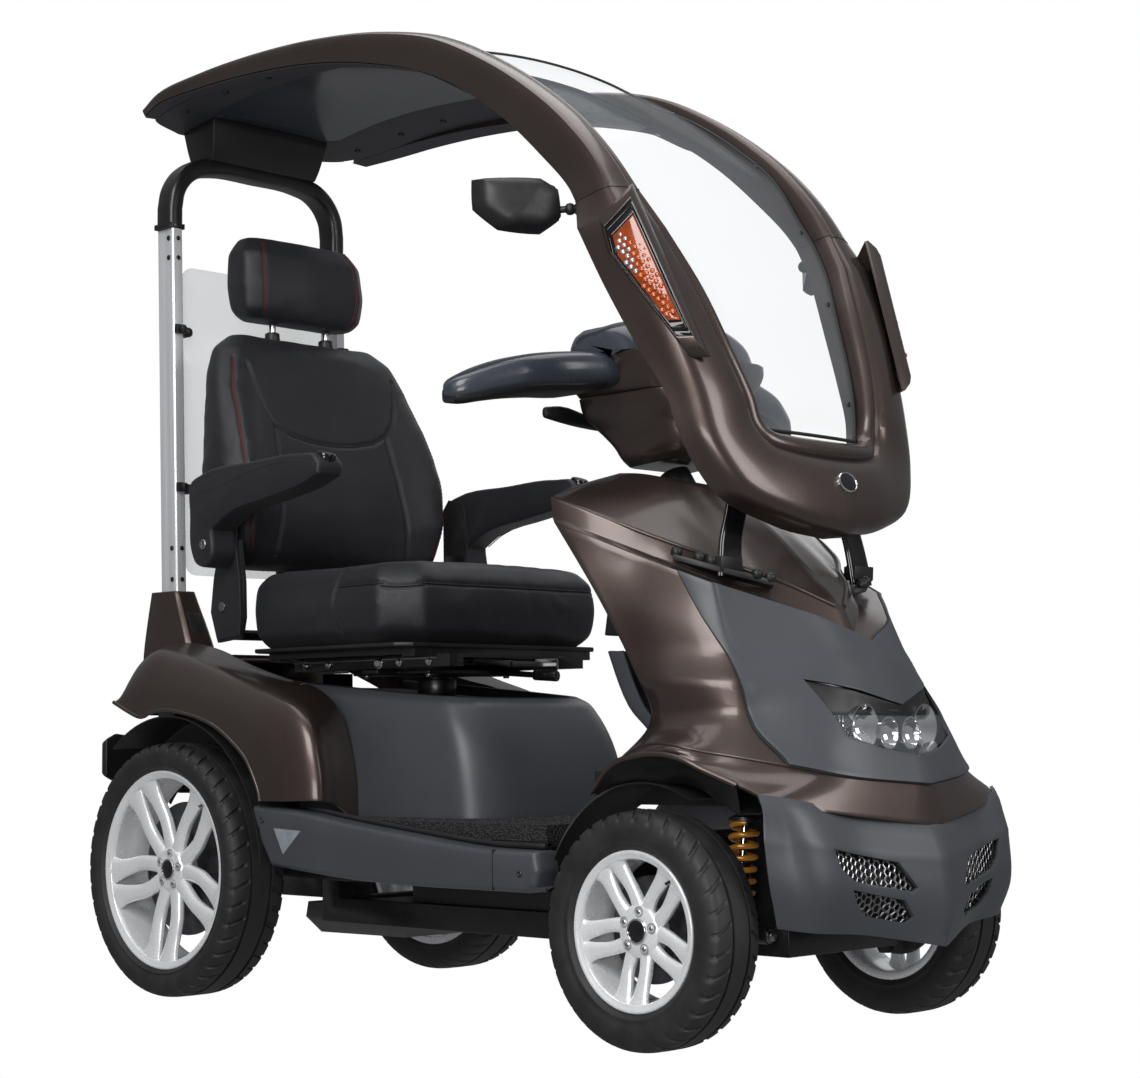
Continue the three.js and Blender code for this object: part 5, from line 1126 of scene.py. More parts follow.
hexm, cup = M(), M()
for poly in (g1, g2):
    for s in (1, -1):
        P_ = [(x_ * s, z_) for x_, z_ in poly]
        # recessed cup
        rings = []
        cxm, czm = np.mean([p[0] for p in P_]), np.mean([p[1] for p in P_])
        for sc, dp in ((1.03, 5.4), (1.03, 9), (0.97, 20), (0.96, 24)):
            rings.append([(cxm + (x_ - cxm) * sc, bump_y(x_, z_) + dp, czm + (z_ - czm) * sc) for x_, z_ in P_])
        v = np.array(rings).reshape(-1, 3)
        f = grid_faces(4, len(P_), True)
        f.append(tuple(3 * len(P_) + i for i in range(len(P_))))
        cup.add(v, f)
        # hexagonal net
        a = 6.2
        seen = set()
        for i in range(-20, 21):
            for j in range(-14, 15):
                hx, hz = cxm + i * a * 1.5, czm + (j + 0.5 * (i % 2)) * a * math.sqrt(3)
                if not inside(hx, hz, [(cxm + (x_ - cxm) * 1.02, czm + (z_ - czm) * 1.02) for x_, z_ in P_]):
                    continue
                c = [(hx + a * math.cos(k_ * pi / 3), hz + a * math.sin(k_ * pi / 3)) for k_ in range(6)]
                for k_ in range(6):
                    e0, e1 = c[k_], c[(k_ + 1) % 6]
                    key = (round((e0[0] + e1[0]) * 2), round((e0[1] + e1[1]) * 2))
                    if key in seen:
                        continue
                    seen.add(key)
                    hexm.tube([(e0[0], bump_y(*e0) + 12, e0[1]), (e1[0], bump_y(*e1) + 12, e1[1])], 1.5, 6, 0)
make("grille_cups", cup, [MAT["black"]], "chassis", fix=True, sharp=30)
make("grille_nets", hexm, [MAT["steel"]], "chassis", fix=False, sharp=50)

# ------------------------------------------------------------------ seat box
def ring_at(w_, yf, yr, z0, slope, c):
    z = lambda y: z0 + slope * (y - yf)
    pts = [(-w_, yr), (-w_, yf + c), (-w_ * 0.93, yf + c * 0.45), (-w_ * 0.72, yf + c * 0.12), (-w_ * 0.4, yf), (0, yf - 2), (w_ * 0.4, yf), (w_ * 0.72, yf + c * 0.12), (w_ * 0.93, yf + c * 0.45), (w_, yf + c), (w_, yr)]
    return [(x_, y_, z(y_)) for x_, y_ in pts]


HR = [ring_at(195, -612, -42, 277.8, 0, 90), ring_at(193.5, -608, -42, 320, 0, 89), ring_at(191, -602, -42, 360, 0, 88), ring_at(184, -580, -42, 425, 0.02, 84),
      ring_at(176, -556, -42, 462, 0.05, 78), ring_at(169, -541, -42, 479, 0.07, 72), ring_at(158, -522, -42, 489, 0.085, 66)]
HG = dense2(np.array(HR), 5, 4)
postcut = cutter(M().lathe([(0, 300), (36, 300), (36, 600), (0, 600)], 40, (0, -302, 0), (0, 0, 1), 0, False))
m = M()
m.shell(HG, 4, 0, (0, -300, 350))
make("seat_box_moulding", m, [MAT["grey"]], "chassis", "seat_box_cover", bevel=1.5, angle=40, sharp=32)
# recessed black top with a rim
m = M()
t0 = HG[-1]
rimr = []
cxy = np.array([0, -280, 0])
for sc, dz in ((1.0, 0.0), (0.985, 1.5), (0.95, 1.2), (0.935, -2.0), (0.92, -13.0), (0.90, -15.0)):
    rimr.append([(cxy[0] + (p[0] - cxy[0]) * sc, cxy[1] + (p[1] - cxy[1]) * (sc if p[1] < -280 else 1.0), p[2] + dz) for p in t0])
m.shell(np.array(rimr), 3, 0, (0, -280, 300))
make("seat_box_rim", m, [MAT["black"]], "chassis", bevel=0.8, angle=40, sharp=34)
m = M()
cap = [(p[0] * 0.915, -280 + (p[1] + 280) * (0.915 if p[1] < -280 else 1.0), p[2] - 13.5) for p in t0]
bot = [(x_, y_, z_ - 4) for x_, y_, z_ in cap]
m.loft([cap, bot], 0)
make("seat_box_top", m, [MAT["black"]], "chassis", cuts=[postcut], sharp=34)
# concertina boot round the seat post, and the post itself
m = M()
prof = [(0, 480)]
zb = 480
for i in range(5):
    prof += [(44 - i * 3.2, zb + i * 5.6), (40 - i * 3.2, zb + i * 5.6 + 2.8)]
prof += [(28, zb + 29), (0, zb + 29)]
m.lathe(prof, 48, (0, -302, 0), (0, 0, 1), 0, False)
make("seat_post_boot", m, [MAT["rubber"]], "chassis", fix=True, sharp=30)
dress("seat_post", MAT["powder"], 0.8)

# ------------------------------------------------------------------ rear fairing
FT = [[150, 500], [143, 540], [95, 571], [10, 564], [-74, 547], [-148, 526], [-248, 496], [-312, 468], [-346, 425], [-362, 370], [-366, 328]]
FL = [[148, 492], [112, 478], [74, 466], [37, 473], [-15, 476], [-101, 461], [-175, 430], [-225, 393], [-249, 358], [-257, 342], [-260, 328]]
FI = [[196, 560], [196, 590], [150, 600], [40, 584], [-60, 552], [-148, 530], [-248, 506], [-300, 468], [-324, 415], [-340, 356], [-346, 286]]
lerp = lambda a, b, t: a + (b - a) * t
for side, s in (("right", -1), ("left", 1)):
    g = [
        [[s * (203 if i < 5 else 208), y, z] for i, (y, z) in enumerate(FI)],
        [[s * 262, lerp(y, FI[i][0], 0.4), lerp(z, FI[i][1], 0.35) + 6] for i, (y, z) in enumerate(FT)],
        [[s * 306, y, z] for y, z in FT],
        [[s * 333, lerp(y, FL[i][0], 0.45), lerp(z, FL[i][1], 0.45)] for i, (y, z) in enumerate(FT)],
        [[s * 344, y, z] for y, z in FL],
    ]
    G = dense2(np.array(g, float), 8, 6)
    m = M()
    m.shell(G, 4.5, 0, (s * 260, -40, 200))
    make("rear_fairing_" + side, m, [MAT["paint"]], "chassis", "rear_fairing", bevel=1.6, seg=3, angle=40, sharp=32)
    m = M()
    m.tube(G[-1] + np.array([s * -0.5, 0, 0]), 3.4, 10, 0)
    make("fender_lip_" + side, m, [MAT["paint"]], "chassis")
    # black arch liner
    m = M()
    A = []
    for a in np.linspace(math.radians(52), math.radians(176), 30):
        A.append([(s * x_, 0 + (252 + d_) * math.cos(a), 211 + (252 + d_) * math.sin(a)) for x_, d_ in ((236, 0), (240, 4), (290, 6), (338, 4))])
    A = np.array(A)
    m.shell(A, 2.5, 0, (s * 290, 0, 211))
    A2 = []
    for a in np.linspace(math.radians(38), math.radians(172), 30):
        A2.append([(s * x_, r_ * math.cos(a), 211 + r_ * math.sin(a)) for x_, r_ in ((236, 254), (233, 246), (233, 205), (233, 168))])
    m.shell(np.array(A2), 2.5, 0, (s * 400, 0, 211))
    make("rear_arch_liner_" + side, m, [MAT["black"]], "chassis", fix=False, sharp=50)
    # mast socket: brown outer boot with a black inner face
    def rrect(x0, x1, y0, y1, z, c):
        return [(x0 + c, y0, z), (x1 - c, y0, z), (x1, y0 + c, z), (x1, y1 - c, z), (x1 - c, y1, z), (x0 + c, y1, z), (x0, y1 - c, z), (x0, y0 + c, z)]
    m = M()
    secs = [rrect(160, 224, 92, 242, 566, 9), rrect(160, 223, 96, 242, 580, 9), rrect(162, 219, 116, 239, 622, 8), rrect(165, 214, 142, 234, 670, 7), rrect(167, 212, 152, 231, 690, 6)]
    secs = [[(s * x_, y_, z_) for x_, y_, z_ in q_] for q_ in secs]
    m.loft(dense(np.array(secs), 4), 0)
    sock = cutter(M().box(min(s * 176.5, s * 202.5), max(s * 176.5, s * 202.5), 163.5, 214.5, 500, 720))
    make("mast_socket_" + side, m, [MAT["paint"]], "chassis", bevel=1.5, angle=30, sharp=34, cuts=[sock])
    m = M()
    for i, (za, zb2) in enumerate(((572, 612), (616, 650))):
        ya = lerp(92, 150, (za - 566) / 124)
        yb = lerp(92, 150, (zb2 - 566) / 124)
        m.loft([[(s * 175, ya - 3, za), (s * 205, ya - 3, za), (s * 205, ya + 3, za), (s * 175, ya + 3, za)], [(s * 178, yb - 2.4, zb2), (s * 203, yb - 2.4, zb2), (s * 203, yb + 3, zb2), (s * 178, yb + 3, zb2)]], 0)
    make("socket_pads_" + side, m, [MAT["black"]], "chassis", bevel=1.0)
m = M()
m.box(-206, 206, -8, 243, 566, 572)
m.loft(dense(np.array([[[x_ * k_, y_, z_] for x_, y_ in ((-218, 237), (-150, 240), (0, 242.6), (150, 240), (218, 237), (218, 232), (-218, 232))] for k_, z_ in ((0.95, 470), (1.0, 500), (1.01, 540), (0.99, 571))]), 4), 0)
make("rear_deck", m, [MAT["paint"]], "chassis", bevel=1.6, fix=False)
dress("rear_bumper", MAT["black"], 5.0, 3)
m = M()
for x_ in (-262, 262):
    m.loft([[(x_ - 30, 239, 366), (x_ + 30, 239, 366), (x_ + 30, 239, 390), (x_ - 30, 239, 390)], [(x_ - 27, 243.5, 369), (x_ + 27, 243.5, 369), (x_ + 27, 243.5, 387), (x_ - 27, 243.5, 387)]], 0)
make("rear_reflectors", m, [MAT["reflector"]], "chassis", bevel=0.8)

# ------------------------------------------------------------------ seat
def soft(name, node, body, voxel, cap, pressure, smooth=6, shrink=0.0, shape=None):
    """Leather over foam: the plain solid, remeshed, filled and smoothed."""
    src = frame["nodes"][node]
    me = src.data.copy()
    o = bpy.data.objects.new(name, me)
    bpy.context.scene.collection.objects.link(o)
    b = bmesh.new()
    b.from_mesh(me)
    bmesh.ops.remove_doubles(b, verts=b.verts, dist=1e-5)
    b.to_mesh(me)
    b.free()
    mod = o.modifiers.new("r", "REMESH")
    mod.mode = "VOXEL"
    mod.voxel_size = voxel
    evaluated(o)
    mod = o.modifiers.new("sm", "SMOOTH")
    mod.factor, mod.iterations = 0.5, smooth
    evaluated(o)
    n = len(o.data.vertices)
    co = np.zeros(n * 3)
    o.data.vertices.foreach_get("co", co)
    co = co.reshape(-1, 3)
    if shape is not None:
        co = shape(co)
        o.data.vertices.foreach_set("co", co.reshape(-1))
        o.data.update()
    rest = co.copy()
    cl = o.modifiers.new("c", "CLOTH")
    st = cl.settings
    st.quality = 5
    st.mass = 0.3
    st.tension_stiffness = st.compression_stiffness = 14
    st.shear_stiffness = 8
    st.bending_stiffness = 1.2
    st.use_pressure = True
    st.uniform_pressure_force = pressure
    st.effector_weights.gravity = 0
    cl.collision_settings.use_collision = False
    cl.collision_settings.use_self_collision = False
    cl.point_cache.frame_start, cl.point_cache.frame_end = 1, 20
    sc = bpy.context.scene
    for fr in range(1, 21):
        sc.frame_set(fr)
    evaluated(o)
    sc.frame_set(1)
    o.data.vertices.foreach_get("co", co.reshape(-1)) if False else None
    new = np.zeros(n * 3)
    o.data.vertices.foreach_get("co", new)
    new = new.reshape(-1, 3)
    d = new - rest
    l = np.linalg.norm(d, axis=1, keepdims=True)
    new = rest + d * np.minimum(1.0, cap / np.maximum(l, 1e-9)) * 0.55
    o.data.vertices.foreach_set("co", new.reshape(-1))
    o.data.update()
    mod = o.modifiers.new("sm", "SMOOTH")
    mod.factor, mod.iterations = 0.5, 7
    evaluated(o)
    mod = o.modifiers.new("ss", "SUBSURF")
    mod.levels = mod.render_levels = 1
    evaluated(o)
    o.data.materials.clear()
    o.data.materials.append(MAT["leather"])
    o.data.polygons.foreach_set("material_index", [0] * len(o.data.polygons))
    return o


def project(o, pts, d):
    """Points cast onto the piece along d (row frame metres), with normals."""
    bm_ = bmesh.new()
    bm_.from_mesh(o.data)
    t = BVHTree.FromBMesh(bm_)
    out, nn = [], []
    dv = Vector(d).normalized()
    for p in pts:
        q = Vector(p)
        hit, n, i, dist = t.ray_cast(q - dv * 0.5, dv, 1.2)
        if hit is not None:
            out.append(np.array(hit))
            nn.append(np.array(n))
    bm_.free()
    return np.array(out), np.array(nn)


def carve(o, lines, depth, width):
    """Sewn channels: the surface is drawn in along lines of points."""
    n = len(o.data.vertices)
    co, no_ = np.zeros(n * 3), np.zeros(n * 3)
    o.data.vertices.foreach_get("co", co)
    o.data.vertex_normals.foreach_get("vector", no_) if hasattr(o.data, "vertex_normals") else o.data.vertices.foreach_get("normal", no_)
    co, no_ = co.reshape(-1, 3), no_.reshape(-1, 3)
    best = np.full(n, 1e9)
    for L in lines:
        if len(L) < 2:
            continue
        kd = KDTree(len(L))
        for i, p in enumerate(L):
            kd.insert(p, i)
        kd.balance()
        lo, hi = L.min(0) - 3 * width, L.max(0) + 3 * width
        idx = np.nonzero(np.all((co > lo) & (co < hi), axis=1))[0]
        for i in idx:
            best[i] = min(best[i], kd.find(co[i])[2])
    w_ = np.exp(-(best / width) ** 2)
    co -= no_ * (depth * w_)[:, None]
    o.data.vertices.foreach_set("co", co.reshape(-1))
    o.data.update()


def resample(P, step):
    P = np.asarray(P, float)
    d = np.concatenate([[0], np.cumsum(np.linalg.norm(np.diff(P, axis=0), axis=1))])
    k = max(2, int(d[-1] / step))
    t = np.linspace(0, d[-1], k)
    return np.stack([np.interp(t, d, P[:, i]) for i in range(3)], 1)


def stitches(name, lines, norms, body, mat, offs=(0.0022,), step=0.0065, r=0.00042, lift=0.0001):
    """Short thread stitches along one or both sides of each seam."""
    m = M()
    for L, Nn in zip(lines, norms):
        if len(L) < 3:
            continue
        T = np.gradient(L, axis=0)
        T /= np.maximum(np.linalg.norm(T, axis=1, keepdims=True), 1e-9)
        S_ = np.cross(T, Nn)
        d = np.concatenate([[0], np.cumsum(np.linalg.norm(np.diff(L, axis=0), axis=1))])
        for of in offs:
            t = 0.0
            while t + step * 0.65 < d[-1]:
                seg = []
                for tt in (t, t + step * 0.32, t + step * 0.65):
                    p = np.array([np.interp(tt, d, L[:, i]) for i in range(3)])
                    s_ = np.array([np.interp(tt, d, S_[:, i]) for i in range(3)])
                    n_ = np.array([np.interp(tt, d, Nn[:, i]) for i in range(3)])
                    k_ = 1.0 if tt != t and tt != t + step * 0.65 else 0.2
                    seg.append(p + s_ * of + n_ * (lift + r * k_))
                q = np.array(seg) * 1000
                q[:, 1] -= SY
                m.tube(q, r * 1000, 5, 0)
                t += step
    if m.n:
        return make(name, m, [mat], body, fix=False, sharp=60)


def piping(name, lines, body, r, mat):
    m = M()
    for L in lines:
        if len(L) > 3:
            q = L * 1000
            q[:, 1] -= SY
            k = np.ones(5) / 5
            q = np.stack([np.convolve(np.pad(q[:, i], 2, mode="edge"), k, "valid") for i in range(3)], 1)
            m.tube(q, r, 7, 0)
    return make(name, m, [mat], body, fix=False, sharp=60)


def finish_soft(o, node, body):
    finish_mesh(o, 80)
    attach(o, body)
    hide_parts(node)


# squab: crowned, with a waterfall front and a saddle panel on each side
def shape_cushion(co):
    x_, y_, z_ = co[:, 0] * 1000, co[:, 1] * 1000 - SY, co[:, 2] * 1000
    top = np.clip((z_ - 640) / 60, 0, 1)
    dip = 7 * np.exp(-(x_ / 150) ** 2) * np.clip((y_ + 400) / 120, 0, 1)
    crown = 5 * (1 - (x_ / 250) ** 2) * np.clip((-y_ - 380) / 60, 0, 1)
    co = co.copy()
    co[:, 2] += (top * (crown - dip)) * 0.001
    under = np.clip((600 - z_) / 24, 0, 1)
    co[:, 0] -= np.sign(x_) * under * 0.007 * (np.abs(x_) > 180)
    return co


cush = soft("seat_squab", "seat_cushion", "seat", 0.0058, 0.010, 3.0, 7, shape=shape_cushion)
lines, norms = [], []


def seam_from(o, pts, d, step=0.004):
    P = resample(W(np.array(pts, float)), step)
    return project(o, P, d)


# top edge seam running round the front and sides, at z about 668
for pts, d in (
    ([(x_, -700, 672) for x_ in np.linspace(-196, 196, 40)], (0, 1, 0)),
    ([(-500, y_, 672 - 0.0 * y_) for y_ in np.linspace(-440, -330, 24)], (1, 0, 0)),
    ([(500, y_, 672) for y_ in np.linspace(-440, -330, 24)], (-1, 0, 0)),
):
    L, N_ = seam_from(cush, pts, d)
    lines.append(L); norms.append(N_)
corner = []
for s in (-1, 1):
    a = np.linspace(0, pi / 2, 12)
    P = [(s * (196 + 0 * t), -440, 672) for t in a]
    pts = [(s * (190 + 62 * math.sin(t)), -440 - 52 * math.cos(t), 672) for t in a]
    Pm = W(np.array(pts, float))
    bm_ = bmesh.new(); bm_.from_mesh(cush.data); tr = BVHTree.FromBMesh(bm_); bm_.free()
    Lc, Nc = [], []
    for p in resample(Pm, 0.004):
        h_, n_, i_, d_ = tr.find_nearest(Vector(p))
        if h_ is not None:
            Lc.append(np.array(h_)); Nc.append(np.array(n_))
    lines.append(np.array(Lc)); norms.append(np.array(Nc))
vert = []
for s in (-1, 1):
    L, N_ = seam_from(cush, [(s * 500, -332, 600), (s * 500, -331, 640), (s * 500, -329, 685)], (-s, 0, 0))
    vert.append((L, N_))
    L2, N2 = seam_from(cush, [(s * 232, -329, 900), (s * 205, -327, 900), (s * 178, -322, 900)], (0, 0, -1))
    vert.append((L2, N2))
    L3, N3 = seam_from(cush, [(s * 178, -322, 900), (s * 176, -240, 900), (s * 172, -150, 900), (s * 168, -100, 900)], (0, 0, -1))
    vert.append((L3, N3))
L4, N4 = seam_from(cush, [(-178, -322, 900), (-90, -336, 900), (0, -340, 900), (90, -336, 900), (178, -322, 900)], (0, 0, -1))
vert.append((L4, N4))
allL, allN = lines + [v_[0] for v_ in vert], norms + [v_[1] for v_ in vert]
carve(cush, allL, 0.0034, 0.0042)
piping("squab_piping", [l_ - n_ * 0.0016 for l_, n_ in zip(lines, norms)], "seat", 1.3, MAT["leather"])
stitches("squab_stitching", [l_ - n_ * 0.0014 for l_, n_ in zip([v_[0] for v_ in vert], [v_[1] for v_ in vert])], [v_[1] for v_ in vert], "seat", MAT["thread_blk"], (-0.003, 0.003), 0.006, 0.0004, 0.0006)
finish_soft(cush, "seat_cushion", "seat")


def shape_back(co):
    x_, y_, z_ = co[:, 0] * 1000, co[:, 1] * 1000 - SY, co[:, 2] * 1000
    co = co.copy()
    front = y_ < (20 + (z_ - 900) * 0.2)
    # side wings stand forward of the middle panel in the lower half
    wing = np.exp(-((np.abs(x_) - 205) / 34) ** 2) * np.clip((1060 - z_) / 120, 0, 1) * np.clip((z_ - 740) / 60, 0, 1)
    co[:, 1] -= np.where(front, wing * 0.012, 0)
    lumbar = np.exp(-(x_ / 110) ** 2) * np.exp(-((z_ - 835) / 70) ** 2)
    co[:, 1] -= np.where(front, lumbar * 0.010, 0)
    return co


back = soft("seat_backrest", "seat_back", "backrest", 0.006, 0.009, 2.5, 7, shape=shape_back)
U = [(-168, 1085), (-160, 1040), (-148, 1004), (-128, 978), (-96, 962), (-50, 953), (0, 950), (50, 953), (96, 962), (128, 978), (148, 1004), (160, 1040), (168, 1085)]
bl, bn = [], []
L, N_ = seam_from(back, [(x_, -400, z_) for x_, z_ in U], (0, 1, 0))
bl.append(L); bn.append(N_)
for s in (-1, 1):
    L, N_ = seam_from(back, [(s * 128, -400, 974), (s * 132, -400, 930), (s * 138, -400, 860), (s * 146, -400, 790), (s * 150, -400, 745)], (0, 1, 0))
    bl.append(L); bn.append(N_)
rl, rn = [], []
for s in (-1, 1):
    L, N_ = seam_from(back, [(s * 188, -400, 1096), (s * 206, -400, 1040), (s * 219, -400, 960), (s * 226, -400, 880), (s * 222, -400, 800), (s * 205, -400, 752)], (0, 1, 0))
    rl.append(L); rn.append(N_)
carve(back, bl, 0.0042, 0.0048)
carve(back, rl, 0.0018, 0.0034)
piping("back_channels", [l_ - n_ * 0.0034 for l_, n_ in zip(bl, bn)], "backrest", 1.1, MAT["thread_blk"])
stitches("back_red_stitching", rl, rn, "backrest", MAT["thread"], (-0.0028, 0.0028), 0.0075, 0.0006, -0.0006)
piping("back_red_piping", [l_ - n_ * 0.0012 for l_, n_ in zip(rl, rn)], "backrest", 1.1, MAT["thread"])
finish_soft(back, "seat_back", "backrest")

head = soft("head_cushion", "headrest", "head_restraint", 0.005, 0.008, 3.0, 6)
# the stems are remade in metal below, so the remeshed ones are cut away
b = bmesh.new()
b.from_mesh(head.data)
bmesh.ops.delete(b, geom=[v_ for v_ in b.verts if v_.co.z < 1.172 and abs(abs(v_.co.x) - 0.062) < 0.016 and abs(v_.co.y - (70 + SY) * 0.001) < 0.016], context="VERTS")
bmesh.ops.holes_fill(b, edges=[e_ for e_ in b.edges if e_.is_boundary], sides=0)
bmesh.ops.triangulate(b, faces=[f_ for f_ in b.faces if len(f_.verts) > 4])
b.to_mesh(head.data)
b.free()
hl, hn = [], []
for s in (-1, 1):
    L, N_ = seam_from(head, [(s * 100, -400, 1190), (s * 106, -400, 1220), (s * 108, -400, 1260), (s * 104, -400, 1300), (s * 96, -400, 1322)], (0, 1, 0))
    hl.append(L); hn.append(N_)
    L, N_ = seam_from(head, [(s * 96, 60, 1500), (s * 98, 100, 1500)], (0, 0, -1))
    hl.append(L); hn.append(N_)
carve(head, hl, 0.002, 0.0034)
stitches("head_red_stitching", hl, hn, "head_restraint", MAT["thread"], (-0.0026, 0.0026), 0.0075, 0.0006, -0.0008)
piping("head_red_piping", [l_ - n_ * 0.0014 for l_, n_ in zip(hl, hn)], "head_restraint", 1.0, MAT["thread"])
finish_soft(head, "headrest", "head_restraint")
m = M()
for s in (-1, 1):
    m.lathe([(0, 1079), (6, 1079), (6, 1192), (0, 1192)], 24, (s * 62, 70, 0), (0, 0, 1), 0, False)
make("headrest_stems", m, [MAT["chrome"]], "head_restraint", bevel=0.4)
m = M()
for s in (-1, 1):
    m.lathe([(6.6, 1138), (13, 1138), (14, 1146), (13, 1158), (9, 1160), (6.6, 1160)], 28, (s * 62, 70, 0), (0, 0, 1), 0)
make("headrest_sleeves", m, [MAT["black"]], "backrest", bevel=0.5)

# under the squab: pan, slide rails, levers
dress("seat_frame", MAT["powder"], 1.5)
m = M()
for s in (-1, 1):
    m.box(min(s * 126, s * 148), max(s * 126, s * 148), -486, -120, 541, 552, 0)
    m.box(min(s * 120, s * 154), max(s * 120, s * 154), -470, -108, 553, 556.5, 1)
    for y_ in (-452, -380, -200, -140):
        m.bolt((s * 153.2, y_, 549), (s, 0, 0), 5.5, 4, 0)
    m.bolt((s * 153, -330, 549), (s, 0, 0), 8, 6, 0)
make("slide_rails", m, [MAT["chrome"], MAT["steel"]], "seat", bevel=0.6)
m = M()
pan = [[(s_ * 1.0, y_) for s_, y_ in ((-228, -452), (-205, -474), (205, -474), (228, -452), (228, -96), (205, -74), (-205, -74), (-228, -96))]]
m.prism(pan[0], 2, 571, 578, 0)
make("seat_pan", m, [MAT["black"]], "seat", bevel=2.0)
dress("swivel_plate", MAT["powder"], 1.2)
for nd in ("swivel_lever", "slide_lever"):
    dress(nd, MAT["black_gloss"], 0.9)
m = M()
for s in (-1, 1):
    for y_ in (-380, -224):
        m.bolt((s * 88, y_, 530.6), (0, 0, -1), 6, 5, 0)
make("swivel_bolts", m, [MAT["steel"]], "seat_swivel_base", bevel=0.3)
dress("back_frame", MAT["powder"], 1.5)
m = M()
for s in (-1, 1):
    m.bolt((s * 265.5, -60, 650), (s, 0, 0), 9, 6, 0)
    m.bolt((s * 263.5, -92, 700), (s, 0, 0), 5, 3.5, 0, "cap")
    # black leatherette cover over the hinge
    m.prism([(-106, 600), (-44, 594), (-26, 642), (-34, 700), (-50, 755), (-94, 755), (-106, 690), (-109, 634)], 0, s * 263.5, s * 268.0, 1)
make("hinge_covers", m, [MAT["steel"], MAT["leather"]], "backrest", bevel=1.6, seg=3)

# armrests
PAD = [[-372, 846], [-374, 862], [-362, 878], [-320, 884], [-200, 882], [-60, 872], [-34, 862], [-30, 800], [-34, 744], [-48, 720], [-78, 716], [-94, 732], [-92, 776], [-130, 796], [-250, 818], [-330, 832]]
for side, s, q in (("right", -1, "r"), ("left", 1, "l")):
    P = np.array([[0, y_, z_] for y_, z_ in PAD], float)
    Pd = dense(P, 5, {0, 12}, True)
    cen = np.array([0, -180, 830])
    rings = []
    for x_, ins in ((264.8, 5.0), (266.2, 2.2), (269, 0.6), (274, 0.0), (290, -0.6), (308, 0.0), (313.2, 0.8), (316.4, 2.8), (317.8, 6.0)):
        T = np.roll(Pd, -1, 0) - np.roll(Pd, 1, 0)
        T /= np.maximum(np.linalg.norm(T, axis=1, keepdims=True), 1e-9)
        Nn = np.stack([np.zeros(len(Pd)), T[:, 2], -T[:, 1]], 1)
        area2 = np.sum(Pd[:, 1] * np.roll(Pd[:, 2], -1) - np.roll(Pd[:, 1], -1) * Pd[:, 2])
        if area2 < 0:
            Nn = -Nn
        R_ = Pd - Nn * ins
        R_[:, 0] = s * x_
        rings.append(R_)
    m = M()
    m.loft(np.array(rings), 0)
    make("arm_pad_" + side, m, [MAT["leather"]], "arm_" + q, "armrest_" + side, fix=True, sharp=60)
    m = M()
    low_edge = [(s * 317.6, -372, 848), (s * 317.9, -330, 835), (s * 317.9, -250, 821), (s * 317.9, -132, 799), (s * 317.6, -96, 780)]
    m.tube(low_edge, 0.9, 8, 1, k=4)
    m.tube([(s * 317.4, -371, 862), (s * 317.7, -320, 872), (s * 317.7, -200, 866), (s * 317.5, -98, 845), (s * 317.2, -40, 838)], 0.8, 8, 1, k=4)
    # knurled height knob at the front end
    m.lathe([(0, -1), (15, -1), (15.5, 1), (15.5, 11), (14, 13), (0, 13.5)], 30, (s * 291, -358, 871), (0, -0.35, 0.94), 0, False)
    for i in range(14):
        a = 2 * pi * i / 14
        c_ = np.array([s * 291, -358, 871]) + np.array([math.cos(a) * 15.4, math.sin(a) * 15.4 * 0.94, math.sin(a) * 15.4 * 0.35])
        m.tube([c_, c_ + np.array([0, -0.35, 0.94]) * 11], 1.1, 6, 0)
    make("arm_trim_" + side, m, [MAT["black_gloss"], MAT["thread_blk"]], "arm_" + q, sharp=40)
    m = M()
    m.prism([(-96, 722), (-38, 724), (-30, 742), (-29, 850), (-44, 868), (-86, 858), (-94, 800)], 0, s * 263.9, s * 266.5, 0)
    m.bolt((s * 318.0, -73, 752), (s, 0, 0), 9, 4, 1, "cap")
    make("arm_hinge_" + side, m, [MAT["black"], MAT["steel"]], "arm_" + q, bevel=0.8)

# ------------------------------------------------------------------ tiller
def superring(x, y, z, hy, hz, n=22, p=2.6, tilt=0.0, under=1.0):
    out = []
    for i in range(n):
        a = 2 * pi * i / n
        c_, s_ = math.cos(a), math.sin(a)
        u = math.copysign(abs(c_) ** (2 / p), c_) * hy
        w_ = math.copysign(abs(s_) ** (2 / p), s_) * hz
        if s_ < 0:
            w_ *= under
        out.append((x, y + u * math.cos(tilt) - w_ * math.sin(tilt), z + u * math.sin(tilt) + w_ * math.cos(tilt)))
    return out


half = [(-386, -752, 932, 8, 7), (-380, -754, 934, 17, 12), (-362, -760, 940, 27, 17), (-330, -768, 951, 36, 21), (-288, -778, 962, 45, 24), (-240, -786, 970, 51, 26), (-190, -793, 975, 55, 27), (-140, -799, 978, 57, 27), (-90, -803, 979, 58, 27), (0, -806, 979, 58, 27)]
rings = [superring(*h_, p=3.0, under=1.2 if abs(h_[0]) > 150 else 1.0) for h_ in half]
rings = rings + [[(-x_, y_, z_) for x_, y_, z_ in r_] for r_ in rings[:-1][::-1]]
rings = [r_ for r_ in rings]
for i in range(len(half), len(rings)):
    r_ = rings[i]
    rings[i] = r_
m = M()
m.loft(dense(np.array(rings), 3), 0)
make("handlebar_paddles", m, [MAT["grey_gloss"]], "tiller", "handlebar", sharp=50)
m = M()
# a black underside grip on each paddle
for s in (-1, 1):
    rr = [superring(s * abs(x_), y_ + 4, z_ - 8, hy * 0.90, hz * 0.82, p=3.2, under=1.45 if abs(x_) > 150 else 1.1) for x_, y_, z_, hy, hz in half[1:8]]
    m.loft(dense(np.array(rr), 3), 0)
make("paddle_grips", m, [MAT["black"]], "tiller", sharp=50)


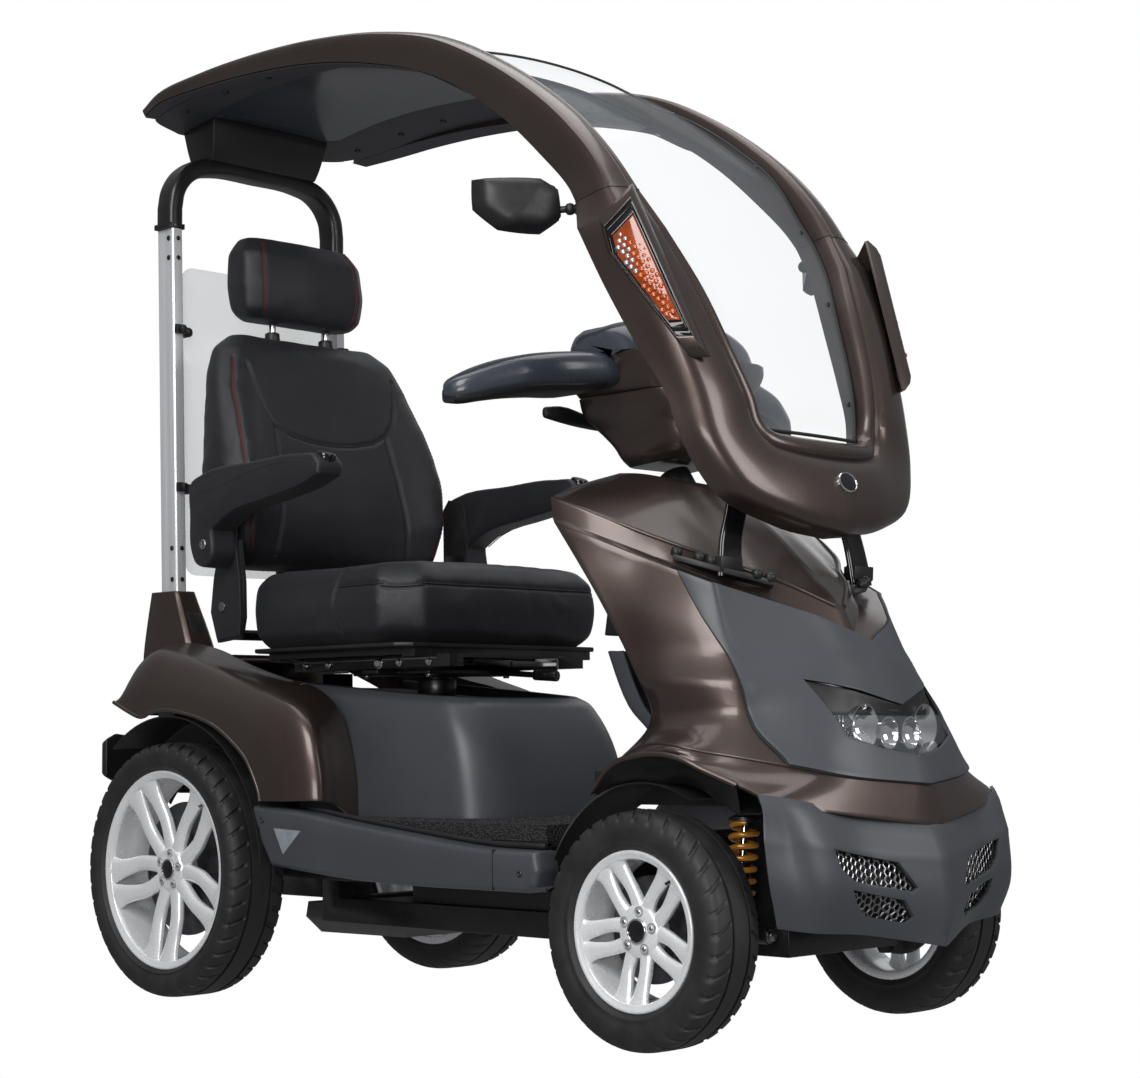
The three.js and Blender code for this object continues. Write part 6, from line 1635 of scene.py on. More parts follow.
def dsec(x, y0, y1, z0, z1):
    return [(x, y0, z0), (x, y1, z0), (x, y1 - 2, z0 + (z1 - z0) * 0.45), (x, y1 - 12, z1 - 10), (x, y0 + (y1 - y0) * 0.62, z1 - 2), (x, y0 + (y1 - y0) * 0.4, z1), (x, y0 + 22, z1 - 14), (x, y0 + 5, z1 - 30)]


DH = [(-152, -862, -800, 1002, 1022), (-146, -884, -776, 1001.5, 1034), (-120, -906, -742, 1001.5, 1048), (-60, -926, -712, 1001.5, 1062), (0, -934, -706, 1001.5, 1068), (60, -926, -712, 1001.5, 1062), (120, -906, -742, 1001.5, 1048), (146, -884, -776, 1001.5, 1034), (152, -862, -800, 1002, 1022)]
m = M()
m.loft(dense2(np.array([dsec(*q_) for q_ in DH], float), 5, 3, {}, {0, 1}, True), 0)
make("dash_cowl", m, [MAT["grey_gloss"]], "tiller", "dash_hood", bevel=1.0, angle=40, sharp=34)
m = M()
m.box(-86, 86, -800, -716, 1012, 1014)
m.loft([[(-80, -707, 1014), (80, -707, 1014), (70, -722, 1044), (-70, -722, 1044)], [(-80, -703.5, 1014), (80, -703.5, 1014), (70, -718.5, 1044.5), (-70, -718.5, 1044.5)]], 0)
for i in range(5):
    m.lathe([(0, 0), (5.5, 0), (5.5, 2.2), (4.6, 3), (0, 3)], 20, (-56 + i * 28, -706, 1020), (0, 1, 0.3), 1, False)
m.box(-30, 30, -712, -709, 1026, 1042, 2)
make("dash_display", m, [MAT["black_gloss"], MAT["steel_dark"], MAT["mirror"]], "tiller", bevel=0.6)


def ssec(y0, y1, z0, z1, w_, c):
    return [(-w_, y0 + c, z0), (-w_ + c * 0.3, y0 + c * 0.3, z0), (-w_ + c, y0, z0), (0, y0 - 3, z0), (w_ - c, y0, z0), (w_ - c * 0.3, y0 + c * 0.3, z0), (w_, y0 + c, z0),
            (w_, y1 - c, z1), (w_ - c * 0.3, y1 - c * 0.3, z1), (w_ - c, y1, z1), (-w_ + c, y1, z1), (-w_ + c * 0.3, y1 - c * 0.3, z1), (-w_, y1 - c, z1)]


SS = [ssec(-914, -804, 842, 836, 66, 20), ssec(-930, -794, 858, 850, 77, 23), ssec(-934, -786, 874, 866, 83, 24), ssec(-932, -762, 898, 890, 87, 24), ssec(-938, -735, 926, 922, 101, 26), ssec(-928, -734, 945, 945, 110, 28)]
m = M()
m.loft(dense(np.array(SS, float), 5, {3}), 0)
make("tiller_casing", m, [MAT["paint"]], "tiller", "tiller_shroud", bevel=1.6, angle=34, sharp=34)
# black rear half, brown flare under the dash, adjusting knob
m = M()
m.loft(dense(np.array([[(-w_, y_ + 4, z_), (w_, y_ + 4, z_), (w_, y_ - 14, z_), (-w_, y_ - 14, z_)] for w_, y_, z_ in ((44, -804, 838), (54, -790, 858), (56, -782, 874), (58, -760, 896), (70, -737, 922), (74, -736, 944))], float), 3), 0)
make("tiller_rear_cover", m, [MAT["grey"]], "tiller", bevel=1.4, angle=40)
m = M()
m.loft(dense(np.array([ssec(-926, -736, 945.5, 945.5, 112, 30), ssec(-932, -728, 966, 966, 128, 34), ssec(-934, -724, 984, 984, 138, 36), ssec(-930, -728, 1000.5, 1000.5, 144, 38)], float), 4), 0)
make("dash_lower_casing", m, [MAT["paint"]], "tiller", bevel=1.4, angle=36, sharp=34)
m = M()
m.lathe([(0, 0), (10, 0), (10, 10), (8, 12), (0, 12)], 8, (0, -781, 862), (0, 1, -0.2), 0, False)
make("tilt_knob", m, [MAT["black"]], "tiller", bevel=0.8)
# delta lever
TL = [(-139, -714, -702, 916, 934), (-112, -718, -706, 911, 937), (-50, -716, -702, 907, 929), (0, -716, -701, 906, 928), (50, -716, -702, 907, 929), (112, -718, -706, 911, 937), (139, -714, -702, 916, 934)]
m = M()
m.loft(dense(np.array([superring(x_, (a_ + b_) / 2, (c_ + d_) / 2, (b_ - a_) / 2, (d_ - c_) / 2, 16, 2.6) for x_, a_, b_, c_, d_ in TL], float), 4), 0, dome=5)
make("delta_lever", m, [MAT["black"]], "throttle", "throttle_lever", sharp=50)

# ------------------------------------------------------------------ mast
lean = lambda z: (z - 690) * 0.029
for side, s in (("right", -1), ("left", 1)):
    m = M()
    secs = []
    for z_ in (549.3, 690, 1352):
        y0 = 165 + max(0, lean(z_))
        x0, x1, y1, c = s * 178, s * 201, y0 + 48, 3.2
        a, b2 = (x0 + s * c, x1 - s * c)
        g = 0.25
        secs.append([(a, y0, z_), (b2, y0, z_), (x1, y0 + c, z_), (x1, y0 + 19, z_), (x1 - s * g, y0 + 20, z_), (x1 - s * g, y0 + 28, z_), (x1, y0 + 29, z_), (x1, y1 - c, z_), (b2, y1, z_), (a, y1, z_), (x0, y1 - c, z_), (x0, y0 + c, z_)])
    m.loft(secs, 0)
    make("mast_upright_" + side, m, [MAT["anodised"]], "chassis", "mast_post_" + side, bevel=0.7, angle=40, sharp=30)
    m = M()
    for z_ in (712, 768, 1298, 1334):
        y0 = 165 + lean(z_)
        m.bolt((s * 200.8, y0 + 12, z_), (s, 0, 0), 4.6, 2.4, 0, "cap")
        m.bolt((s * 189, y0 + 0.2, z_), (0, -1, 0), 4.2, 2.2, 0, "cap")
    # clips that hold the clear back sheet
    for z_ in (878, 1166):
        y0 = 165 + lean(z_)
        m.loft([[(s * 181, y0 - 8, z_ - 8), (s * 199, y0 - 8, z_ - 8), (s * 199, y0 - 8, z_ + 8), (s * 181, y0 - 8, z_ + 8)], [(s * 181, y0 + 1, z_ - 8), (s * 199, y0 + 1, z_ - 8), (s * 199, y0 + 1, z_ + 8), (s * 181, y0 + 1, z_ + 8)]], 0)
        m.tube([(s * 190, y0 - 5, z_), (s * 176, y0 + 4, z_), (s * 160, y0 + 14, z_)], 5.2, 12, 0)
        m.lathe([(0, 0), (9, 0), (9, 5), (7.6, 6.4), (0, 6.4)], 24, (s * 157, y0 + 19.8, z_), (0, -1, 0), 0, False)
        m.lathe([(0, 0), (9, 0), (9, 4), (7.6, 5), (0, 5)], 24, (s * 157, y0 + 26.4, z_), (0, 1, 0), 0, False)
        m.lathe([(0, 0), (6.4, 0), (6.4, 9), (5.2, 10.5), (0, 10.5)], 20, (s * 190, y0 - 8, z_), (0, -1, 0), 0, False)
    make("mast_fittings_" + side, m, [MAT["black"]], "chassis", bevel=0.8)

path = [[-190, 208, 1353], [-190, 208, 1392], [-184, 207, 1425], [-166, 206, 1453], [-138, 204, 1472], [-100, 203, 1481], [0, 203, 1484], [100, 203, 1481], [138, 204, 1472], [166, 206, 1453], [184, 207, 1425], [190, 208, 1392], [190, 208, 1353]]
P = dense(np.array([[p] for p in path], float), 5, {1, 11}).reshape(-1, 3)
T = np.gradient(P, axis=0)
T /= np.linalg.norm(T, axis=1, keepdims=True)
rings = []
for i in range(len(P)):
    nx, nz = -T[i][2], T[i][0]
    ring = []
    for j in range(24):
        a = 2 * pi * j / 24
        u = math.copysign(abs(math.cos(a)) ** 0.62, math.cos(a)) * 16.6
        w_ = math.copysign(abs(math.sin(a)) ** 0.62, math.sin(a)) * 24.6
        ring.append((P[i][0] + nx * u, P[i][1] + w_, P[i][2] + nz * u))
    rings.append(ring)
m = M()
m.loft(rings, 0)
m.loft(dense(np.array([[(-120, 172, 1488), (120, 172, 1488), (122, 236, 1488), (-122, 236, 1488)], [(-124, 166, 1504), (124, 166, 1504), (125, 240, 1504), (-125, 240, 1504)], [(-134, 152, 1562), (134, 152, 1562), (134, 245, 1550), (-134, 245, 1550)]], float), 4), 0)
make("mast_hoop_moulding", m, [MAT["hoop"]], "chassis", "mast_hoop", bevel=1.2, angle=50, sharp=44)
m = M()
for s in (-1, 1):
    for x_ in (60, 100):
        m.bolt((s * x_, 205, 1487.6), (0, 0, -1), 6, 4, 0, "hex")
    m.loft([[(s * 207.5, 186, 1352.4), (s * 172.5, 186, 1352.4), (s * 172.5, 232, 1352.4), (s * 207.5, 232, 1352.4)], [(s * 207.5, 186, 1362), (s * 172.5, 186, 1362), (s * 172.5, 232, 1362), (s * 207.5, 232, 1362)]], 0)
make("hoop_collars", m, [MAT["black"]], "chassis", bevel=1.2)

# clear back sheet with rounded corners
out = []
for cx_, cz_, a0 in ((140, 748, -90), (140, 1262, 0), (-140, 1262, 90), (-140, 748, 180)):
    for k_ in range(9):
        a = math.radians(a0 + k_ * 90 / 8)
        out.append((cx_ + 26 * math.cos(a), cz_ + 26 * math.sin(a)))
m = M()
m.loft([[(x_, 186 + lean(z_), z_) for x_, z_ in out], [(x_, 189.8 + lean(z_), z_) for x_, z_ in out]], 0)
make("back_sheet", m, [MAT["clear2"]], "chassis", "rear_screen", bevel=0.5, sharp=30)

# ------------------------------------------------------------------ canopy
CANOPY = np.array([
    [[-262, 186, 1546], [-266, 188, 1556], [-236, 196, 1560], [-234, 194, 1550]],
    [[-281, 120, 1552], [-284, 118, 1568], [-247, 118, 1576], [-245, 120, 1558]],
    [[-284, 0, 1554], [-287, 0, 1576], [-247, 0, 1585], [-245, 0, 1560]],
    [[-284, -146, 1549], [-287, -146, 1577], [-245, -146, 1586], [-243, -146, 1554]],
    [[-283, -304, 1533], [-287, -308, 1567], [-243, -310, 1576], [-241, -304, 1536]],
    [[-280, -468, 1498], [-285, -484, 1540], [-239, -487, 1548], [-237, -468, 1500]],
    [[-279, -578, 1462], [-284, -601, 1507], [-236, -605, 1514], [-234, -578, 1464]],
    [[-278, -676, 1411], [-283, -708, 1453], [-232, -712, 1459], [-230, -676, 1413]],
    [[-277, -762, 1350], [-281, -800, 1393], [-228, -805, 1397], [-226, -762, 1352]],
    [[-276, -838, 1281], [-280, -883, 1324], [-224, -888, 1327], [-222, -840, 1284]],
    [[-277, -896, 1222], [-279, -947, 1250], [-221, -953, 1252], [-217, -900, 1226]],
    [[-283, -916, 1196], [-284, -972, 1208], [-217, -980, 1212], [-213, -924, 1198]],
    [[-311, -946, 1150], [-296, -1018, 1152], [-208, -1024, 1152], [-206, -966, 1144]],
    [[-309, -998, 1062], [-295, -1070, 1066], [-192, -1082, 1060], [-190, -1028, 1052]],
    [[-295, -1050, 968], [-280, -1108, 970], [-170, -1122, 960], [-172, -1072, 956]],
    [[-279, -1086, 900], [-263, -1130, 900], [-150, -1136, 904], [-156, -1094, 900]],
    [[-262, -1100, 832], [-247, -1142, 832], [-136, -1136, 872], [-138, -1102, 868]],
    [[-214, -1114, 764], [-203, -1158, 766], [-116, -1140, 858], [-116, -1108, 856]],
    [[-112, -1128, 724], [-108, -1176, 728], [-78, -1142, 853], [-78, -1110, 851]],
    [[0, -1134, 708], [0, -1184, 712], [0, -1143, 851], [0, -1112, 849]],
], float)
for _i, _w in zip(range(12, 19), (6, 20, 22, 20, 16, 10, 4)):
    CANOPY[_i, :, 0] += _w
    CANOPY[_i, :, 1] += _w


def frame_ring(q, i):
    ob, of, inf, ib = q
    back = (ob + ib) / 2
    mid = (of + inf) / 2
    wide = np.linalg.norm(inf - of)
    o = mid - back
    o /= max(np.linalg.norm(o), 1e-9)
    L = lambda a, b, t: a + (b - a) * t
    crown = wide * 0.105
    # a bead runs beside the screen; the outer shoulder is round
    return [ob, L(ob, of, 0.45), L(ob, of, 0.82), L(of, inf, 0.06) + o * crown * 0.35, L(of, inf, 0.22) + o * crown * 0.9, L(of, inf, 0.5) + o * crown * 1.15, L(of, inf, 0.74) + o * crown * 0.75,
            L(of, inf, 0.80) + o * crown * 0.15, L(of, inf, 0.845) + o * crown * 0.55, L(of, inf, 0.93) + o * crown * 0.6, L(inf, ib, 0.06), L(inf, ib, 0.5), ib, L(ib, ob, 0.3), back, L(ib, ob, 0.7)]


RG = np.array([frame_ring(q, i) for i, q in enumerate(CANOPY)])
RD = dense2(RG, 6, 2, {11, 12}, {0, 7, 12}, True)
left = RD[:-1][::-1] * MIRX
allr = np.concatenate([RD, left])
m = M()
m.loft(allr, 0)
# outline of a signal-lamp recess on the flank of each pillar; nothing is cut with it
lampq = [(-1028, 1158), (-1000, 1128), (-1014, 1096), (-1094, 996), (-1112, 996)]
lc = []
make("canopy_hoop", m, [MAT["paint"]], "chassis", "canopy_frame", sharp=32)

# joint line across each side rail
m = M()
for s in (-1, 1):
    for i in (11,):
        r_ = RG[i]
        ringp = dense(np.array([[p] for p in r_], float), 3, {0, 7, 12}, True).reshape(-1, 3)
        c_ = ringp.mean(0)
        ringp = c_ + (ringp - c_) * 1.004
        ringp[:, 0] *= -s
        m.tube(ringp, 0.9, 6, 0, closed=True)
make("pillar_joint", m, [MAT["rubber"]], "chassis")

# clear front screen, brow included, with a dark seal
rows = []
for i in range(17, 5, -1):
    q = CANOPY[i]
    f_ = 0.75 if i <= 9 else 0.55
    ed = q[3] + (q[2] - q[3]) * f_
    w_ = min(abs(q[2][0]), abs(q[3][0])) - (4 if i == 17 else 2)
    d_ = np.array([0, q[2][1] - q[3][1], q[2][2] - q[3][2]])
    d_ /= np.linalg.norm(d_)
    crown = 3 if i >= 16 else 10 if i >= 14 else 18 if i >= 12 else 22
    rows.append([(u * w_, ed[1] + d_[1] * crown * (1 - u * u), ed[2] + d_[2] * crown * (1 - u * u) + (4 if i == 17 else 0)) for u in (-1, -0.5, 0, 0.5, 1)])
WG = dense2(np.array(rows, float), 6, 8)
m = M()
m.shell(WG, 3.6, 0, (0, -400, 1000))
make("front_screen", m, [MAT["clear"]], "chassis", "windscreen", fix=False, sharp=60)
m = M()
edge = np.concatenate([WG[::-1, 0], WG[0, 1:-1], WG[:, -1]])
m.tube(edge, 2.6, 10, 0)
m.tube(WG[-1], 2.2, 8, 0)
make("screen_seal", m, [MAT["rubber"]], "chassis", sharp=60)
m = M()
for i in (14, 26, 38, 50, 62):
    for s, c_ in ((-1, 1), (1, -2)):
        p = WG[min(i, len(WG) - 2), c_ if s < 0 else c_]
        n_ = normals(WG)[min(i, len(WG) - 2), c_]
        if np.dot(n_, p - np.array([0, -400, 1000])) < 0:
            n_ = -n_
        m.bolt(p + n_ * 0.2 + np.array([-s * 6, 0, 0]), n_, 4.2, 2.6, 0, "cap")
make("screen_screws", m, [MAT["black"]], "chassis", sharp=40)

# roof: outer skin and soft-textured lining
prof = [[251, 1553, 140, 0], [216, 1556, 214, 5], [160, 1558, 236, 12], [60, 1565, 243, 18], [-60, 1568, 243, 22], [-180, 1563, 241, 24], [-310, 1551, 239, 24], [-430, 1529, 236, 24], [-520, 1503, 234, 23], [-592, 1476, 231, 22]]
RF = dense2(np.array([[(u * w_, y_, z_ + c_ * (1 - u * u)) for u in (-1, -0.6, 0, 0.6, 1)] for y_, z_, w_, c_ in prof], float), 6, 8)
m = M()
m.shell(RF, 4.0, 0, (0, 0, 0))
make("roof_skin", m, [MAT["grey_gloss"]], "chassis", "canopy_roof", fix=False, sharp=60)
LN = RF.copy()
LN[..., 2] -= 5.0
LN[..., 0] *= 0.992
# a shallow pressed panel in the lining
Y, X = LN[..., 1], LN[..., 0]
press = np.clip((150 - np.abs(X)) / 14, 0, 1) * np.clip((150 - Y) / 14, 0, 1) * np.clip((Y + 470) / 14, 0, 1)
LN[..., 2] += press * 2.6
m = M()
m.shell(LN, 3.0, 0, (0, 0, 5000))
make("roof_lining", m, [MAT["liner"]], "chassis", fix=False, sharp=60)
EG = []
for q in CANOPY[0:8]:
    n_ = np.array([0, 0, -2.6])
    EG.append([(q[3] + (q[0] - q[3]) * t_ + n_) for t_ in (-0.06, 0.3, 0.62, 0.93)])
EG = dense2(np.array(EG), 6, 3)
for s in (-1, 1):
    m = M()
    g_ = EG.copy()
    g_[..., 0] *= -s
    m.shell(g_, 1.6, 0, (0, 0, 5000))
    make("lining_edge_" + ("right" if s < 0 else "left"), m, [MAT["liner"]], "chassis", fix=False, sharp=60)
m = M()
for s in (-1, 1):
    for y_ in (150, 20, -110, -240, -370, -490):
        i = int(np.argmin(np.abs(LN[:, 0, 1] - y_)))
        c_ = 3 if s < 0 else -4
        p = LN[i, c_]
        m.lathe([(0, 0), (6, 0), (5.6, 2.0), (3, 3.2), (0, 3.4)], 20, p + np.array([0, 0, -0.4]), (0, 0, -1), 0, False)
for x_, y_ in ((-60, -520), (60, -520), (-90, 180), (90, 180)):
    i = int(np.argmin(np.abs(LN[:, 0, 1] - y_)))
    j = int(np.argmin(np.abs(LN[i, :, 0] - x_)))
    m.lathe([(0, 0), (6, 0), (5.6, 2.0), (3, 3.2), (0, 3.4)], 20, LN[i, j] + np.array([0, 0, -0.4]), (0, 0, -1), 0, False)
make("lining_studs", m, [MAT["black"]], "chassis", sharp=40)
m = M()
m.tube(RF[-1] + np.array([0, -1.0, -1.5]), 2.6, 8, 0)
m.tube(np.concatenate([RF[::-1, 0][-8:], RF[0], RF[:, -1][:8]]) + np.array([0, 0, -2.0]), 3.2, 10, 0)
make("roof_edge_seal", m, [MAT["rubber"]], "chassis", sharp=60)

# struts, brackets, lamps and mirrors
def draw(m):
    for i, v in enumerate(m.v):
        v = np.array(v, float)
        w_ = np.interp(v[:, 2], [640, 700, 800], [21, 19, 14])
        v[:, 2] += np.interp(v[:, 2], [690, 730], [2.5, 0])
        v[:, 0] -= np.sign(v[:, 0]) * w_
        v[:, 1] += w_
        m.v[i] = v


for side, s in (("right", -1), ("left", 1)):
    SP = [(173, -1106, 648, 25), (168, -1103, 676, 24), (163, -1100, 700, 23), (147, -1097, 745, 22), (138, -1099, 800, 21)]
    m = M()
    rr = []
    for x_, y_, z_, w_ in SP:
        ring = []
        for j in range(20):
            a = 2 * pi * j / 20
            u = math.copysign(abs(math.cos(a)) ** 0.5, math.cos(a)) * w_
            v_ = math.copysign(abs(math.sin(a)) ** 0.7, math.sin(a)) * 5.4 * (1.0 if abs(math.cos(a)) > 0.45 else 0.72)
            ring.append((s * (x_ + u), y_ + v_, z_))
        rr.append(ring)
    m.loft(dense(np.array(rr, float), 6), 0)
    draw(m)
    make("canopy_strut_bar_" + side, m, [MAT["black_gloss"]], "chassis", "canopy_strut_" + side, sharp=50)
    foot = [(232, -1052, 676), (200, -1106, 658), (128, -1150, 638), (116, -1136, 634), (190, -1086, 656), (218, -1042, 676)]
    m = M()
    m.loft([[(s * x_, y_, z_ - 4.5) for x_, y_, z_ in foot], [(s * x_, y_, z_ + 4.5) for x_, y_, z_ in foot]], 0)
    for x_, y_, z_ in ((222, -1050, 681), (206, -1078, 673), (196, -1092, 668), (146, -1134, 649), (128, -1143, 644)):
        m.lathe([(0, -3), (8, -3), (8.5, 0), (8.5, 5), (6.5, 8.5), (0, 9.5)], 24, (s * x_, y_, z_), (s * 0.15, -0.3, 1), 0, False)
    m.box(min(s * 150, s * 196), max(s * 150, s * 196), -1112, -1090, 655, 676, 0)
    draw(m)
    make("strut_bracket_" + side, m, [MAT["black"]], "chassis", bevel=1.6, angle=36)

    # signal lamp: dark bezel, clear edge, amber cells
    q4 = np.array([[-290, -1036, 1168], [-307, -1006, 1136], [-306, -1016, 1104], [-287, -1108, 990], [-275, -1124, 990]], float)
    for p in q4:
        w_ = np.interp(p[2], [990, 1104, 1136, 1168], [22, 13, 8, 4])
        p[:2] += w_
    out_ = np.array([-0.9, -0.42, 0.05])
    out_ /= np.linalg.norm(out_)
    cen = q4.mean(0)
    m = M()
    lay = [(1.03, 0.5), (1.03, 3.5), (0.98, 6.4), (0.90, 6.6), (0.885, 4.4), (0.88, 3.0)]
    rr = [[(cen + (p - cen) * k_ + out_ * d_) for p in q4] for k_, d_ in lay]
    v = np.array(rr).reshape(-1, 3)
    f = grid_faces(len(lay), 5, True)
    f.append(tuple(5 * (len(lay) - 1) + i for i in range(5)))
    f.append(tuple(range(5))[::-1])
    m.add(v, f, 0)
    lens = M()
    rr = [[(cen + (p - cen) * k_ + out_ * d_) for p in q4] for k_, d_ in ((0.87, 3.4), (0.87, 7.2), (0.83, 8.8))]
    v = np.array(rr).reshape(-1, 3)
    f = grid_faces(3, 5, True)
    f += [tuple(10 + i for i in range(5)), tuple(range(5))[::-1]]
    lens.add(v, f, 0)
    # honeycomb of small domes
    ax1 = q4[3] - q4[0]
    ax1 -= out_ * np.dot(ax1, out_)
    ax1 /= np.linalg.norm(ax1)
    ax2 = np.cross(out_, ax1)
    pol = [(np.dot(p - cen, ax1) * 0.80, np.dot(p - cen, ax2) * 0.74) for p in q4]
    amb = M()
    side_sign = 1 if np.dot(ax2, np.array([0, 1.0, 0])) > 0 else -1
    for i in range(-16, 17):
        for j in range(-6, 7):
            a_, b_ = i * 8.4, (j + 0.5 * (i % 2)) * 9.2
            if inside(a_, b_, pol):
                c_ = cen + ax1 * a_ + ax2 * b_ + out_ * 8.6
                edge_ = b_ * side_sign > 0.30 * max(abs(p_[1]) for p_ in pol) and a_ < 70
                amb.lathe([(0, -2), (4.5, -2), (4.3, 0.4), (3.3, 1.8), (1.7, 2.5), (0, 2.7)], 6, c_, out_, 1 if edge_ else 0, False)
    for mm, nm, mt, sl, rp in ((m, "bezel_ring_", [MAT["black_gloss"]], "black_plastic", ()), (lens, "signal_lens_", [MAT["amber"]], "amber", "signal_lamp_" + side), (amb, "signal_cells_", [MAT["amber_cell"], MAT["reflector"]], "amber", ())):
        mm2 = mm if s < 0 else mirrored(mm)
        make(nm + side, mm2, mt, "chassis", rp, bevel=0.6 if nm != "signal_cells_" else 0, seg=1, sharp=30)
    # faceted housing that carries the lamp
    m = M()
    rr = [[(cen + (p - cen) * k_ + out_ * d_) for p in q4] for k_, d_ in ((1.44, -16), (1.30, -2.0), (1.16, 4.6), (1.13, 4.4), (1.13, -5.0), (1.42, -22))]
    v = np.array(rr).reshape(-1, 3)
    f = grid_faces(6, 5, True)
    f += [(25 + i, 25 + (i + 1) % 5, (i + 1) % 5, i) for i in range(5)]
    m.add(v, f, 0)
    make("lamp_pod_" + side, m if s < 0 else mirrored(m), [MAT["paint"]], "chassis", bevel=1.4, sharp=24, angle=20)
    # black surround
    m = M()
    rr = [[(cen + (p - cen) * k_ + out_ * d_) for p in q4] for k_, d_ in ((1.16, -1.0), (1.13, 2.6), (1.04, 3.0), (1.03, 1.0))]
    v = np.array(rr).reshape(-1, 3)
    f = grid_faces(4, 5, True)
    f += [(15 + i, 15 + (i + 1) % 5, (i + 1) % 5, i) for i in range(5)]
    m.add(v, f, 0)
    make("lamp_surround_" + side, m if s < 0 else mirrored(m), [MAT["black_gloss"]], "chassis", bevel=0.8, sharp=30)

    # wing mirror
    def place(r):
        r = np.array(r, float)
        u, v_ = (r[:, 0] + 407) * 1.03, (r[:, 1] + 940) * 1.03
        ca_, sa_ = math.cos(-0.13), math.sin(-0.13)
        return np.stack([-340 + u * ca_ - v_ * sa_, -851 + u * sa_ + v_ * ca_, 1195 + (r[:, 2] - 1170) * 1.1], 1)

    A = place([[-352, -966, 1150], [-372, -946, 1132], [-430, -926, 1134], [-462, -910, 1160], [-462, -908, 1200], [-380, -940, 1208], [-356, -962, 1196]])
    B = place([[-352, -974, 1156], [-374, -974, 1140], [-432, -960, 1140], [-458, -942, 1162], [-458, -938, 1196], [-382, -970, 1202], [-358, -976, 1188]])
    A = dense(A[:, None, :], 4, {}, True).reshape(-1, 3) * 0.22 + dense(A[:, None, :], 4, set(range(7)), True).reshape(-1, 3) * 0.78
    B = dense(B[:, None, :], 4, {}, True).reshape(-1, 3) * 0.22 + dense(B[:, None, :], 4, set(range(7)), True).reshape(-1, 3) * 0.78
    ca, cb = A.mean(0), B.mean(0)
    mid = (A + B) / 2
    cm = mid.mean(0)
    d_ab = (cb - ca) / np.linalg.norm(cb - ca)
    rr = [ca + (A - ca) * 0.93 - d_ab * -1.2, ca + (A - ca) * 0.985, ca + (A - ca) * 1.0 + d_ab * 2, mid * 0.5 + A * 0.5, B * 0.6 + mid * 0.4, cb + (B - cb) * 0.92, cb + (B - cb) * 0.74 + d_ab * 4.5, cb + (B - cb) * 0.42 + d_ab * 7.0, cb + (B - cb) * 0.12 + d_ab * 8.0]
    m = M()
    m.loft(np.array(rr), 0)
    gA = ca + (A - ca) * 0.88 - d_ab * 0.6
    m.loft(np.array([gA, gA + d_ab * 1.6]), 1)
    m.tube([(-277, -903, 1189), (-287, -886, 1189), (-297, -867, 1188)], 5.2, 14, 0)
    m.lathe([(0, -8), (5, -7), (8.2, -4), (9, 0), (8.2, 4), (5, 7), (0, 8)], 24, (-278, -900, 1189), (-0.5, 0.85, 0), 0, False)
    m.lathe([(5, -5), (9.5, -5), (10, 0), (9.5, 5), (5, 5)], 24, (-291, -878, 1188.5), (-0.5, 0.85, 0), 0)
    make("wing_mirror_" + side, m if s < 0 else mirrored(m), [MAT["black"], MAT["mirror"]], "mirror_" + ("r" if s < 0 else "l"), "mirror_" + side, sharp=40)
    # swivel foot of the mirror, on the pillar
    m = M()
    m.lathe([(0, -6), (12, -6), (12, 1), (10, 5), (7, 9), (0, 10)], 28, (-271, -915, 1188), (-0.35, 0.92, 0.05), 0, False)
    make("mirror_foot_" + side, m if s < 0 else mirrored(m), [MAT["black"]], "chassis", sharp=40)

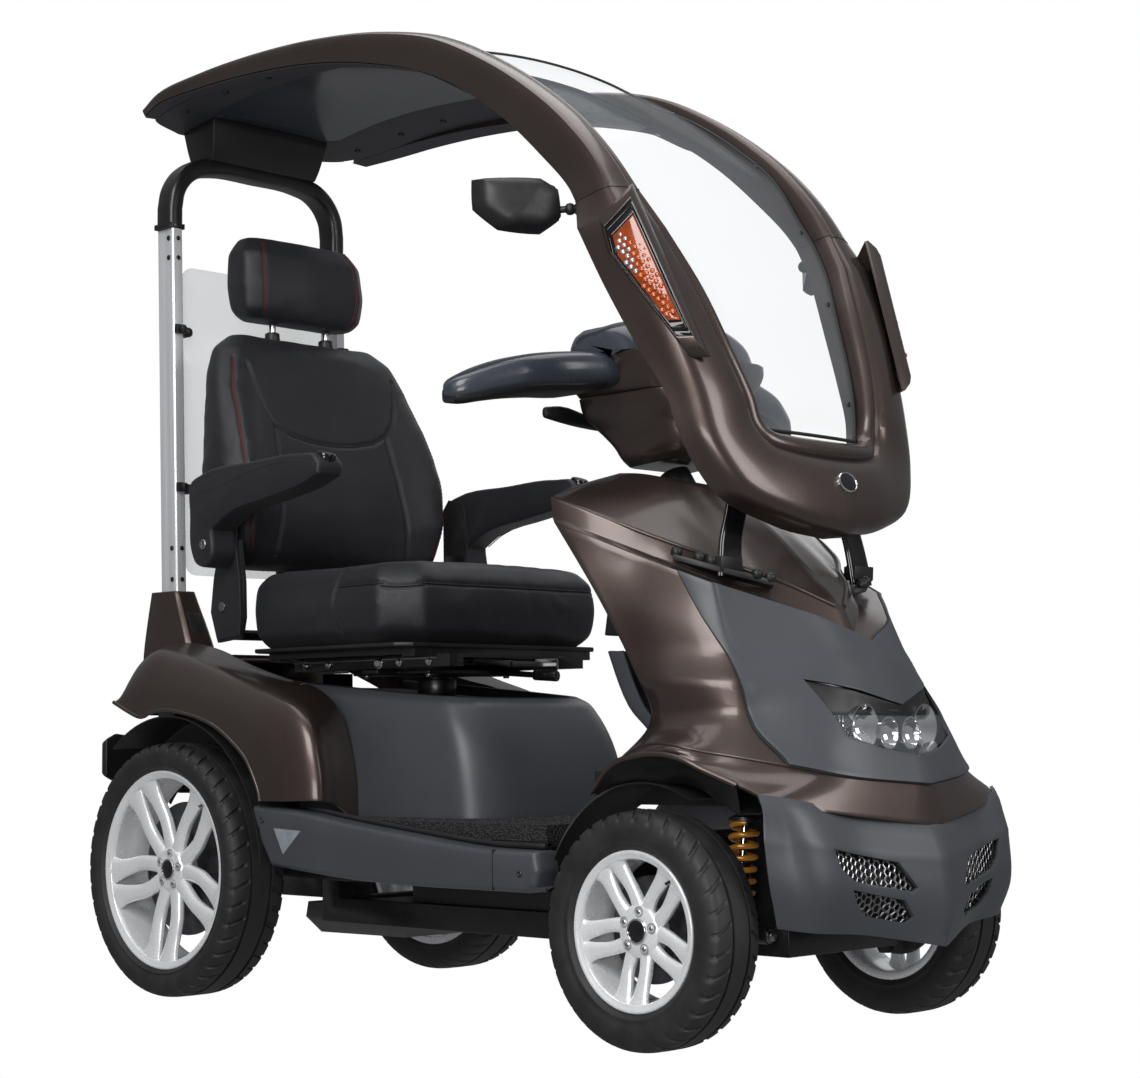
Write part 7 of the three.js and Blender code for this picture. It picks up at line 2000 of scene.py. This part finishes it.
# blank oval plate on the fascia, without any mark
n_ = np.array([0, -0.959, 0.283])
up_ = np.array([0, 0.283, 0.959])
pc = np.array([0, -1180.2, 787.0])
rr = []
for k_, d_ in ((1.0, -6), (1.0, 1.6), (0.95, 2.8), (0.88, 2.8), (0.85, 1.8)):
    rr.append([pc + n_ * d_ + np.array([1.0, 0, 0]) * 21 * k_ * math.cos(a_) + up_ * 15.5 * k_ * math.sin(a_) for a_ in np.linspace(0, 2 * pi, 48, endpoint=False)])
m = M()
m.loft(rr, 0)
rr = []
for k_, d_ in ((0.86, 0.5), (0.86, 1.9), (0.6, 2.4), (0.2, 2.6)):
    rr.append([pc + n_ * d_ + np.array([1.0, 0, 0]) * 21 * k_ * math.cos(a_) + up_ * 15.5 * k_ * math.sin(a_) for a_ in np.linspace(0, 2 * pi, 48, endpoint=False)])
m.loft(rr, 1)
make("blank_plate", m, [MAT["chrome"], MAT["black_gloss"]], "chassis", sharp=34)


def sweep(v):
    a_ = np.abs(v[:, 0])
    t_ = np.clip((-v[:, 1] - 870) / 150, 0, 1)
    low = 46 * np.minimum(1.05, (a_ / 300) ** 1.8)
    high = np.interp(v[:, 2], [500, 548, 620, 680, 760, 800], [18, 26, 24, 20, 10, 0]) * np.minimum(1, a_ / 140)
    k_ = np.clip((v[:, 2] - 460) / 40, 0, 1)
    w_ = (low + (high - low) * k_) * t_ * t_ * (3 - 2 * t_)
    v[:, 1] += w_ * np.interp(-v[:, 1], [1190, 1260], [1, 0.2])
    v[:, 0] -= np.sign(v[:, 0]) * w_
    return v


def tuck(v):
    a_ = np.abs(v[:, 0])
    v[:, 0] -= np.sign(v[:, 0]) * 48 * np.minimum(1.04, (a_ / 296) ** 1.3)
    v[:, 1] += 8 * np.minimum(1, a_ / 300)
    return v


def reshape_mesh(o, fn):
    n = len(o.data.vertices)
    c_ = np.empty(n * 3, np.float32)
    o.data.vertices.foreach_get("co", c_)
    c_ = c_.reshape(-1, 3).astype(float) * 1000
    c_[:, 1] -= SY
    c_ = fn(c_)
    c_[:, 1] += SY
    o.data.vertices.foreach_set("co", (c_ * 0.001).astype(np.float32).reshape(-1))
    o.data.update()


SWEPT = ("cowl_top", "cowl_band", "leg_shield_moulding", "cowl_rim_", "arch_lip_", "arch_crease_", "nose_moulding", "nose_joint", "lamp_housing", "lamp_reflectors", "lamp_cover", "lamp_brow", "arch_liner_")
for o in list(bpy.data.objects):
    if o.type == "MESH" and o.name.startswith(SWEPT):
        reshape_mesh(o, sweep)
    if o.type == "MESH" and o.name.startswith(("front_bumper_moulding", "grille_cups", "grille_nets")):
        reshape_mesh(o, tuck)

for c in CUTTERS:
    bpy.data.objects.remove(c)
